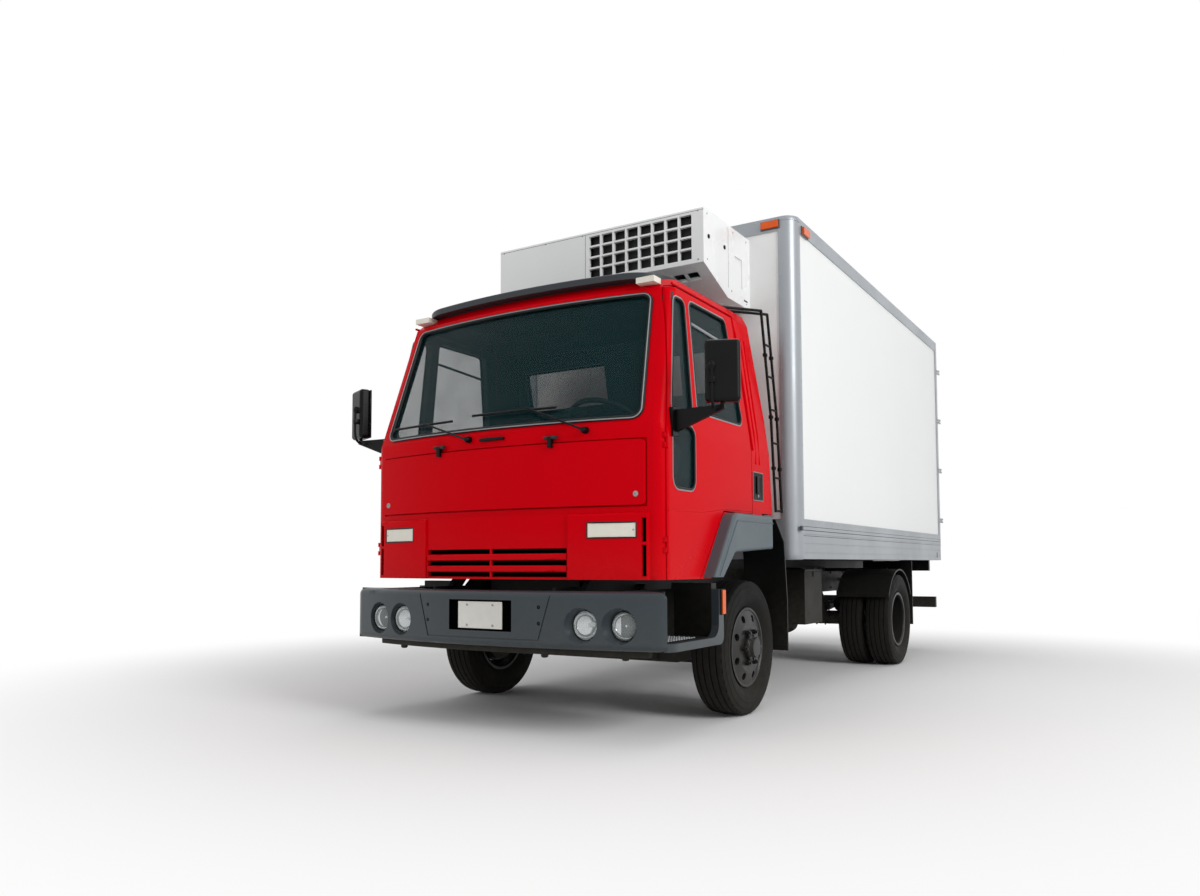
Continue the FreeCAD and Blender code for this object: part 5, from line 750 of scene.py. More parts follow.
class Fitter:
    """Paints finished pieces and puts each on the body that carries it."""

    def __init__(self, shop: PaintShop) -> None:
        """Keep the paint shop at hand."""
        self.shop = shop

    def fit(self, piece: bpy.types.Object, body: str, paint: Paint,
            replaces: Sequence[str] = ()) -> bpy.types.Object:
        """Dress one piece and tell the frame about it.

        Args:
            piece: The finished piece.
            body: The body it rides on.
            paint: Its finish.
            replaces: Nodes that it stands for.

        Returns:
            The piece.
        """
        self.shop.coat(piece, paint)
        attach(piece, body)
        if replaces:
            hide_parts(*replaces)
        log.info("%s on %s: %d faces", piece.name, body, len(piece.data.polygons))
        return piece

    def pair(self, piece: bpy.types.Object, body: str, paint: Paint, slot: str) -> None:
        """Fit a left-hand piece and its mirror image, each on its own side's body."""
        twin = mirrored(piece, piece.name.replace("left", "right"))
        self.fit(piece, body, paint)
        self.fit(twin, body.replace("left", "right"), paint)

    def dye(self, name: str, paint: Paint, test: Callable[[Vector, Vector], bool]) -> None:
        """Put a second finish on the faces of a node whose centre and normal pass a test."""
        node = bpy.data.objects[name]
        node.data.materials.append(self.shop.get(paint))
        index = len(node.data.materials) - 1
        count = 0
        for face in node.data.polygons:
            if test(face.center, face.normal):
                face.material_index = index
                count += 1
        log.info("%s: %d faces in %s", name, count, paint.value.name)


# Wheels

@dataclass
class RoadTyre:
    """Ribbed road tyre with four straight grooves, notched shoulders and a protector ring on its walls."""
    radius: float = 0.402
    half_width: float = 0.1075
    bead_radius: float = 0.2245
    bead_half: float = 0.0752
    groove_depth: float = 0.010
    groove_half: float = 0.0045
    groove_places: tuple[float, ...] = (-0.060, -0.021, 0.021, 0.060)
    shoulder_half: float = 0.090
    steps: int = 120
    notch_depth: float = 0.006

    def profile(self) -> list[tuple[float, float]]:
        """Outline from the right bead over the tread to the left bead, as (along, radius)."""
        wall = [(self.bead_half, self.bead_radius), (self.bead_half + 0.001, self.bead_radius + 0.014),
                (self.half_width - 0.016, 0.262), (self.half_width - 0.006, 0.285),
                (self.half_width - 0.001, 0.305), (self.half_width, 0.318), (self.half_width + 0.0005, 0.324),
                (self.half_width - 0.0015, 0.328), (self.half_width - 0.001, 0.345),
                (self.half_width - 0.003, 0.360),
                (self.half_width - 0.003, 0.364), (self.half_width - 0.0065, 0.367),
                (self.half_width - 0.0085, 0.380), (self.half_width - 0.0125, 0.392),
                (self.shoulder_half, 0.3955)]
        tread = []
        for place in reversed(self.groove_places):
            high = self.crown(place)
            tread += [(place + self.groove_half, high),
                      (place + self.groove_half * 0.6, high - self.groove_depth),
                      (place - self.groove_half * 0.6, high - self.groove_depth),
                      (place - self.groove_half, high)]
        middle = len(tread) // 2
        tread = tread[:middle] + [(0.0, self.crown(0.0))] + tread[middle:]
        return wall + tread + [(-along, high) for along, high in reversed(wall)]

    def crown(self, along: float) -> float:
        """Radius of the slightly crowned tread at a place across it."""
        return self.radius - 0.0065 * (along / self.shoulder_half) ** 2

    def build(self, name: str, centre: Sequence[float]) -> bpy.types.Object:
        """Turn the tyre about its axle, close it inside and notch its shoulders."""
        piece = turned(name, self.profile(), centre, "X", self.steps, closed=True)
        axle = Vector(centre)
        with editing(piece, "FACE") as mesh:
            def on_shoulder(face: bmesh.types.BMFace) -> bool:
                """Tell whether a face is one of every third on the tread's outer rows."""
                place = face.calc_center_median() - axle
                out = math.hypot(place.y, place.z)
                turn = round((math.atan2(place.y, place.z) / math.tau) * self.steps - 0.5)
                return abs(place.x) > self.shoulder_half and 0.390 < out and turn % 3 == 0
            select_faces(mesh, on_shoulder)
            bpy.ops.mesh.extrude_region_shrink_fatten(TRANSFORM_OT_shrink_fatten={"value": -self.notch_depth})
        return smooth(piece, 28)


@dataclass
class WheelSet:
    """The six tyres and the bolted details of the four wheel hubs."""
    front_x: float = 0.925
    rear_outer_x: float = 0.992
    rear_inner_x: float = 0.752
    axle_z: float = 0.402
    nut_circle: float = 0.1025
    nut_count: int = 6
    nut_radius: float = 0.0165
    flange_bolts: int = 8
    front_face_x: float = 1.025
    rear_face_x: float = 0.881
    tyre: RoadTyre = field(default_factory=RoadTyre)

    def hexagon(self, name: str, foot: Vector, side: int, radius: float, depth: float) -> bpy.types.Object:
        """Six-sided head that stands out sideways from its foot."""
        bpy.ops.object.select_all(action="DESELECT")
        bpy.ops.mesh.primitive_cylinder_add(vertices=6, radius=radius, depth=depth,
                                            location=foot + Vector((side * depth / 2, 0, 0)),
                                            rotation=(0, math.pi / 2, 0))
        piece = bpy.context.active_object
        piece.name = name
        return settle(piece)

    def hex_nut(self, name: str, centre: Vector, side: int) -> bpy.types.Object:
        """Wheel nut with its washer and the stud end standing out of it."""
        nut = self.hexagon(name, centre, side, self.nut_radius, 0.024)
        inset_face(nut, (side, 0, 0), (0.006, 0.0), push=(side * 0.010, 0, 0))
        with editing(nut, "FACE") as mesh:
            select_faces(mesh, lambda face: face.normal.x * side < -FACING)
            bpy.ops.mesh.extrude_region_move(TRANSFORM_OT_translate={"value": (-side * 0.001, 0, 0)})
            bpy.ops.transform.resize(value=(1, 1.3, 1.3))
        return nut

    def hub(self, name: str, x: float, y: float, side: int, reach: float) -> bpy.types.Object:
        """Nuts on their circle and a bolted hub flange, all on the disc at x."""
        middle = Vector((side * x, y, self.axle_z))
        parts = ringed(self.hex_nut(name, middle + Vector((0, self.nut_circle, 0)), side), middle,
                       self.nut_count)
        flange = [(side * 0.001, 0.0805), (side * 0.008, 0.0805), (side * 0.010, 0.0785),
                  (side * 0.010, 0.0640)]
        parts.append(turned(name, flange, middle + Vector((side * reach, 0, 0)), "X", 40))
        bolt = self.small_bolt(name, middle + Vector((side * (reach + 0.010), 0.0715, 0)), side)
        return joined(name, parts + ringed(bolt, middle, self.flange_bolts))

    def small_bolt(self, name: str, place: Vector, side: int) -> bpy.types.Object:
        """Hexagon head bolt that faces sideways."""
        bolt = self.hexagon(name, place, side, 0.0065, 0.006)
        return inset_face(bolt, (side, 0, 0), (0.0015, 0.001))

    def valve(self, name: str, x: float, y: float, side: int, angle: float) -> bpy.types.Object:
        """Bent valve stem that comes out through a hand hole."""
        def at(along: float, radius: float) -> tuple[float, float, float]:
            """Place at a radius from the axle, at the stem's angle."""
            return (side * (x + along), y + radius * math.sin(angle), self.axle_z + radius * math.cos(angle))
        return tube(name, [at(-0.02, 0.208), at(0.005, 0.203), at(0.022, 0.192), at(0.034, 0.180)], 0.0045,
                    smooth=True)

    def dress(self, fitter: Fitter) -> None:
        """Make and fit every tyre and hub."""
        for name, side in SIDES:
            front = self.tyre.build(f"front_tread_{name}", (side * self.front_x, FRONT_AXLE_Y, self.axle_z))
            fitter.fit(front, f"front_wheel_{name}", Paint.TYRE, [f"front_tyre_{name}"])
            pair = [self.tyre.build(f"rear_tread_{name}", (side * x, REAR_AXLE_Y, self.axle_z))
                    for x in (self.rear_outer_x, self.rear_inner_x)]
            fitter.fit(joined(f"rear_tread_{name}", pair), f"rear_wheel_{name}", Paint.TYRE,
                       [f"rear_tyres_{name}"])
            hub = self.hub(f"front_hub_bolts_{name}", self.front_face_x, FRONT_AXLE_Y, side, 0.014)
            fitter.fit(smooth(hub), f"front_wheel_{name}", Paint.RIM)
            hub = self.hub(f"rear_hub_bolts_{name}", self.rear_face_x, REAR_AXLE_Y, side, 0.001)
            fitter.fit(smooth(hub), f"rear_wheel_{name}", Paint.RIM)
            valve = self.valve(f"front_valve_{name}", self.front_x + 0.05, FRONT_AXLE_Y, side, 0.40)
            fitter.fit(valve, f"front_wheel_{name}", Paint.STEEL)
            valve = self.valve(f"rear_valve_{name}", self.rear_outer_x - 0.035, REAR_AXLE_Y, side, 0.40)
            fitter.fit(valve, f"rear_wheel_{name}", Paint.STEEL)


# Windows

def on_front(x: float, z: float, stand: float = 0.0) -> tuple[float, float, float]:
    """Place on the cab's front skin, standing off it by a little."""
    return (x, FRONT_AXLE_Y + bow_y(x, profile_at(CAB_FRONT, z)) - stand, z)


def on_side(y: float, z: float, stand: float = 0.0) -> tuple[float, float, float]:
    """Place on the cab's left skin, with y counted from the front axle."""
    return (profile_at(CAB_SIDE, z) + stand, FRONT_AXLE_Y + y, z)


def rounded_outline(corners: Sequence[tuple[float, float]], radius: float,
                    steps: int = 5) -> list[tuple[float, float]]:
    """Outline in a plane with each corner turned into an arc.

    Args:
        corners: The sharp corners in order.
        radius: Radius of the arcs.
        steps: Points in each arc, less one.
    """
    points = []
    count = len(corners)
    for index, corner in enumerate(corners):
        here = Vector(corner)
        back = (Vector(corners[index - 1]) - here).normalized()
        ahead = (Vector(corners[(index + 1) % count]) - here).normalized()
        half = back.angle(ahead) / 2
        reach = radius / math.tan(half)
        middle = here + (back + ahead).normalized() * (radius / math.sin(half))
        start = here + back * reach - middle
        end = here + ahead * reach - middle
        turn = start.angle_signed(end)
        for step in range(steps + 1):
            points.append(tuple(middle + Matrix.Rotation(-turn * step / steps, 2) @ start))
    return points


def grown_corners(corners: Sequence[tuple[float, float]], distance: float) -> list[tuple[float, float]]:
    """Corners of the outline that lies a distance outside another one.

    Args:
        corners: The sharp corners in order, either way round.
        distance: How far out each side moves.
    """
    places = [Vector(corner) for corner in corners]
    area = sum(a.x * b.y - b.x * a.y for a, b in zip(places, places[1:] + places[:1]))
    way = 1 if area > 0 else -1
    grown = []
    for back, here, ahead in zip(places[-1:] + places[:-1], places, places[1:] + places[:1]):
        first = (here - back).normalized()
        second = (ahead - here).normalized()
        outward = [Vector((run.y, -run.x)) * way for run in (first, second)]
        grown.append(tuple(here + (outward[0] + outward[1]) * distance / (1 + outward[0].dot(outward[1]))))
    return grown


def spread_out(points: Sequence[tuple[float, float]], longest: float) -> list[tuple[float, float]]:
    """Add points on the long runs of a closed outline, so that it follows a curved skin."""
    dense = []
    for here, there in zip(points, list(points[1:]) + [points[0]]):
        pieces = max(1, math.ceil(math.dist(here, there) / longest))
        for step in range(pieces):
            share = step / pieces
            dense.append(tuple(a + (b - a) * share for a, b in zip(here, there)))
    return dense


@dataclass
class Glazing:
    """Rubber seals and trim strips round every window of the cab."""
    screen_low_half: float = 0.890
    screen_high_half: float = 0.832
    screen_low_z: float = 1.662
    screen_high_z: float = 2.372
    screen_corner: float = 0.050
    seal_radius: float = 0.013
    insert_radius: float = 0.0035
    main_window: tuple = ((-0.624, 1.742), (-0.614, 2.366), (-0.132, 2.366), (-0.008, 1.742))
    quarter_light: tuple = ((-0.942, 1.700), (-0.797, 2.352), (-0.678, 2.352), (-0.700, 1.700))
    low_window: tuple = ((-0.942, 1.300), (-0.942, 1.640), (-0.692, 1.640), (-0.692, 1.300))
    trim_width: float = 0.013
    rear_window: tuple = (0.150, 0.840, 2.030, 2.310)

    def screen(self, fitter: Fitter) -> None:
        """Black seal round the windscreen with a pale filler strip in it."""
        corners = [(-self.screen_low_half, self.screen_low_z), (-self.screen_high_half, self.screen_high_z),
                   (self.screen_high_half, self.screen_high_z), (self.screen_low_half, self.screen_low_z)]
        outline = spread_out(rounded_outline(corners, self.screen_corner, 7), 0.08)
        seal = tube("windscreen_seal", [on_front(x, z, 0.001) for x, z in outline], self.seal_radius,
                    sides=12, closed=True)
        fitter.fit(seal, "cab", Paint.RUBBER)
        wider = [(x * 1.004, 2.017 + (z - 2.017) * 1.010) for x, z in outline]
        strip = tube("windscreen_filler_strip", [on_front(x, z, 0.013) for x, z in wider], self.insert_radius,
                     sides=8, closed=True)
        fitter.fit(strip, "cab", Paint.TRIM)

    def side(self, fitter: Fitter) -> None:
        """Black seals inside pale flat trims on the door windows, with the bar across the sliding pane."""
        for label, corners, radius in (("main_window", self.main_window, 0.040),
                                       ("quarter_light", self.quarter_light, 0.038),
                                       ("low_window", self.low_window, 0.056)):
            outline = rounded_outline(corners, radius, 6)
            seal = tube(f"{label}_seal_left", [on_side(y, z, -0.001) for y, z in outline], 0.007, closed=True)
            edges = [[on_side(y, z, 0.0002)
                      for y, z in rounded_outline(grown_corners(corners, out), radius + out, 6)]
                     for out in (0.002, self.trim_width)]
            trim = band(f"{label}_trim_left", *edges, 0.004)
            fitter.pair(seal, "cab_door_left", Paint.RUBBER, "black_plastic")
            fitter.pair(trim, "cab_door_left", Paint.TRIM, "grey_plastic")
        bar = tube("window_bar_left", [on_side(-0.618, 2.245, -0.006), on_side(-0.110, 2.215, -0.006)], 0.009)
        fitter.pair(bar, "cab_door_left", Paint.TRIM, "grey_plastic")

    def rear(self, fitter: Fitter) -> None:
        """Seals of the two windows in the cab's rear wall."""
        inner, outer, low, high = self.rear_window
        outline = rounded_outline([(inner, low), (inner, high), (outer, high), (outer, low)], 0.03)
        points = [(x, FRONT_AXLE_Y + profile_at(CAB_REAR, z) + 0.002, z) for x, z in outline]
        seal = tube("rear_window_seal_left", points, 0.011, closed=True)
        fitter.pair(seal, "cab", Paint.RUBBER, "black_plastic")

    def dress(self, fitter: Fitter) -> None:
        """Fit all the window strips."""
        self.screen(fitter)
        self.side(fitter)
        self.rear(fitter)


# Front of the truck

@dataclass
class Headlamps:
    """Round lamps in the bumper: bright bowl with its bulb holder, domed lens and a thin ring."""
    places: tuple[float, ...] = (-0.836, -0.627, 0.627, 0.836)
    height: float = 0.587
    lens_radius: float = 0.0755
    recess: float = 0.040

    def dress(self, fitter: Fitter) -> None:
        """Make one lamp at each place."""
        bowls, lenses, rings = [], [], []
        for x in self.places:
            y = FRONT_AXLE_Y + bow_y(x, BUMPER_FACE) + self.recess
            bowl = [(0.006, 0.0745), (0.018, 0.070), (0.032, 0.058), (0.042, 0.040), (0.047, 0.020),
                    (0.048, 0.012),
                    (0.030, 0.010), (0.020, 0.006), (0.018, 0.0)]
            bowls.append(turned("lamp_bowl", bowl, (x, y, self.height), "Y", 40))
            lens = [(0.012, self.lens_radius), (0.002, self.lens_radius), (-0.006, 0.066), (-0.012, 0.046),
                    (-0.015, 0.024), (-0.016, 0.0)]
            lenses.append(turned("lamp_lens", lens, (x, y, self.height), "Y", 48))
            ring = [(0.004, 0.0745), (-0.003, 0.0745), (-0.005, 0.0765), (-0.003, 0.0785), (0.004, 0.0785)]
            rings.append(turned("lamp_ring", ring, (x, y, self.height), "Y", 48, closed=True))
        fitter.fit(smooth(joined("headlamp_bowls", bowls)), "chassis", Paint.CHROME)
        fitter.fit(smooth(joined("headlamp_lenses", lenses), 50), "chassis", Paint.LENS,
                   ["headlamps"])
        fitter.fit(smooth(joined("headlamp_rings", rings), 50), "chassis", Paint.BLACK)


@dataclass
class FrontTrim:
    """Small parts of the cab's front: blank plate, a dead black sheet of painted shade behind the grille, and
    flap locks.
    """
    plate_half: float = 0.150
    plate_low: float = 0.556
    plate_high: float = 0.701

    def plate(self, fitter: Fitter) -> None:
        """Blank registration plate with a raised edge, screwed into the bumper's recess."""
        y = FRONT_AXLE_Y + BUMPER_FACE + 0.010
        piece = block("front_plate", (-self.plate_half, y - 0.004, self.plate_low),
                      (self.plate_half, y + 0.004, self.plate_high))
        inset_face(piece, (0, -1, 0), (0.006, 0.0), (0.002, -0.0015))
        round_edges(piece, 0.0012, 2)
        fitter.fit(piece, "chassis", Paint.PLATE)
        screws = []
        for x in (-0.088, 0.088):
            for z in (self.plate_low + 0.018, self.plate_high - 0.018):
                profile = [(0.004, 0.006), (-0.002, 0.006), (-0.004, 0.004), (-0.0045, 0.0)]
                screws.append(turned("plate_screws", profile, (x, y - 0.003, z), "Y", 16))
        fitter.fit(smooth(joined("plate_screws", screws)), "chassis", Paint.STEEL)

    def grille(self, fitter: Fitter) -> None:
        """Painted shade: a dead black sheet behind the slats and in the two side vents, standing in for the
        shade inside them.
        """
        backing = bowed_slab("grille_painted_shade_sheet", -0.484, 0.484, -1.1662, 0.0016, 0.834, 0.985)
        parts = [backing]
        for low, high in ((0.841, 0.997), (1.017, 1.137)):
            slab = bowed_slab("grille_painted_shade_sheet", 0.9035, 0.9265, PANEL_FACE + 0.0145, 0.0015, low, high, 2)
            parts += [slab, mirrored(slab, "grille_painted_shade_sheet")]
        fitter.fit(joined("grille_painted_shade_sheet", parts), "cab", Paint.SHADE)

    def locks(self, fitter: Fitter) -> None:
        """Round locks at the flap's lower corners."""
        locks = []
        for x in (-0.868, 0.868):
            y = FRONT_AXLE_Y + bow_y(x, FLAP_FACE)
            profile = [(0.002, 0.015), (-0.003, 0.015), (-0.005, 0.012), (-0.005, 0.006), (-0.002, 0.005),
                       (-0.002, 0.0)]
            locks.append(turned("flap_locks", profile, (x, y, 1.262), "Y", 24))
        fitter.fit(smooth(joined("flap_locks", locks)), "front_flap", Paint.STEEL)

    def dress(self, fitter: Fitter) -> None:
        """Fit every small part of the front."""
        self.plate(fitter)
        self.grille(fitter)
        self.locks(fitter)


@dataclass
class DoorTrim:
    """Handle and lock beside each cab door, and the parts of its mirror."""
    skin: float = 1.0102
    handle_y: tuple[float, float] = (0.124, 0.272)
    handle_z: tuple[float, float] = (1.296, 1.466)
    head: tuple[float, float, float] = (1.287, FRONT_AXLE_Y - 0.930, 1.880)
    head_turn_deg: float = 25
    joint: tuple[float, float, float] = (-0.055, -0.052, 0.020)

    def handle(self, fitter: Fitter) -> None:
        """Black handle plate in a pale rim on the cab side behind the door, with a pull and a key lock."""
        skin = self.skin
        low = (skin, FRONT_AXLE_Y + self.handle_y[0], self.handle_z[0])
        high = (skin + 0.006, FRONT_AXLE_Y + self.handle_y[1], self.handle_z[1])
        base = block("handle_plate_left", low, high)
        inset_face(base, (1, 0, 0), (0.010, 0.0), (0.004, -0.0045))
        round_edges(base, 0.0015, 2)
        rim = frame_ring("handle_rim_left", (skin, low[1] - 0.004, low[2] - 0.004),
                         (skin + 0.0045, high[1] + 0.004, high[2] + 0.004), 0.0038, "X")
        middle = (low[1] + high[1]) / 2
        pull = block("handle_pull_left", (skin + 0.0016, middle - 0.030, low[2] + 0.040),
                     (skin + 0.012, middle + 0.034, high[2] - 0.022))
        inset_face(pull, (1, 0, 0), (0.008, -0.004))
        round_edges(pull, 0.003, 3)
        profile = [(0.0, 0.010), (0.004, 0.010), (0.005, 0.008), (0.005, 0.003), (0.003, 0.002), (0.003, 0.0)]
        lock = turned("door_lock_left", profile, (skin + 0.0016, middle, low[2] + 0.026), "X", 24)
        fitter.pair(base, "cab", Paint.RUBBER, "black_plastic")
        fitter.pair(rim, "cab", Paint.TRIM, "grey_plastic")
        fitter.pair(pull, "cab", Paint.BLACK, "black_plastic")
        fitter.pair(smooth(lock), "cab", Paint.STEEL, "steel")

    def head_place(self) -> Matrix:
        """Where the left mirror head stands and how it is turned."""
        return Matrix.Translation(self.head) @ Matrix.Rotation(math.radians(self.head_turn_deg), 4, "Z")

    def mirror_glass(self, fitter: Fitter) -> None:
        """Mirror glass in a raised frame on the rear of each mirror head."""
        glass = block("mirror_glass_left", (-0.076, 0.0350, -0.146), (0.076, 0.0372, 0.146))
        frame = block("mirror_frame_left", (-0.086, 0.030, -0.156), (0.086, 0.041, 0.156))
        inset_face(frame, (0, 1, 0), (0.010, 0.0), push=(0, -0.0045, 0))
        round_edges(frame, 0.003, 2)
        for piece, paint, slot in ((glass, Paint.CHROME, "lamp_glass"),
                                   (frame, Paint.BLACK, "black_plastic")):
            piece.data.transform(self.head_place())
            fitter.pair(piece, "cab_door_left", paint, slot)

    def mirror_stem(self, fitter: Fitter) -> None:
        """Bent tube in front of each mirror head, with a ball joint and a clamp that hold the head."""
        stem = tube("mirror_stem_left", [(-0.045, -0.012, -0.196), (-0.052, -0.044, -0.176),
                                         (-0.055, -0.058, -0.130), (-0.055, -0.058, -0.020),
                                         (-0.055, -0.058, 0.030)], 0.008, smooth=True)
        ball = turned("mirror_ball_left", [(-0.024, 0.0), (-0.020, 0.013), (0.0, 0.020), (0.020, 0.013),
                                           (0.024, 0.0)], self.joint, "Z", 24)
        neck = turned("mirror_neck_left", [(-0.004, 0.013), (0.014, 0.020), (0.018, 0.026), (0.018, 0.0)],
                      self.joint, "Y", 24)
        clamp = block("mirror_clamp_left", (-0.069, -0.070, -0.070), (-0.041, -0.036, -0.038))
        whole = smooth(joined("mirror_stem_left", [stem, ball, neck, round_edges(clamp, 0.004, 2)]))
        whole.data.transform(self.head_place())
        fitter.pair(whole, "cab_door_left", Paint.BLACK, "black_plastic")

    def dress(self, fitter: Fitter) -> None:
        """Fit both doors' trim."""
        self.handle(fitter)
        self.mirror_glass(fitter)
        self.mirror_stem(fitter)


@dataclass
class PaintedPlaces:
    """Finishes put on chosen faces of the truck's own solids, told apart by their place and direction."""
    lining_depth: float = 0.040
    door_depth: float = 0.044
    reveal_depth: float = 0.004
    bow_reach: float = 1.5
    hinge_x: float = 0.391
    hinge_half: float = 0.045
    hinge_z: tuple[float, float] = (1.522, 1.600)
    leaf_foot: float = 1.546
    handle_y: tuple[float, float] = (0.128, 0.205)
    handle_z: tuple[float, float] = (1.300, 1.462)
    floor_z: float = 1.130
    screen_back: float = -0.800
    screen_half: float = 0.895
    screen_z: tuple[float, float] = (1.655, 2.380)
    rear_window_x: tuple[float, float] = (0.130, 0.860)
    rear_window_z: tuple[float, float] = (2.010, 2.330)
    door_head: float = 2.300
    window_z: tuple[float, float] = (1.285, 2.385)
    window_y: tuple[float, float] = (-0.955, 0.030)
    lean_from: tuple[float, float] = (1.700, 1.742)
    lean: tuple[float, float] = (0.222, 0.200)
    recess_back: float = -1.262
    recess_half: float = 0.2155
    recess_z: tuple[float, float] = (0.5445, 0.7115)

    def behind(self, place: Vector, face: float) -> float:
        """How far a place lies behind a bowed face of the front."""
        return place.y - FRONT_AXLE_Y - bow_y(min(abs(place.x), self.bow_reach), face)

    def depth(self, place: Vector) -> float:
        """How far a place lies inside the cab's outer skin, in metres."""
        y = place.y - FRONT_AXLE_Y
        return min(profile_at(CAB_SIDE, place.z) - abs(place.x),
                   self.behind(place, profile_at(CAB_FRONT, place.z)),
                   profile_at(CAB_REAR, place.z) - y, ROOF_Z - place.z)

    def at_hinge(self, place: Vector) -> bool:
        """Tell whether a place is on one of the front flap's hinge blocks."""
        low, high = self.hinge_z
        return abs(abs(place.x) - self.hinge_x) < self.hinge_half and low < place.z < high

    def cab(self, place: Vector, normal: Vector) -> bool:
        """Lining, window reveals, handle cups and hinge blocks of the cab, with painted shade on the door
        heads' undersides in the gap above each door.
        """
        y = place.y - FRONT_AXLE_Y
        x = abs(place.x)
        inside = self.depth(place)
        in_cup = (self.handle_y[0] < y < self.handle_y[1] and self.handle_z[0] < place.z < self.handle_z[1]
                  and inside > 0.002)
        in_screen = (inside > self.reveal_depth and x < self.screen_half
                     and self.screen_z[0] < place.z < self.screen_z[1] and y < self.screen_back)
        in_rear_window = (self.rear_window_x[0] < x < self.rear_window_x[1] and inside > self.reveal_depth
                          and self.rear_window_z[0] < place.z < self.rear_window_z[1])
        # painted shade: the door heads' down-facing faces get the dark lining finish, as the gap above each
        # door reads dark
        in_door_head_shade = normal.z < -0.7 and place.z > self.door_head and inside > 0.002
        on_hinge = self.at_hinge(place) and inside < -0.002
        return (in_cup or in_screen or in_rear_window or in_door_head_shade or on_hinge
                or inside > self.lining_depth)

    def door(self, place: Vector, _: Vector) -> bool:
        """Inner face and window reveals of a door; its outer edges stay painted."""
        y = place.y - FRONT_AXLE_Y
        front = self.window_y[0] + max(0.0, place.z - self.lean_from[0]) * self.lean[0]
        rear = self.window_y[1] - max(0.0, place.z - self.lean_from[1]) * self.lean[1]
        inside = self.depth(place)
        in_window = (front < y < rear and self.window_z[0] < place.z < self.window_z[1]
                     and inside > self.reveal_depth)
        return in_window or inside > self.door_depth

    def flap(self, place: Vector, _: Vector) -> bool:
        """Hinge leaves on the front flap."""
        return self.at_hinge(place) and (place.z > self.leaf_foot or self.behind(place, FLAP_FACE) < -0.002)

    def plate_recess(self, place: Vector, _: Vector) -> bool:
        """The sunk field round the front plate."""
        return (self.behind(place, BUMPER_FACE) > 0.002 and place.y - FRONT_AXLE_Y < self.recess_back
                and abs(place.x) < self.recess_half and self.recess_z[0] < place.z < self.recess_z[1])

    def load_floor(self, place: Vector, normal: Vector) -> bool:
        """Floor of the load space."""
        return normal.z > FACING and abs(place.z - self.floor_z) < 0.003

    def dress(self, fitter: Fitter) -> None:
        """Put the second finishes on their nodes."""
        fitter.dye("cab_shell", Paint.LINING_AND_GAP_SHADE, self.cab)
        fitter.dye("cab_door_left", Paint.LINING_AND_GAP_SHADE, self.door)
        fitter.dye("cab_door_right", Paint.LINING_AND_GAP_SHADE, self.door)
        fitter.dye("front_flap", Paint.BLACK, self.flap)
        fitter.dye("box_shell", Paint.RAIL, self.load_floor)
        fitter.dye("front_bumper", Paint.SHADE, self.plate_recess)


@dataclass
class BumperTrim:
    """Bolts, the dark beam under the bumper, tread studs and lamp frames of the entry steps."""
    bolt_x: float = 0.383
    bolt_heights: tuple[float, float] = (0.593, 0.678)
    beam_face: float = -1.190
    stop_places: tuple[float, ...] = (-0.72, 0.34, 0.80)
    tread_z: float = 0.505
    tread_x: tuple[float, float] = (0.845, 1.025)
    tread_y: tuple[float, float] = (-2.965, -2.545)
    stud_pitch: float = 0.030

    def bolts(self, fitter: Fitter) -> None:
        """Four dark bolts in the centre panel's holes."""
        heads = [dome("bumper_bolts", (x, FRONT_AXLE_Y + bow_y(x, BUMPER_FACE) + 0.004, z), "Y", -1, 0.0085,
                      0.004, 12) for x in (-self.bolt_x, self.bolt_x) for z in self.bolt_heights]
        fitter.fit(joined("bumper_bolts", heads), "chassis", Paint.BLACK)

    def beam(self, fitter: Fitter) -> None:
        """Dark cross beam under the bumper with three round stops below it."""
        beam = bowed_slab("under_bumper_beam", -0.93, 0.93, self.beam_face, 0.045, 0.424, 0.4615, 20)
        round_edges(beam, 0.006, 2)
        profile = [(0.002, 0.020), (-0.012, 0.020), (-0.018, 0.014), (-0.020, 0.0)]
        stops = [turned("beam_stop", profile, (x, FRONT_AXLE_Y + bow_y(x, self.beam_face) + 0.022, 0.4245),
                        "Z", 20) for x in self.stop_places]
        fitter.fit(joined("under_bumper_beam", [beam, *stops]), "chassis", Paint.CHASSIS)

    def treads(self, fitter: Fitter) -> None:
        """Rows of round grip studs on the two step floors."""
        across = round((self.tread_x[1] - self.tread_x[0]) / self.stud_pitch)
        along = round((self.tread_y[1] - self.tread_y[0]) / self.stud_pitch)
        for name, side in SIDES:
            stud = dome(f"tread_studs_{name}", (self.tread_x[0], self.tread_y[0], self.tread_z), "Z", 1,
                        0.0095,
                        0.005, 8)
            row(row(stud, across, (self.stud_pitch, 0, 0)), along, (0, self.stud_pitch, 0))
            fitter.fit(on_its_side(stud, side), "chassis", Paint.TRIM)

    def lamp_frames(self, fitter: Fitter) -> None:
        """Frames round the orange side lamps on the step legs."""
        for name, side in SIDES:
            ring = frame_ring(f"side_lamp_frame_{name}", (1.0902, -2.437, 0.623), (1.0985, -2.387, 0.763),
                              0.0048, "X")
            ring = round_edges(on_its_side(ring, side), 0.001, 1)
            fitter.fit(ring, "chassis", Paint.BLACK)

    def dress(self, fitter: Fitter) -> None:
        """Fit the bumper's and steps' small parts."""
        self.bolts(fitter)
        self.beam(fitter)
        self.treads(fitter)
        self.lamp_frames(fitter)


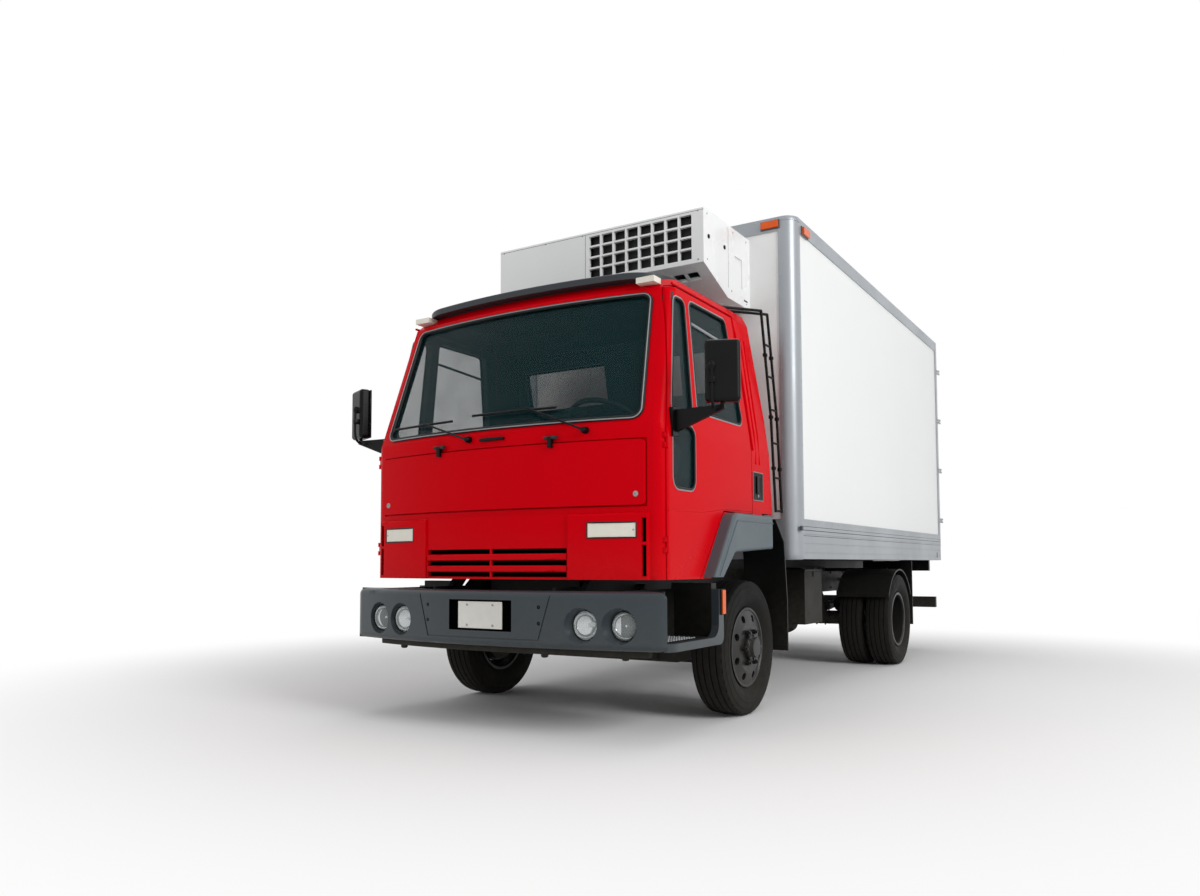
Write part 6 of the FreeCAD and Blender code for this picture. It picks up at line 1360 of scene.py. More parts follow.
@dataclass
class CabTrim:
    """Strips, beads and wiper caps on the cab's outside."""
    turn_lamp: tuple[float, float, float, float] = (0.612, 0.872, 1.040, 1.114)
    wiper_pivots: tuple[float, ...] = (-0.166, 0.591)
    pillar_rib: tuple[tuple[float, float], ...] = ((0.175, 1.52), (0.172, 1.70), (0.090, 2.30))
    seal_face: float = -0.842
    seal_end: tuple[float, float] = (0.845, FRONT_AXLE_Y - 0.60)
    seal_z: float = 2.4705

    def board_seal(self, fitter: Fitter) -> None:
        """Black strip between the roof board and the roof, set back under the board's edge."""
        end_x, end_y = self.seal_end
        points = [(x, FRONT_AXLE_Y + bow_y(x, self.seal_face), self.seal_z) for x in
                  [-0.70 + 1.40 * i / 20 for i in range(21)]]
        points = [(-end_x, end_y, self.seal_z), *points, (end_x, end_y, self.seal_z)]
        strip = tube("roof_board_seal", points, 0.011, sides=8)
        fitter.fit(strip, "cab", Paint.RUBBER)

    def lamp_bezels(self, fitter: Fitter) -> None:
        """Dark bezels round the cream lamps and a screw at each end of their lenses."""
        x0, x1, low, high = self.turn_lamp
        xs = [x0 - 0.004 + (x1 - x0 + 0.008) * i / 8 for i in range(9)]
        for name, side in SIDES:
            def at(x: float, z: float) -> tuple[float, float, float]:
                """Place on the front panel's skin."""
                return (side * x, FRONT_AXLE_Y + bow_y(x, PANEL_FACE) + 0.001, z)
            outline = [at(x, low - 0.003) for x in xs] + [at(x, high + 0.003) for x in reversed(xs)]
            bezel = tube(f"turn_lamp_bezel_{name}", outline, 0.0045, closed=True, sides=8)
            fitter.fit(bezel, "cab", Paint.RUBBER)
            screw = turned(f"turn_lamp_screws_{name}", [(0.001, 0.0045), (-0.0015, 0.0045), (-0.002, 0.003),
                                                        (-0.002, 0.0)],
                           at(x1 - 0.012, (low + high) / 2), "Y", 12)
            other = copied(screw, Matrix.Translation((-side * (x1 - x0 - 0.024), 0, 0)))
            fitter.fit(joined(f"turn_lamp_screws_{name}", [screw, other]), "cab", Paint.STEEL)

    def wipers(self, fitter: Fitter) -> None:
        """Nut caps on the wiper pivots and the black linkage cover between them."""
        profile = [(0.004, 0.019), (-0.012, 0.019), (-0.030, 0.016), (-0.038, 0.012), (-0.040, 0.0)]
        caps = [turned("wiper_pivot_caps", profile, (x, FRONT_AXLE_Y + bow_y(x, SCREEN_FOOT), 1.606), "Y", 24)
                for x in self.wiper_pivots]
        cover = bowed_slab("wiper_pivot_caps", -0.085, 0.085, -1.196, 0.019, 1.588, 1.606, 6)
        round_edges(cover, 0.005, 3)
        fitter.fit(smooth(joined("wiper_pivot_caps", [*caps, cover])), "cab", Paint.BLACK)

    def beads(self, fitter: Fitter) -> None:
        """Pressed beads: a gutter over each door, two ribs on each rear pillar, and low creases."""
        for name, side in SIDES:
            def at(y: float, z: float, stand: float = 0.0) -> tuple[float, float, float]:
                """Place on this side's skin of the cab, standing off it by a little."""
                return (side * (profile_at(CAB_SIDE, z) + stand), FRONT_AXLE_Y + y, z)
            gutter = tube(f"door_gutter_{name}", [at(-0.80, 2.427, 0.002), at(-0.40, 2.427, 0.002),
                                                  at(-0.012, 2.427, 0.002), at(0.020, 2.300, 0.002),
                                                  at(0.110, 1.700, 0.002), at(0.122, 1.600, 0.002)], 0.0075,
                          sides=10)
            ribs = [tube("pillar_rib", [at(y + shift, z) for y, z in self.pillar_rib], 0.006, sides=10)
                    for shift in (0.0, 0.055)]
            fitter.fit(joined(f"door_gutter_{name}", [gutter, *ribs]), "cab", Paint.RED)
            crease = tube(f"door_crease_{name}", [at(-1.006, 1.178, -0.0015), at(-0.62, 1.186, -0.0015),
                                                  at(-0.30, 1.216, -0.0015), at(0.098, 1.222, -0.0015)],
                          0.004,
                          sides=8)
            fitter.fit(crease, f"cab_door_{name}", Paint.RED)
            edge = tube(f"flare_crease_{name}", [(side * 1.0885, FRONT_AXLE_Y - 0.548, 0.838),
                                                 (side * 1.0885, FRONT_AXLE_Y - 0.300, 1.150),
                                                 (side * 1.0885, FRONT_AXLE_Y + 0.250, 1.150)], 0.0035,
                        sides=8)
            fitter.fit(edge, "cab", Paint.GREY)

    def dress(self, fitter: Fitter) -> None:
        """Fit the cab's strips."""
        self.board_seal(fitter)
        self.lamp_bezels(fitter)
        self.wipers(fitter)
        self.beads(fitter)


@dataclass
class LadderTrim:
    """Clamps that hold the access ladder's rails to the cab, with a bolt in each."""
    places: tuple[tuple[float, float], ...] = ((0.470, 1.52), (0.432, 1.85), (0.345, 2.24))
    spacing: float = 0.106

    def dress(self, fitter: Fitter) -> None:
        """Fit a clamp at each place on both rails."""
        clamps = []
        for y, z in self.places:
            for shift in (0.0, self.spacing):
                middle = FRONT_AXLE_Y + y + shift
                clamp = block("ladder_clamps", (1.000, middle - 0.014, z - 0.012),
                              (1.024, middle + 0.014, z + 0.012))
                round_edges(clamp, 0.004, 2)
                clamps += [clamp, dome("ladder_clamps", (1.024, middle, z), "X", 1, 0.006, 0.004)]
        fitter.fit(joined("ladder_clamps", clamps), "cab", Paint.CHASSIS)


# Insulated box

@dataclass
class BoxTrim:
    """Rivets, roof strips, corner caps and lamp bases of the box, and painted shade in its rail grooves."""
    half: float = 1.115
    front: float = -1.247
    rear: float = 3.091
    low: float = 0.931
    high: float = 3.244
    pitch: float = 0.145
    rivet_radius: float = 0.0055
    rivet_foot: float = 1.26
    front_pitch: tuple[float, float] = (0.1523, 0.158)

    def rivets(self, name: str, place: Sequence[float], axis: str, side: int, count: int,
               offset: Sequence[float]) -> bpy.types.Object:
        """Straight row of rivets that stand out along an axis."""
        return row(dome(name, place, axis, side, self.rivet_radius, 0.0025, 8), count, offset)

    def side_rivets(self, fitter: Fitter) -> None:
        """Rivet rows on the side rails, the roof rails and the corner posts."""
        along = int((self.rear - self.front - 0.26) / self.pitch)
        up = int((3.12 - 1.24) / self.pitch)
        for name, side in SIDES:
            x = side * self.half
            rows = [self.rivets("box_rivets", (x, self.front + 0.13, z), "X", side, along, (0, self.pitch, 0))
                    for z in (1.183, 3.160, 3.228)]
            rows += [self.rivets("box_rivets", (x, y, self.rivet_foot), "X", side, up, (0, 0, self.pitch))
                     for y in (self.front + 0.102, self.rear - 0.090, self.rear - 0.018)]
            fitter.fit(joined(f"box_rivets_{name}", rows), "chassis", Paint.RAIL)

    def front_rivets(self, fitter: Fitter) -> None:
        """Rivet rows on the front wall's frame."""
        across, up = self.front_pitch
        rows = [self.rivets("box_front_rivets", (-0.99, self.front, z), "Y", -1, 14, (across, 0, 0))
                for z in (3.226, 1.185)]
        rows += [self.rivets("box_front_rivets", (x, self.front, self.rivet_foot), "Y", -1, 12, (0, 0, up))
                 for x in (-1.012, 1.012)]
        fitter.fit(joined("box_front_rivets", rows), "chassis", Paint.RAIL)

    def roof(self, fitter: Fitter) -> None:
        """Joint strips across the roof skin."""
        strip = block("roof_joint_strips", (-1.040, -0.20, 3.2355), (1.040, -0.14, 3.2385))
        round_edges(strip, 0.0012, 1)
        fitter.fit(row(strip, 3, (0, 1.12, 0)), "chassis", Paint.RAIL)

    def caps(self, fitter: Fitter) -> None:
        """Round cast caps on the roof corners and the feet of the front posts."""
        caps = []
        for side in (-1, 1):
            x, y = side * (self.half - 0.09), self.front + 0.09
            for z, way, tall in ((self.high + 0.001, 1, -0.030), (self.low - 0.001, -1, 0.034)):
                profile = [(way * 0.004, 0.0), (way * 0.004, 0.070), (0.0, 0.088), (way * -0.006, 0.0925),
                           (tall, 0.0925), (tall, 0.088)]
                caps.append(turned("post_caps", profile, (x, y, z), "Z", 48))
        fitter.fit(smooth(joined("post_caps", caps), 40), "chassis", Paint.RAIL)

    def fittings(self, fitter: Fitter) -> None:
        """Bases of the marker lamps and the front drain brackets."""
        for name, side in SIDES:
            bases = [frame_ring("lamp_bases", (0.880, self.front - 0.007, 3.164),
                                (1.014, self.front - 0.0002, 3.224), 0.0068, "Y"),
                     frame_ring("lamp_bases", (self.half + 0.0002, -1.110, 3.141),
                                (self.half + 0.007, -0.976, 3.201), 0.0068, "X")]
            bracket = block("lamp_bases", (self.half - 0.001, -1.218, 1.118),
                            (self.half + 0.016, -1.190, 1.150))
            whole = on_its_side(joined("lamp_bases", [*bases, round_edges(bracket, 0.004, 2)]), side)
            whole.name = f"lamp_bases_{name}"
            fitter.fit(whole, "chassis", Paint.GREY)

    def grooves(self, fitter: Fitter) -> None:
        """Painted shade: dark lines in the side rail's grooves, and a dark inset block for the upright drain
        slot near the rear foot.
        """
        for name, side in SIDES:
            x0, x1 = sorted((side * (self.half - 0.001), side * (self.half + 0.0008)))
            lines = [block("rail_grooves", (x0, self.front + 0.095, z), (x1, self.rear - 0.004, z + tall))
                     for z, tall in ((1.148, 0.0025), (1.122, 0.004), (1.086, 0.0025))]
            slot = block("rail_grooves", (x0, 2.905, 0.958), (x1, 2.925, 1.012))
            with editing(slot, "FACE") as mesh:
                select_faces(mesh, lambda face: abs(face.normal.x) > FACING)
                bpy.ops.mesh.inset(thickness=0.003)
            piece = joined(f"rail_grooves_{name}", [*lines, round_edges(slot, 0.0004, 1)])
            fitter.fit(piece, "chassis", Paint.CHASSIS)

    def dress(self, fitter: Fitter) -> None:
        """Fit the box's small parts."""
        self.grooves(fitter)
        self.side_rivets(fitter)
        self.front_rivets(fitter)
        self.roof(fitter)
        self.caps(fitter)
        self.fittings(fitter)


@dataclass
class RearTrim:
    """Rubber seals, strap bolts, lamp lenses, buffers, reflectors and the blank plate at the rear."""
    lamp_x: float = 0.850
    lens_pitch: float = 0.096
    strap_z: tuple[float, float] = (1.085, 3.196)
    straps_each: int = 4

    def seals(self, fitter: Fitter) -> None:
        """Black seal round each door's edge."""
        low, high, inner, outer = 1.093, 3.188, 0.0085, 1.1025
        for name, side in SIDES:
            outline = rounded_outline([(inner, low), (inner, high), (outer, high), (outer, low)], 0.02, 3)
            points = [(side * x, 3.1485, z) for x, z in spread_out(outline, 0.5)]
            seal = tube(f"rear_door_seal_{name}", points, 0.0045, closed=True, sides=8)
            fitter.fit(seal, f"rear_door_{name}", Paint.RUBBER)

    def straps(self, fitter: Fitter) -> None:
        """Three bolts at each of four heights near a door's outer edge."""
        low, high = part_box("rear_door_left")
        foot, tall = self.strap_z[0], self.strap_z[1] - self.strap_z[0]
        for name, side in SIDES:
            bolts = []
            for index in range(self.straps_each):
                z = foot + tall * (index + 0.5) / self.straps_each
                for x in (0.90, 0.98, 1.06):
                    bolts.append(dome("strap_bolts", (side * x, 3.154, z), "Y", 1, 0.010, 0.006, 12))
            fitter.fit(joined(f"strap_bolts_{name}", bolts), f"rear_door_{name}", Paint.STEEL)
        log.info("rear door spans %s to %s", low, high)

    def lamps(self, fitter: Fitter) -> None:
        """Red, orange and cream lenses on the rear lamp bodies."""
        for name, side in SIDES:
            for index, (label, paint, slot) in enumerate((("brake", Paint.REAR_RED, "lamp_red"),
                                                          ("turn", Paint.ORANGE, "lamp_orange"),
                                                          ("reverse", Paint.CREAM, "lamp_cream"))):
                centre = side * (self.lamp_x + self.lens_pitch - index * self.lens_pitch)
                lens = block(f"{label}_lens_{name}", (centre - 0.044, 3.0905, 0.829),
                             (centre + 0.044, 3.101, 0.923))
                inset_face(lens, (0, 1, 0), (0.010, 0.0), push=(0, 0.004, 0))
                fitter.fit(round_edges(lens, 0.003, 3), "chassis", paint)

    def plate_and_buffers(self, fitter: Fitter) -> None:
        """Blank rear plate on its holder, plate lamp, reflectors and ribbed rubber buffers."""
        holder = block("rear_plate_holder", (-0.165, 3.0905, 0.958), (0.165, 3.0975, 1.092))
        round_edges(holder, 0.003, 2)
        lamp = block("rear_plate_lamp", (-0.045, 3.0905, 1.096), (0.045, 3.118, 1.120))
        round_edges(lamp, 0.005, 3)
        fitter.fit(joined("rear_plate_holder", [holder, lamp]), "chassis", Paint.BLACK)
        blank = block("rear_plate", (-0.152, 3.0975, 0.968), (0.152, 3.1000, 1.082))
        inset_face(blank, (0, 1, 0), (0.006, 0.0), (0.002, -0.001))
        fitter.fit(blank, "chassis", Paint.PLATE)
        for name, side in SIDES:
            ribs = [block("buffer_ribs", (side * 0.905 - 0.050, 3.169, 0.958 + 0.022 * i),
                          (side * 0.905 + 0.050, 3.175, 0.968 + 0.022 * i)) for i in range(3)]
            ribs = [round_edges(rib, 0.002, 2) for rib in ribs]
            fitter.fit(joined(f"buffer_ribs_{name}", ribs), "chassis", Paint.RUBBER)
            disc = turned(f"rear_reflector_{name}",
                          [(-0.001, 0.034), (0.006, 0.034), (0.008, 0.031), (0.0065, 0.029),
                                                     (0.0075, 0.0)], (side * 0.58, 3.091, 1.03), "Y", 36)
            fitter.fit(smooth(disc), "chassis", Paint.REAR_RED)

    def dress(self, fitter: Fitter) -> None:
        """Fit the rear end's parts."""
        self.seals(fitter)
        self.straps(fitter)
        self.lamps(fitter)
        self.plate_and_buffers(fitter)


@dataclass
class FridgeTrim:
    """Screws, panel lines and latches of the fridge unit, with painted shade for its side slots."""
    half: float = 0.792
    front: float = -1.973

    def screws(self, fitter: Fitter) -> None:
        """Screw heads on the front face and on the side panels."""
        heads = []
        for x in (-0.76, -0.40, -0.10, 0.755):
            for z in (2.79, 3.10):
                heads.append(dome("fridge_screws", (x, self.front, z), "Y", -1, 0.006, 0.003))
        for side in (-1, 1):
            for y, z in ((-1.92, 3.09), (-1.92, 2.80), (-1.52, 3.09), (-1.30, 3.09), (-1.55, 2.69),
                         (-1.30, 2.66),
                         (-1.51, 2.93), (-1.36, 2.93), (-1.51, 2.76), (-1.36, 2.76)):
                sunk = 0.012 if y in (-1.51, -1.36) else 0.0
                heads.append(dome("fridge_screws", (side * (self.half - sunk), y, z), "X", side, 0.006,
                                  0.003))
        fitter.fit(joined("fridge_screws", heads), "chassis", Paint.STEEL)

    def seams(self, fitter: Fitter) -> None:
        """Thin dark joints between the housing's panels, and a dark strip of painted shade for the slot low
        on each side.
        """
        lines = [block("fridge_seams_and_slot_shade", (-0.793, self.front - 0.0006, 3.1005),
                       (0.793, self.front + 0.001, 3.1025)),
                 block("fridge_seams_and_slot_shade", (-0.0785, self.front - 0.0006, 2.775),
                       (-0.0765, self.front + 0.001, 3.100))]
        for side in (-1, 1):
            x0, x1 = sorted((side * (self.half - 0.001), side * (self.half + 0.0006)))
            lines.append(block("fridge_seams_and_slot_shade", (x0, -1.600, 2.70), (x1, -1.598, 3.10)))
            lines.append(block("fridge_seams_and_slot_shade", (x0, -1.345, 2.672), (x1, -1.285, 2.684)))
        fitter.fit(joined("fridge_seams_and_slot_shade", lines), "chassis", Paint.BLACK)

    def latches(self, fitter: Fitter) -> None:
        """Two turn latches on each side of the housing."""
        latches = []
        for side in (-1, 1):
            for y in (-1.90, -1.66):
                profile = [(-side * 0.001, 0.014), (side * 0.004, 0.014), (side * 0.005, 0.012),
                           (side * 0.005, 0.0)]
                latches.append(turned("fridge_latches", profile, (side * self.half, y, 2.95), "X", 24))
                bar = block("fridge_latches", (side * self.half - 0.008, y - 0.004, 2.939),
                            (side * self.half + 0.008, y + 0.004, 2.961))
                latches.append(round_edges(bar, 0.002, 2))
        fitter.fit(smooth(joined("fridge_latches", latches)), "chassis", Paint.BLACK)

    def dress(self, fitter: Fitter) -> None:
        """Fit the fridge unit's small parts."""
        self.screws(fitter)
        self.seams(fitter)
        self.latches(fitter)


# Chassis

@dataclass
class ChassisTrim:
    """Bolts, spring clips, dampers, brake chambers, tank straps and the valve unit of the chassis."""
    rail_x: float = 0.420
    spring_x: float = 0.385

    def rail_bolts(self, fitter: Fitter) -> None:
        """Bolt heads along the outer webs of both rails."""
        rows = []
        for side in (-1, 1):
            for z in (0.675, 0.815):
                bolt = dome("rail_bolts", (side * self.rail_x, -2.62, z), "X", side, 0.011, 0.008, 6)
                rows.append(row(bolt, 15, (0, 0.38, 0)))
        fitter.fit(joined("rail_bolts", rows), "chassis", Paint.CASTING)

    def spring_clips(self, fitter: Fitter) -> None:
        """U bolts over each axle and bands round the leaf springs."""
        parts = []
        for axle, beam, top in ((FRONT_AXLE_Y, 0.375, 0.450), (REAR_AXLE_Y, 0.405, 0.545)):
            for side in (-1, 1):
                x = side * self.spring_x
                for y in (axle - 0.056, axle + 0.056):
                    parts.append(tube("spring_clips", [(x - 0.041, y, beam - 0.07), (x - 0.041, y, top),
                                                       (x + 0.041, y, top), (x + 0.041, y, beam - 0.07)],
                                      0.008))
                plate_low = top + 0.004
                parts.append(round_edges(block("spring_clips", (x - 0.052, axle - 0.075, plate_low),
                                               (x + 0.052, axle + 0.075, plate_low + 0.014)), 0.003, 2))
        fitter.fit(joined("spring_clips", parts), "chassis", Paint.CASTING)

    def dampers(self, fitter: Fitter) -> None:
        """Four telescopic dampers between the rails and the axles."""
        for label, foot, head in (("front", (0.50, FRONT_AXLE_Y - 0.10, 0.400),
                                   (0.455, FRONT_AXLE_Y - 0.30, 0.760)),
                                  ("rear", (0.46, REAR_AXLE_Y - 0.14, 0.430),
                                   (0.445, REAR_AXLE_Y - 0.38, 0.760))):
            low, high = Vector(foot), Vector(head)
            middle = low.lerp(high, 0.5)
            eye = Vector((0.03, 0, 0))
            parts = [tube("damper", ends, radius, sides=16)
                     for ends, radius in (([low, middle], 0.024), ([middle.lerp(low, 0.1), high], 0.031),
                                          ([low - eye, low + eye], 0.020), ([high - eye, high + eye], 0.020))]
            fitter.pair(joined(f"{label}_damper_left", parts), "chassis", Paint.CHASSIS, "chassis_black")

    def tank_parts(self, fitter: Fitter) -> None:
        """Straps and cap of the fuel tank, bands of the air tank and the battery box lid."""
        straps = []
        for x, y0, y1, z, radius in ((-0.62, -0.80, -0.32, 0.640, 0.2015),
                                     (0.53, -0.86, -0.44, 0.640, 0.1115)):
            for y in (y0, y1):
                profile = [(-0.022, radius), (-0.020, radius + 0.004), (0.020, radius + 0.004),
                           (0.022, radius)]
                straps.append(turned("tank_straps", profile, (x, y, z), "Y", 48, closed=True))
        fitter.fit(smooth(joined("tank_straps", straps)), "chassis", Paint.STEEL)
        cap = turned("fuel_cap", [(-0.004, 0.045), (0.020, 0.045), (0.024, 0.038), (0.024, 0.0)],
                     (-0.70, -0.56, 0.822), "Z", 32)
        fitter.fit(smooth(cap), "chassis", Paint.BLACK)
        lid = block("battery_lid", (0.415, -0.314, 0.8402), (0.826, 0.096, 0.8602))
        inset_face(lid, (0, 0, 1), (0.030, 0.0), push=(0, 0, 0.010))
        clip = block("battery_lid", (0.8205, -0.120, 0.800), (0.8265, -0.098, 0.868))
        fitter.fit(joined("battery_lid", [round_edges(lid, 0.005, 3), round_edges(clip, 0.002, 2)]),
                   "chassis",
                   Paint.BLACK)

    def brakes(self, fitter: Fitter) -> None:
        """Brake chambers on the rear axle and the brown valve unit outside the left rail."""
        chambers = []
        for side in (-1, 1):
            profile = [(0.0, 0.0), (0.0, 0.055), (0.010, 0.072), (0.060, 0.074), (0.066, 0.080),
                       (0.074, 0.080),
                       (0.080, 0.074), (0.130, 0.068), (0.142, 0.040), (0.142, 0.0)]
            chambers.append(turned("brake_chambers", profile, (side * 0.53, REAR_AXLE_Y + 0.085, 0.520), "Y",
                                   36))
        fitter.fit(smooth(joined("brake_chambers", chambers)), "chassis", Paint.CASTING)
        body = block("valve_unit", (0.430, 0.262, 0.610), (0.520, 0.372, 0.740))
        round_edges(body, 0.010, 3)
        parts = [body]
        for y, z in ((0.290, 0.640), (0.345, 0.640), (0.317, 0.710)):
            parts.append(turned("valve_unit", [(0.0, 0.016), (0.022, 0.016), (0.026, 0.012), (0.034, 0.012),
                                               (0.034, 0.0)], (0.519, y, z), "X", 20))
        fitter.fit(smooth(joined("valve_unit", parts)), "chassis", Paint.BRASS)

    def dress(self, fitter: Fitter) -> None:
        """Fit the chassis parts."""
        self.rail_bolts(fitter)
        self.spring_clips(fitter)
        self.dampers(fitter)
        self.tank_parts(fitter)
        self.brakes(fitter)


# Inside of the cab

@dataclass
class Seating:
    """Two upholstered seats: swollen cushions and piped backs on dark bases."""
    places: tuple[float, ...] = (-0.450, 0.450)
    width: float = 0.480
    front: float = -2.210
    length: float = 0.470
    top: float = 1.440
    cushion: float = 0.120
    back_height: float = 0.560
    back_depth: float = 0.110
    slack: float = 0.018
    piping_inset: float = 0.07
    voxel: float = 0.006
    pressure: float = 4.0
    last_frame: int = 20

    def pad(self, name: str, low: Sequence[float], high: Sequence[float], cap: float) -> bpy.types.Object:
        """Blow up a slightly smaller block as cloth, within a cap on how far it may swell."""
        piece = block(name, [v + self.slack for v in low], [v - self.slack for v in high])
        round_edges(piece, 0.022, 3)
        pick_only(piece)
        remesh = piece.modifiers.new("remesh", "REMESH")
        remesh.mode = "VOXEL"
        remesh.voxel_size = self.voxel
        bpy.ops.object.modifier_apply(modifier=remesh.name)
        self.swell(piece, cap)
        pick_only(piece)
        finer = piece.modifiers.new("finer", "SUBSURF")
        finer.levels = finer.render_levels = 1
        bpy.ops.object.modifier_apply(modifier=finer.name)
        bpy.ops.object.shade_smooth()
        return piece

    def swell(self, piece: bpy.types.Object, cap: float) -> None:
        """Run the cloth, keep each point within the cap of its start and apply it."""
        rest = [vertex.co.copy() for vertex in piece.data.vertices]
        cloth = piece.modifiers.new("cloth", "CLOTH")
        cloth.settings.use_pressure = True
        cloth.settings.uniform_pressure_force = self.pressure
        cloth.settings.effector_weights.gravity = 0.0
        cloth.point_cache.frame_start = 1
        cloth.point_cache.frame_end = self.last_frame
        for frame_number in range(1, self.last_frame + 1):
            bpy.context.scene.frame_set(frame_number)
        pick_only(piece)
        bpy.ops.object.modifier_apply(modifier=cloth.name)
        for vertex, start in zip(piece.data.vertices, rest):
            move = vertex.co - start
            if move.length > cap:
                vertex.co = start + move.normalized() * cap
        bpy.context.scene.frame_set(1)

    def seat(self, fitter: Fitter, label: str, x: float) -> None:
        """Make one seat's cushion, back, piping and base."""
        x0, x1 = x - self.width / 2, x + self.width / 2
        rear = self.front + self.length
        cushion = self.pad(f"seat_cushion_{label}", (x0, self.front, self.top - self.cushion),
                           (x1, rear, self.top), self.slack)
        back = self.pad(f"seat_back_{label}", (x0, rear, self.top - self.cushion),
                        (x1, rear + self.back_depth, self.top + self.back_height), self.slack)
        for piece, replaces in ((cushion, ["seats"]), (back, ())):
            fitter.fit(piece, "cab", Paint.CLOTH, replaces)
        left, right = x0 + self.piping_inset, x1 - self.piping_inset
        low, high = self.top + 0.06, self.top + self.back_height - self.piping_inset
        outline = rounded_outline([(left, low), (left, high), (right, high), (right, low)], 0.05, 6)
        piping = tube(f"seat_piping_{label}", [(a, rear + 0.004, b) for a, b in outline], 0.004, closed=True,
                      sides=8)
        fitter.fit(piping, "cab", Paint.BLACK)
        base = block(f"seat_base_{label}", (x - 0.15, self.front + 0.13, 1.2853),
                     (x + 0.15, rear - 0.03, 1.318))
        inset_face(base, (0, 0, 1), (0.02, 0.0))
        fitter.fit(round_edges(base, 0.006, 2), "cab", Paint.BLACK)

    def dress(self, fitter: Fitter) -> None:
        """Make both seats."""
        for label, x in zip(("right", "left"), self.places):
            self.seat(fitter, label, x)


@dataclass
class DashTrim:
    """Instrument hood, dials without marks and the gear lever."""
    top: float = 1.600
    wheel_x: float = 0.400

    def dress(self, fitter: Fitter) -> None:
        """Fit the dashboard's parts."""
        hood = block("instrument_hood", (self.wheel_x - 0.21, -2.84, self.top + 0.0003),
                     (self.wheel_x + 0.21, -2.66, self.top + 0.085))
        inset_face(hood, (0, 1, 0), (0.018, 0.0), push=(0, -0.05, 0))
        fitter.fit(round_edges(hood, 0.010, 3), "cab", Paint.DASH)
        dials = []
        for x in (self.wheel_x - 0.105, self.wheel_x, self.wheel_x + 0.105):
            dials.append(turned("dials", [(-0.001, 0.032), (0.008, 0.032), (0.009, 0.029), (0.004, 0.028),
                                          (0.004, 0.0)], (x, -2.710, self.top + 0.044), "Y", 28))
        fitter.fit(smooth(joined("dials", dials)), "cab", Paint.STEEL)
        lever = joined("gear_lever", [tube("gear_lever", [(0.06, -2.17, 1.2855), (0.055, -2.20, 1.42),
                                                          (0.05, -2.22, 1.50)], 0.009, smooth=True),
                                      turned("gear_lever", [(-0.028, 0.0), (-0.024, 0.016), (0.0, 0.026),
                                                            (0.020, 0.022), (0.028, 0.0)],
                                             (0.05, -2.22, 1.515),
                                             "Z", 20)])
        fitter.fit(smooth(lever), "cab", Paint.BLACK)


# Studio

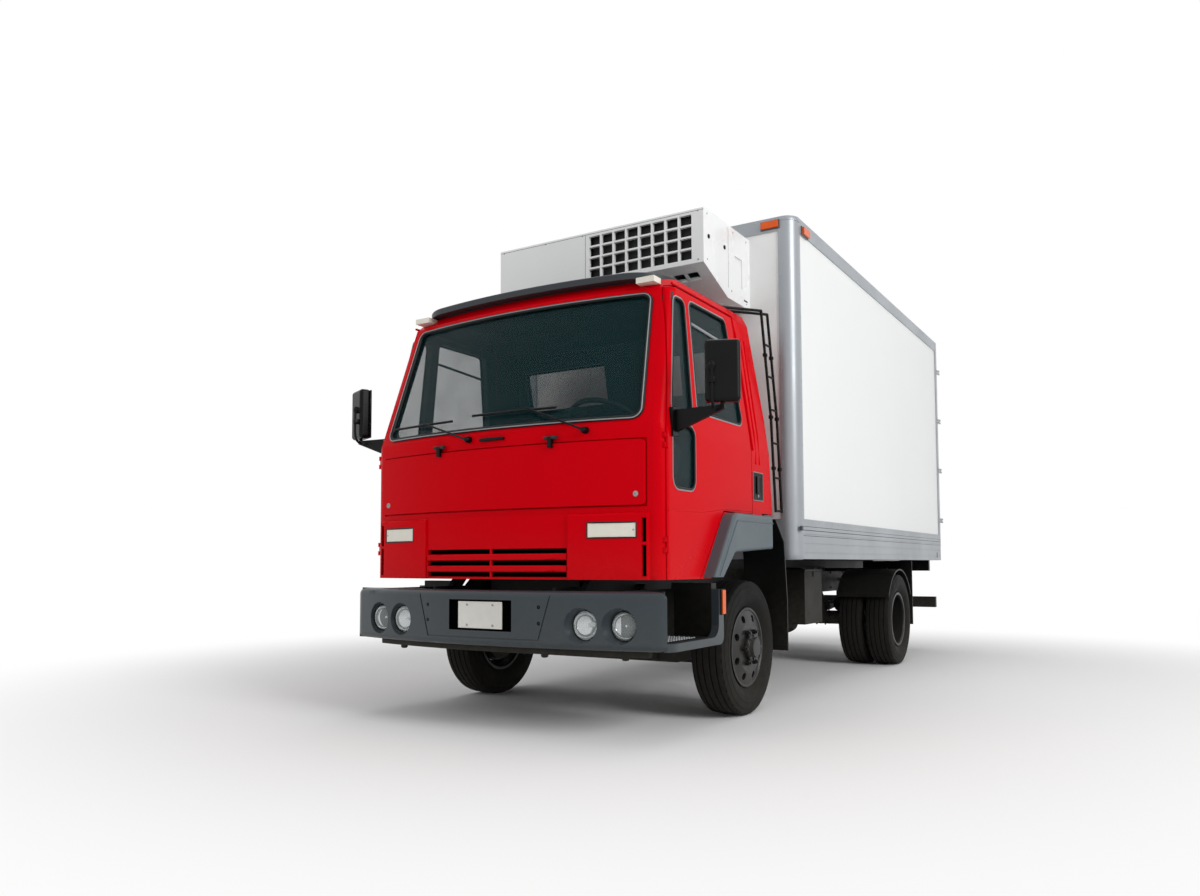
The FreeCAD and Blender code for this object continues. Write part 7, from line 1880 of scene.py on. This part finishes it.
@dataclass
class Studio:
    """Camera at the photograph's place, pale floor and soft light."""
    camera_place: tuple[float, float, float] = (3.209, -7.098, 0.902)
    yaw: float = 0.555
    pitch: float = 0.058
    roll: float = -0.003
    lens_mm: float = 27.77
    shift_up: float = 0.0519
    floor_size: float = 160.0
    floor_colour: str = "f2f2f2"
    fade: tuple[float, float] = (2.8, 6.5)
    world_light: float = 0.42

    def camera(self) -> None:
        """Set the camera from its place and angles."""
        ahead = Vector((-math.sin(self.yaw) * math.cos(self.pitch), math.cos(self.yaw) * math.cos(self.pitch),
                        math.sin(self.pitch)))
        right = Vector((math.cos(self.yaw), math.sin(self.yaw), 0.0))
        up = right.cross(ahead)
        tilted_right = right * math.cos(self.roll) + up * math.sin(self.roll)
        tilted_up = -right * math.sin(self.roll) + up * math.cos(self.roll)
        data = bpy.data.cameras.new("camera")
        data.sensor_width = 36.0
        data.lens = self.lens_mm
        data.shift_y = self.shift_up
        data.clip_end = 400.0
        camera = bpy.data.objects.new("camera", data)
        turn = Matrix((tilted_right, tilted_up, -ahead)).transposed().to_4x4()
        camera.matrix_world = Matrix.Translation(self.camera_place) @ turn
        bpy.context.scene.collection.objects.link(camera)
        bpy.context.scene.camera = camera

    def seen_white(self, tree: bpy.types.NodeTree) -> bpy.types.NodeSocket:
        """Share that is 1 for what the camera sees, straight, in a reflection or through glass."""
        path = add_node(tree, "ShaderNodeLightPath").outputs
        first = math_node(tree, "MAXIMUM", path["Is Camera Ray"], path["Is Transmission Ray"])
        return math_node(tree, "MAXIMUM", first, path["Is Glossy Ray"])

    def floor(self) -> None:
        """Lay the pale floor: it keeps the shadow near the truck and fades to plain white away from it."""
        bpy.ops.object.select_all(action="DESELECT")
        bpy.ops.mesh.primitive_plane_add(size=self.floor_size, location=(0, 0, 0))
        floor = bpy.context.active_object
        floor.name = "studio_floor"
        material, tree, shader, coordinates = new_material("pale_studio_floor")
        shader.inputs["Base Color"].default_value = linear(self.floor_colour)
        shader.inputs["Roughness"].default_value = 0.9
        shader.inputs["Specular IOR Level"].default_value = 0.0
        away = add_node(tree, "ShaderNodeVectorMath", {0: coordinates.outputs["Object"]}, operation="LENGTH")
        fade = ranged(tree, away.outputs["Value"], self.fade, (0.0, 1.0))
        share = math_node(tree, "MULTIPLY", fade, self.seen_white(tree))
        white = add_node(tree, "ShaderNodeEmission", {"Color": linear("ffffff"), "Strength": 1.0})
        mixed = add_node(tree, "ShaderNodeMixShader", {0: share, 1: shader.outputs[0], 2: white.outputs[0]})
        output = next(node for node in tree.nodes if node.type == "OUTPUT_MATERIAL")
        tree.links.new(mixed.outputs[0], output.inputs["Surface"])
        floor.data.materials.append(material)

    def light(self) -> None:
        """Set a bright even world and three large soft lamps."""
        world = bpy.data.worlds.new("soft_studio")
        world.use_nodes = True
        tree = world.node_tree
        tree.nodes.clear()
        plain = add_node(tree, "ShaderNodeBackground",
                         {"Color": linear("ffffff"), "Strength": self.world_light})
        white = add_node(tree, "ShaderNodeBackground", {"Color": linear("ffffff"), "Strength": 1.0})
        mix = add_node(tree, "ShaderNodeMixShader", {0: self.seen_white(tree), 1: plain.outputs[0],
                                                     2: white.outputs[0]})
        add_node(tree, "ShaderNodeOutputWorld", {"Surface": mix.outputs[0]})
        bpy.context.scene.world = world
        for name, place, size, power, mirrored_too in (("key", (11.0, -4.5, 6.5), 5.0, 760.0, True),
                                                       ("fill", (-5.0, -10.0, 5.5), 6.0, 180.0, False),
                                                       ("top", (0.0, 1.0, 9.5), 8.0, 210.0, True)):
            data = bpy.data.lights.new(name, "AREA")
            data.size = size
            data.energy = power
            lamp = bpy.data.objects.new(name, data)
            lamp.location = place
            lamp.rotation_euler = (Vector((0, 0, 1.4)) - Vector(place)).to_track_quat("-Z", "Y").to_euler()
            lamp.visible_glossy = mirrored_too
            bpy.context.scene.collection.objects.link(lamp)
        bpy.context.scene.view_settings.view_transform = "Standard"

    def build(self) -> None:
        """Set up camera, floor and light."""
        self.camera()
        self.floor()
        self.light()


def main() -> None:
    """Dress the truck and set the studio."""
    logging.basicConfig(level=logging.INFO, format="%(message)s")
    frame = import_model()
    shop = PaintShop()
    for name, node in frame["nodes"].items():
        shop.coat(node, NODE_PAINT[name])
    fitter = Fitter(shop)
    for assembly in (PaintedPlaces(), WheelSet(), Glazing(), Headlamps(), FrontTrim(), DoorTrim(),
                     BumperTrim(),
                     CabTrim(), LadderTrim(), BoxTrim(), RearTrim(), FridgeTrim(), ChassisTrim(), Seating(),
                     DashTrim()):
        log.info("building %s", type(assembly).__name__)
        assembly.dress(fitter)
    Studio().build()


if __name__ == "__main__":
    main()
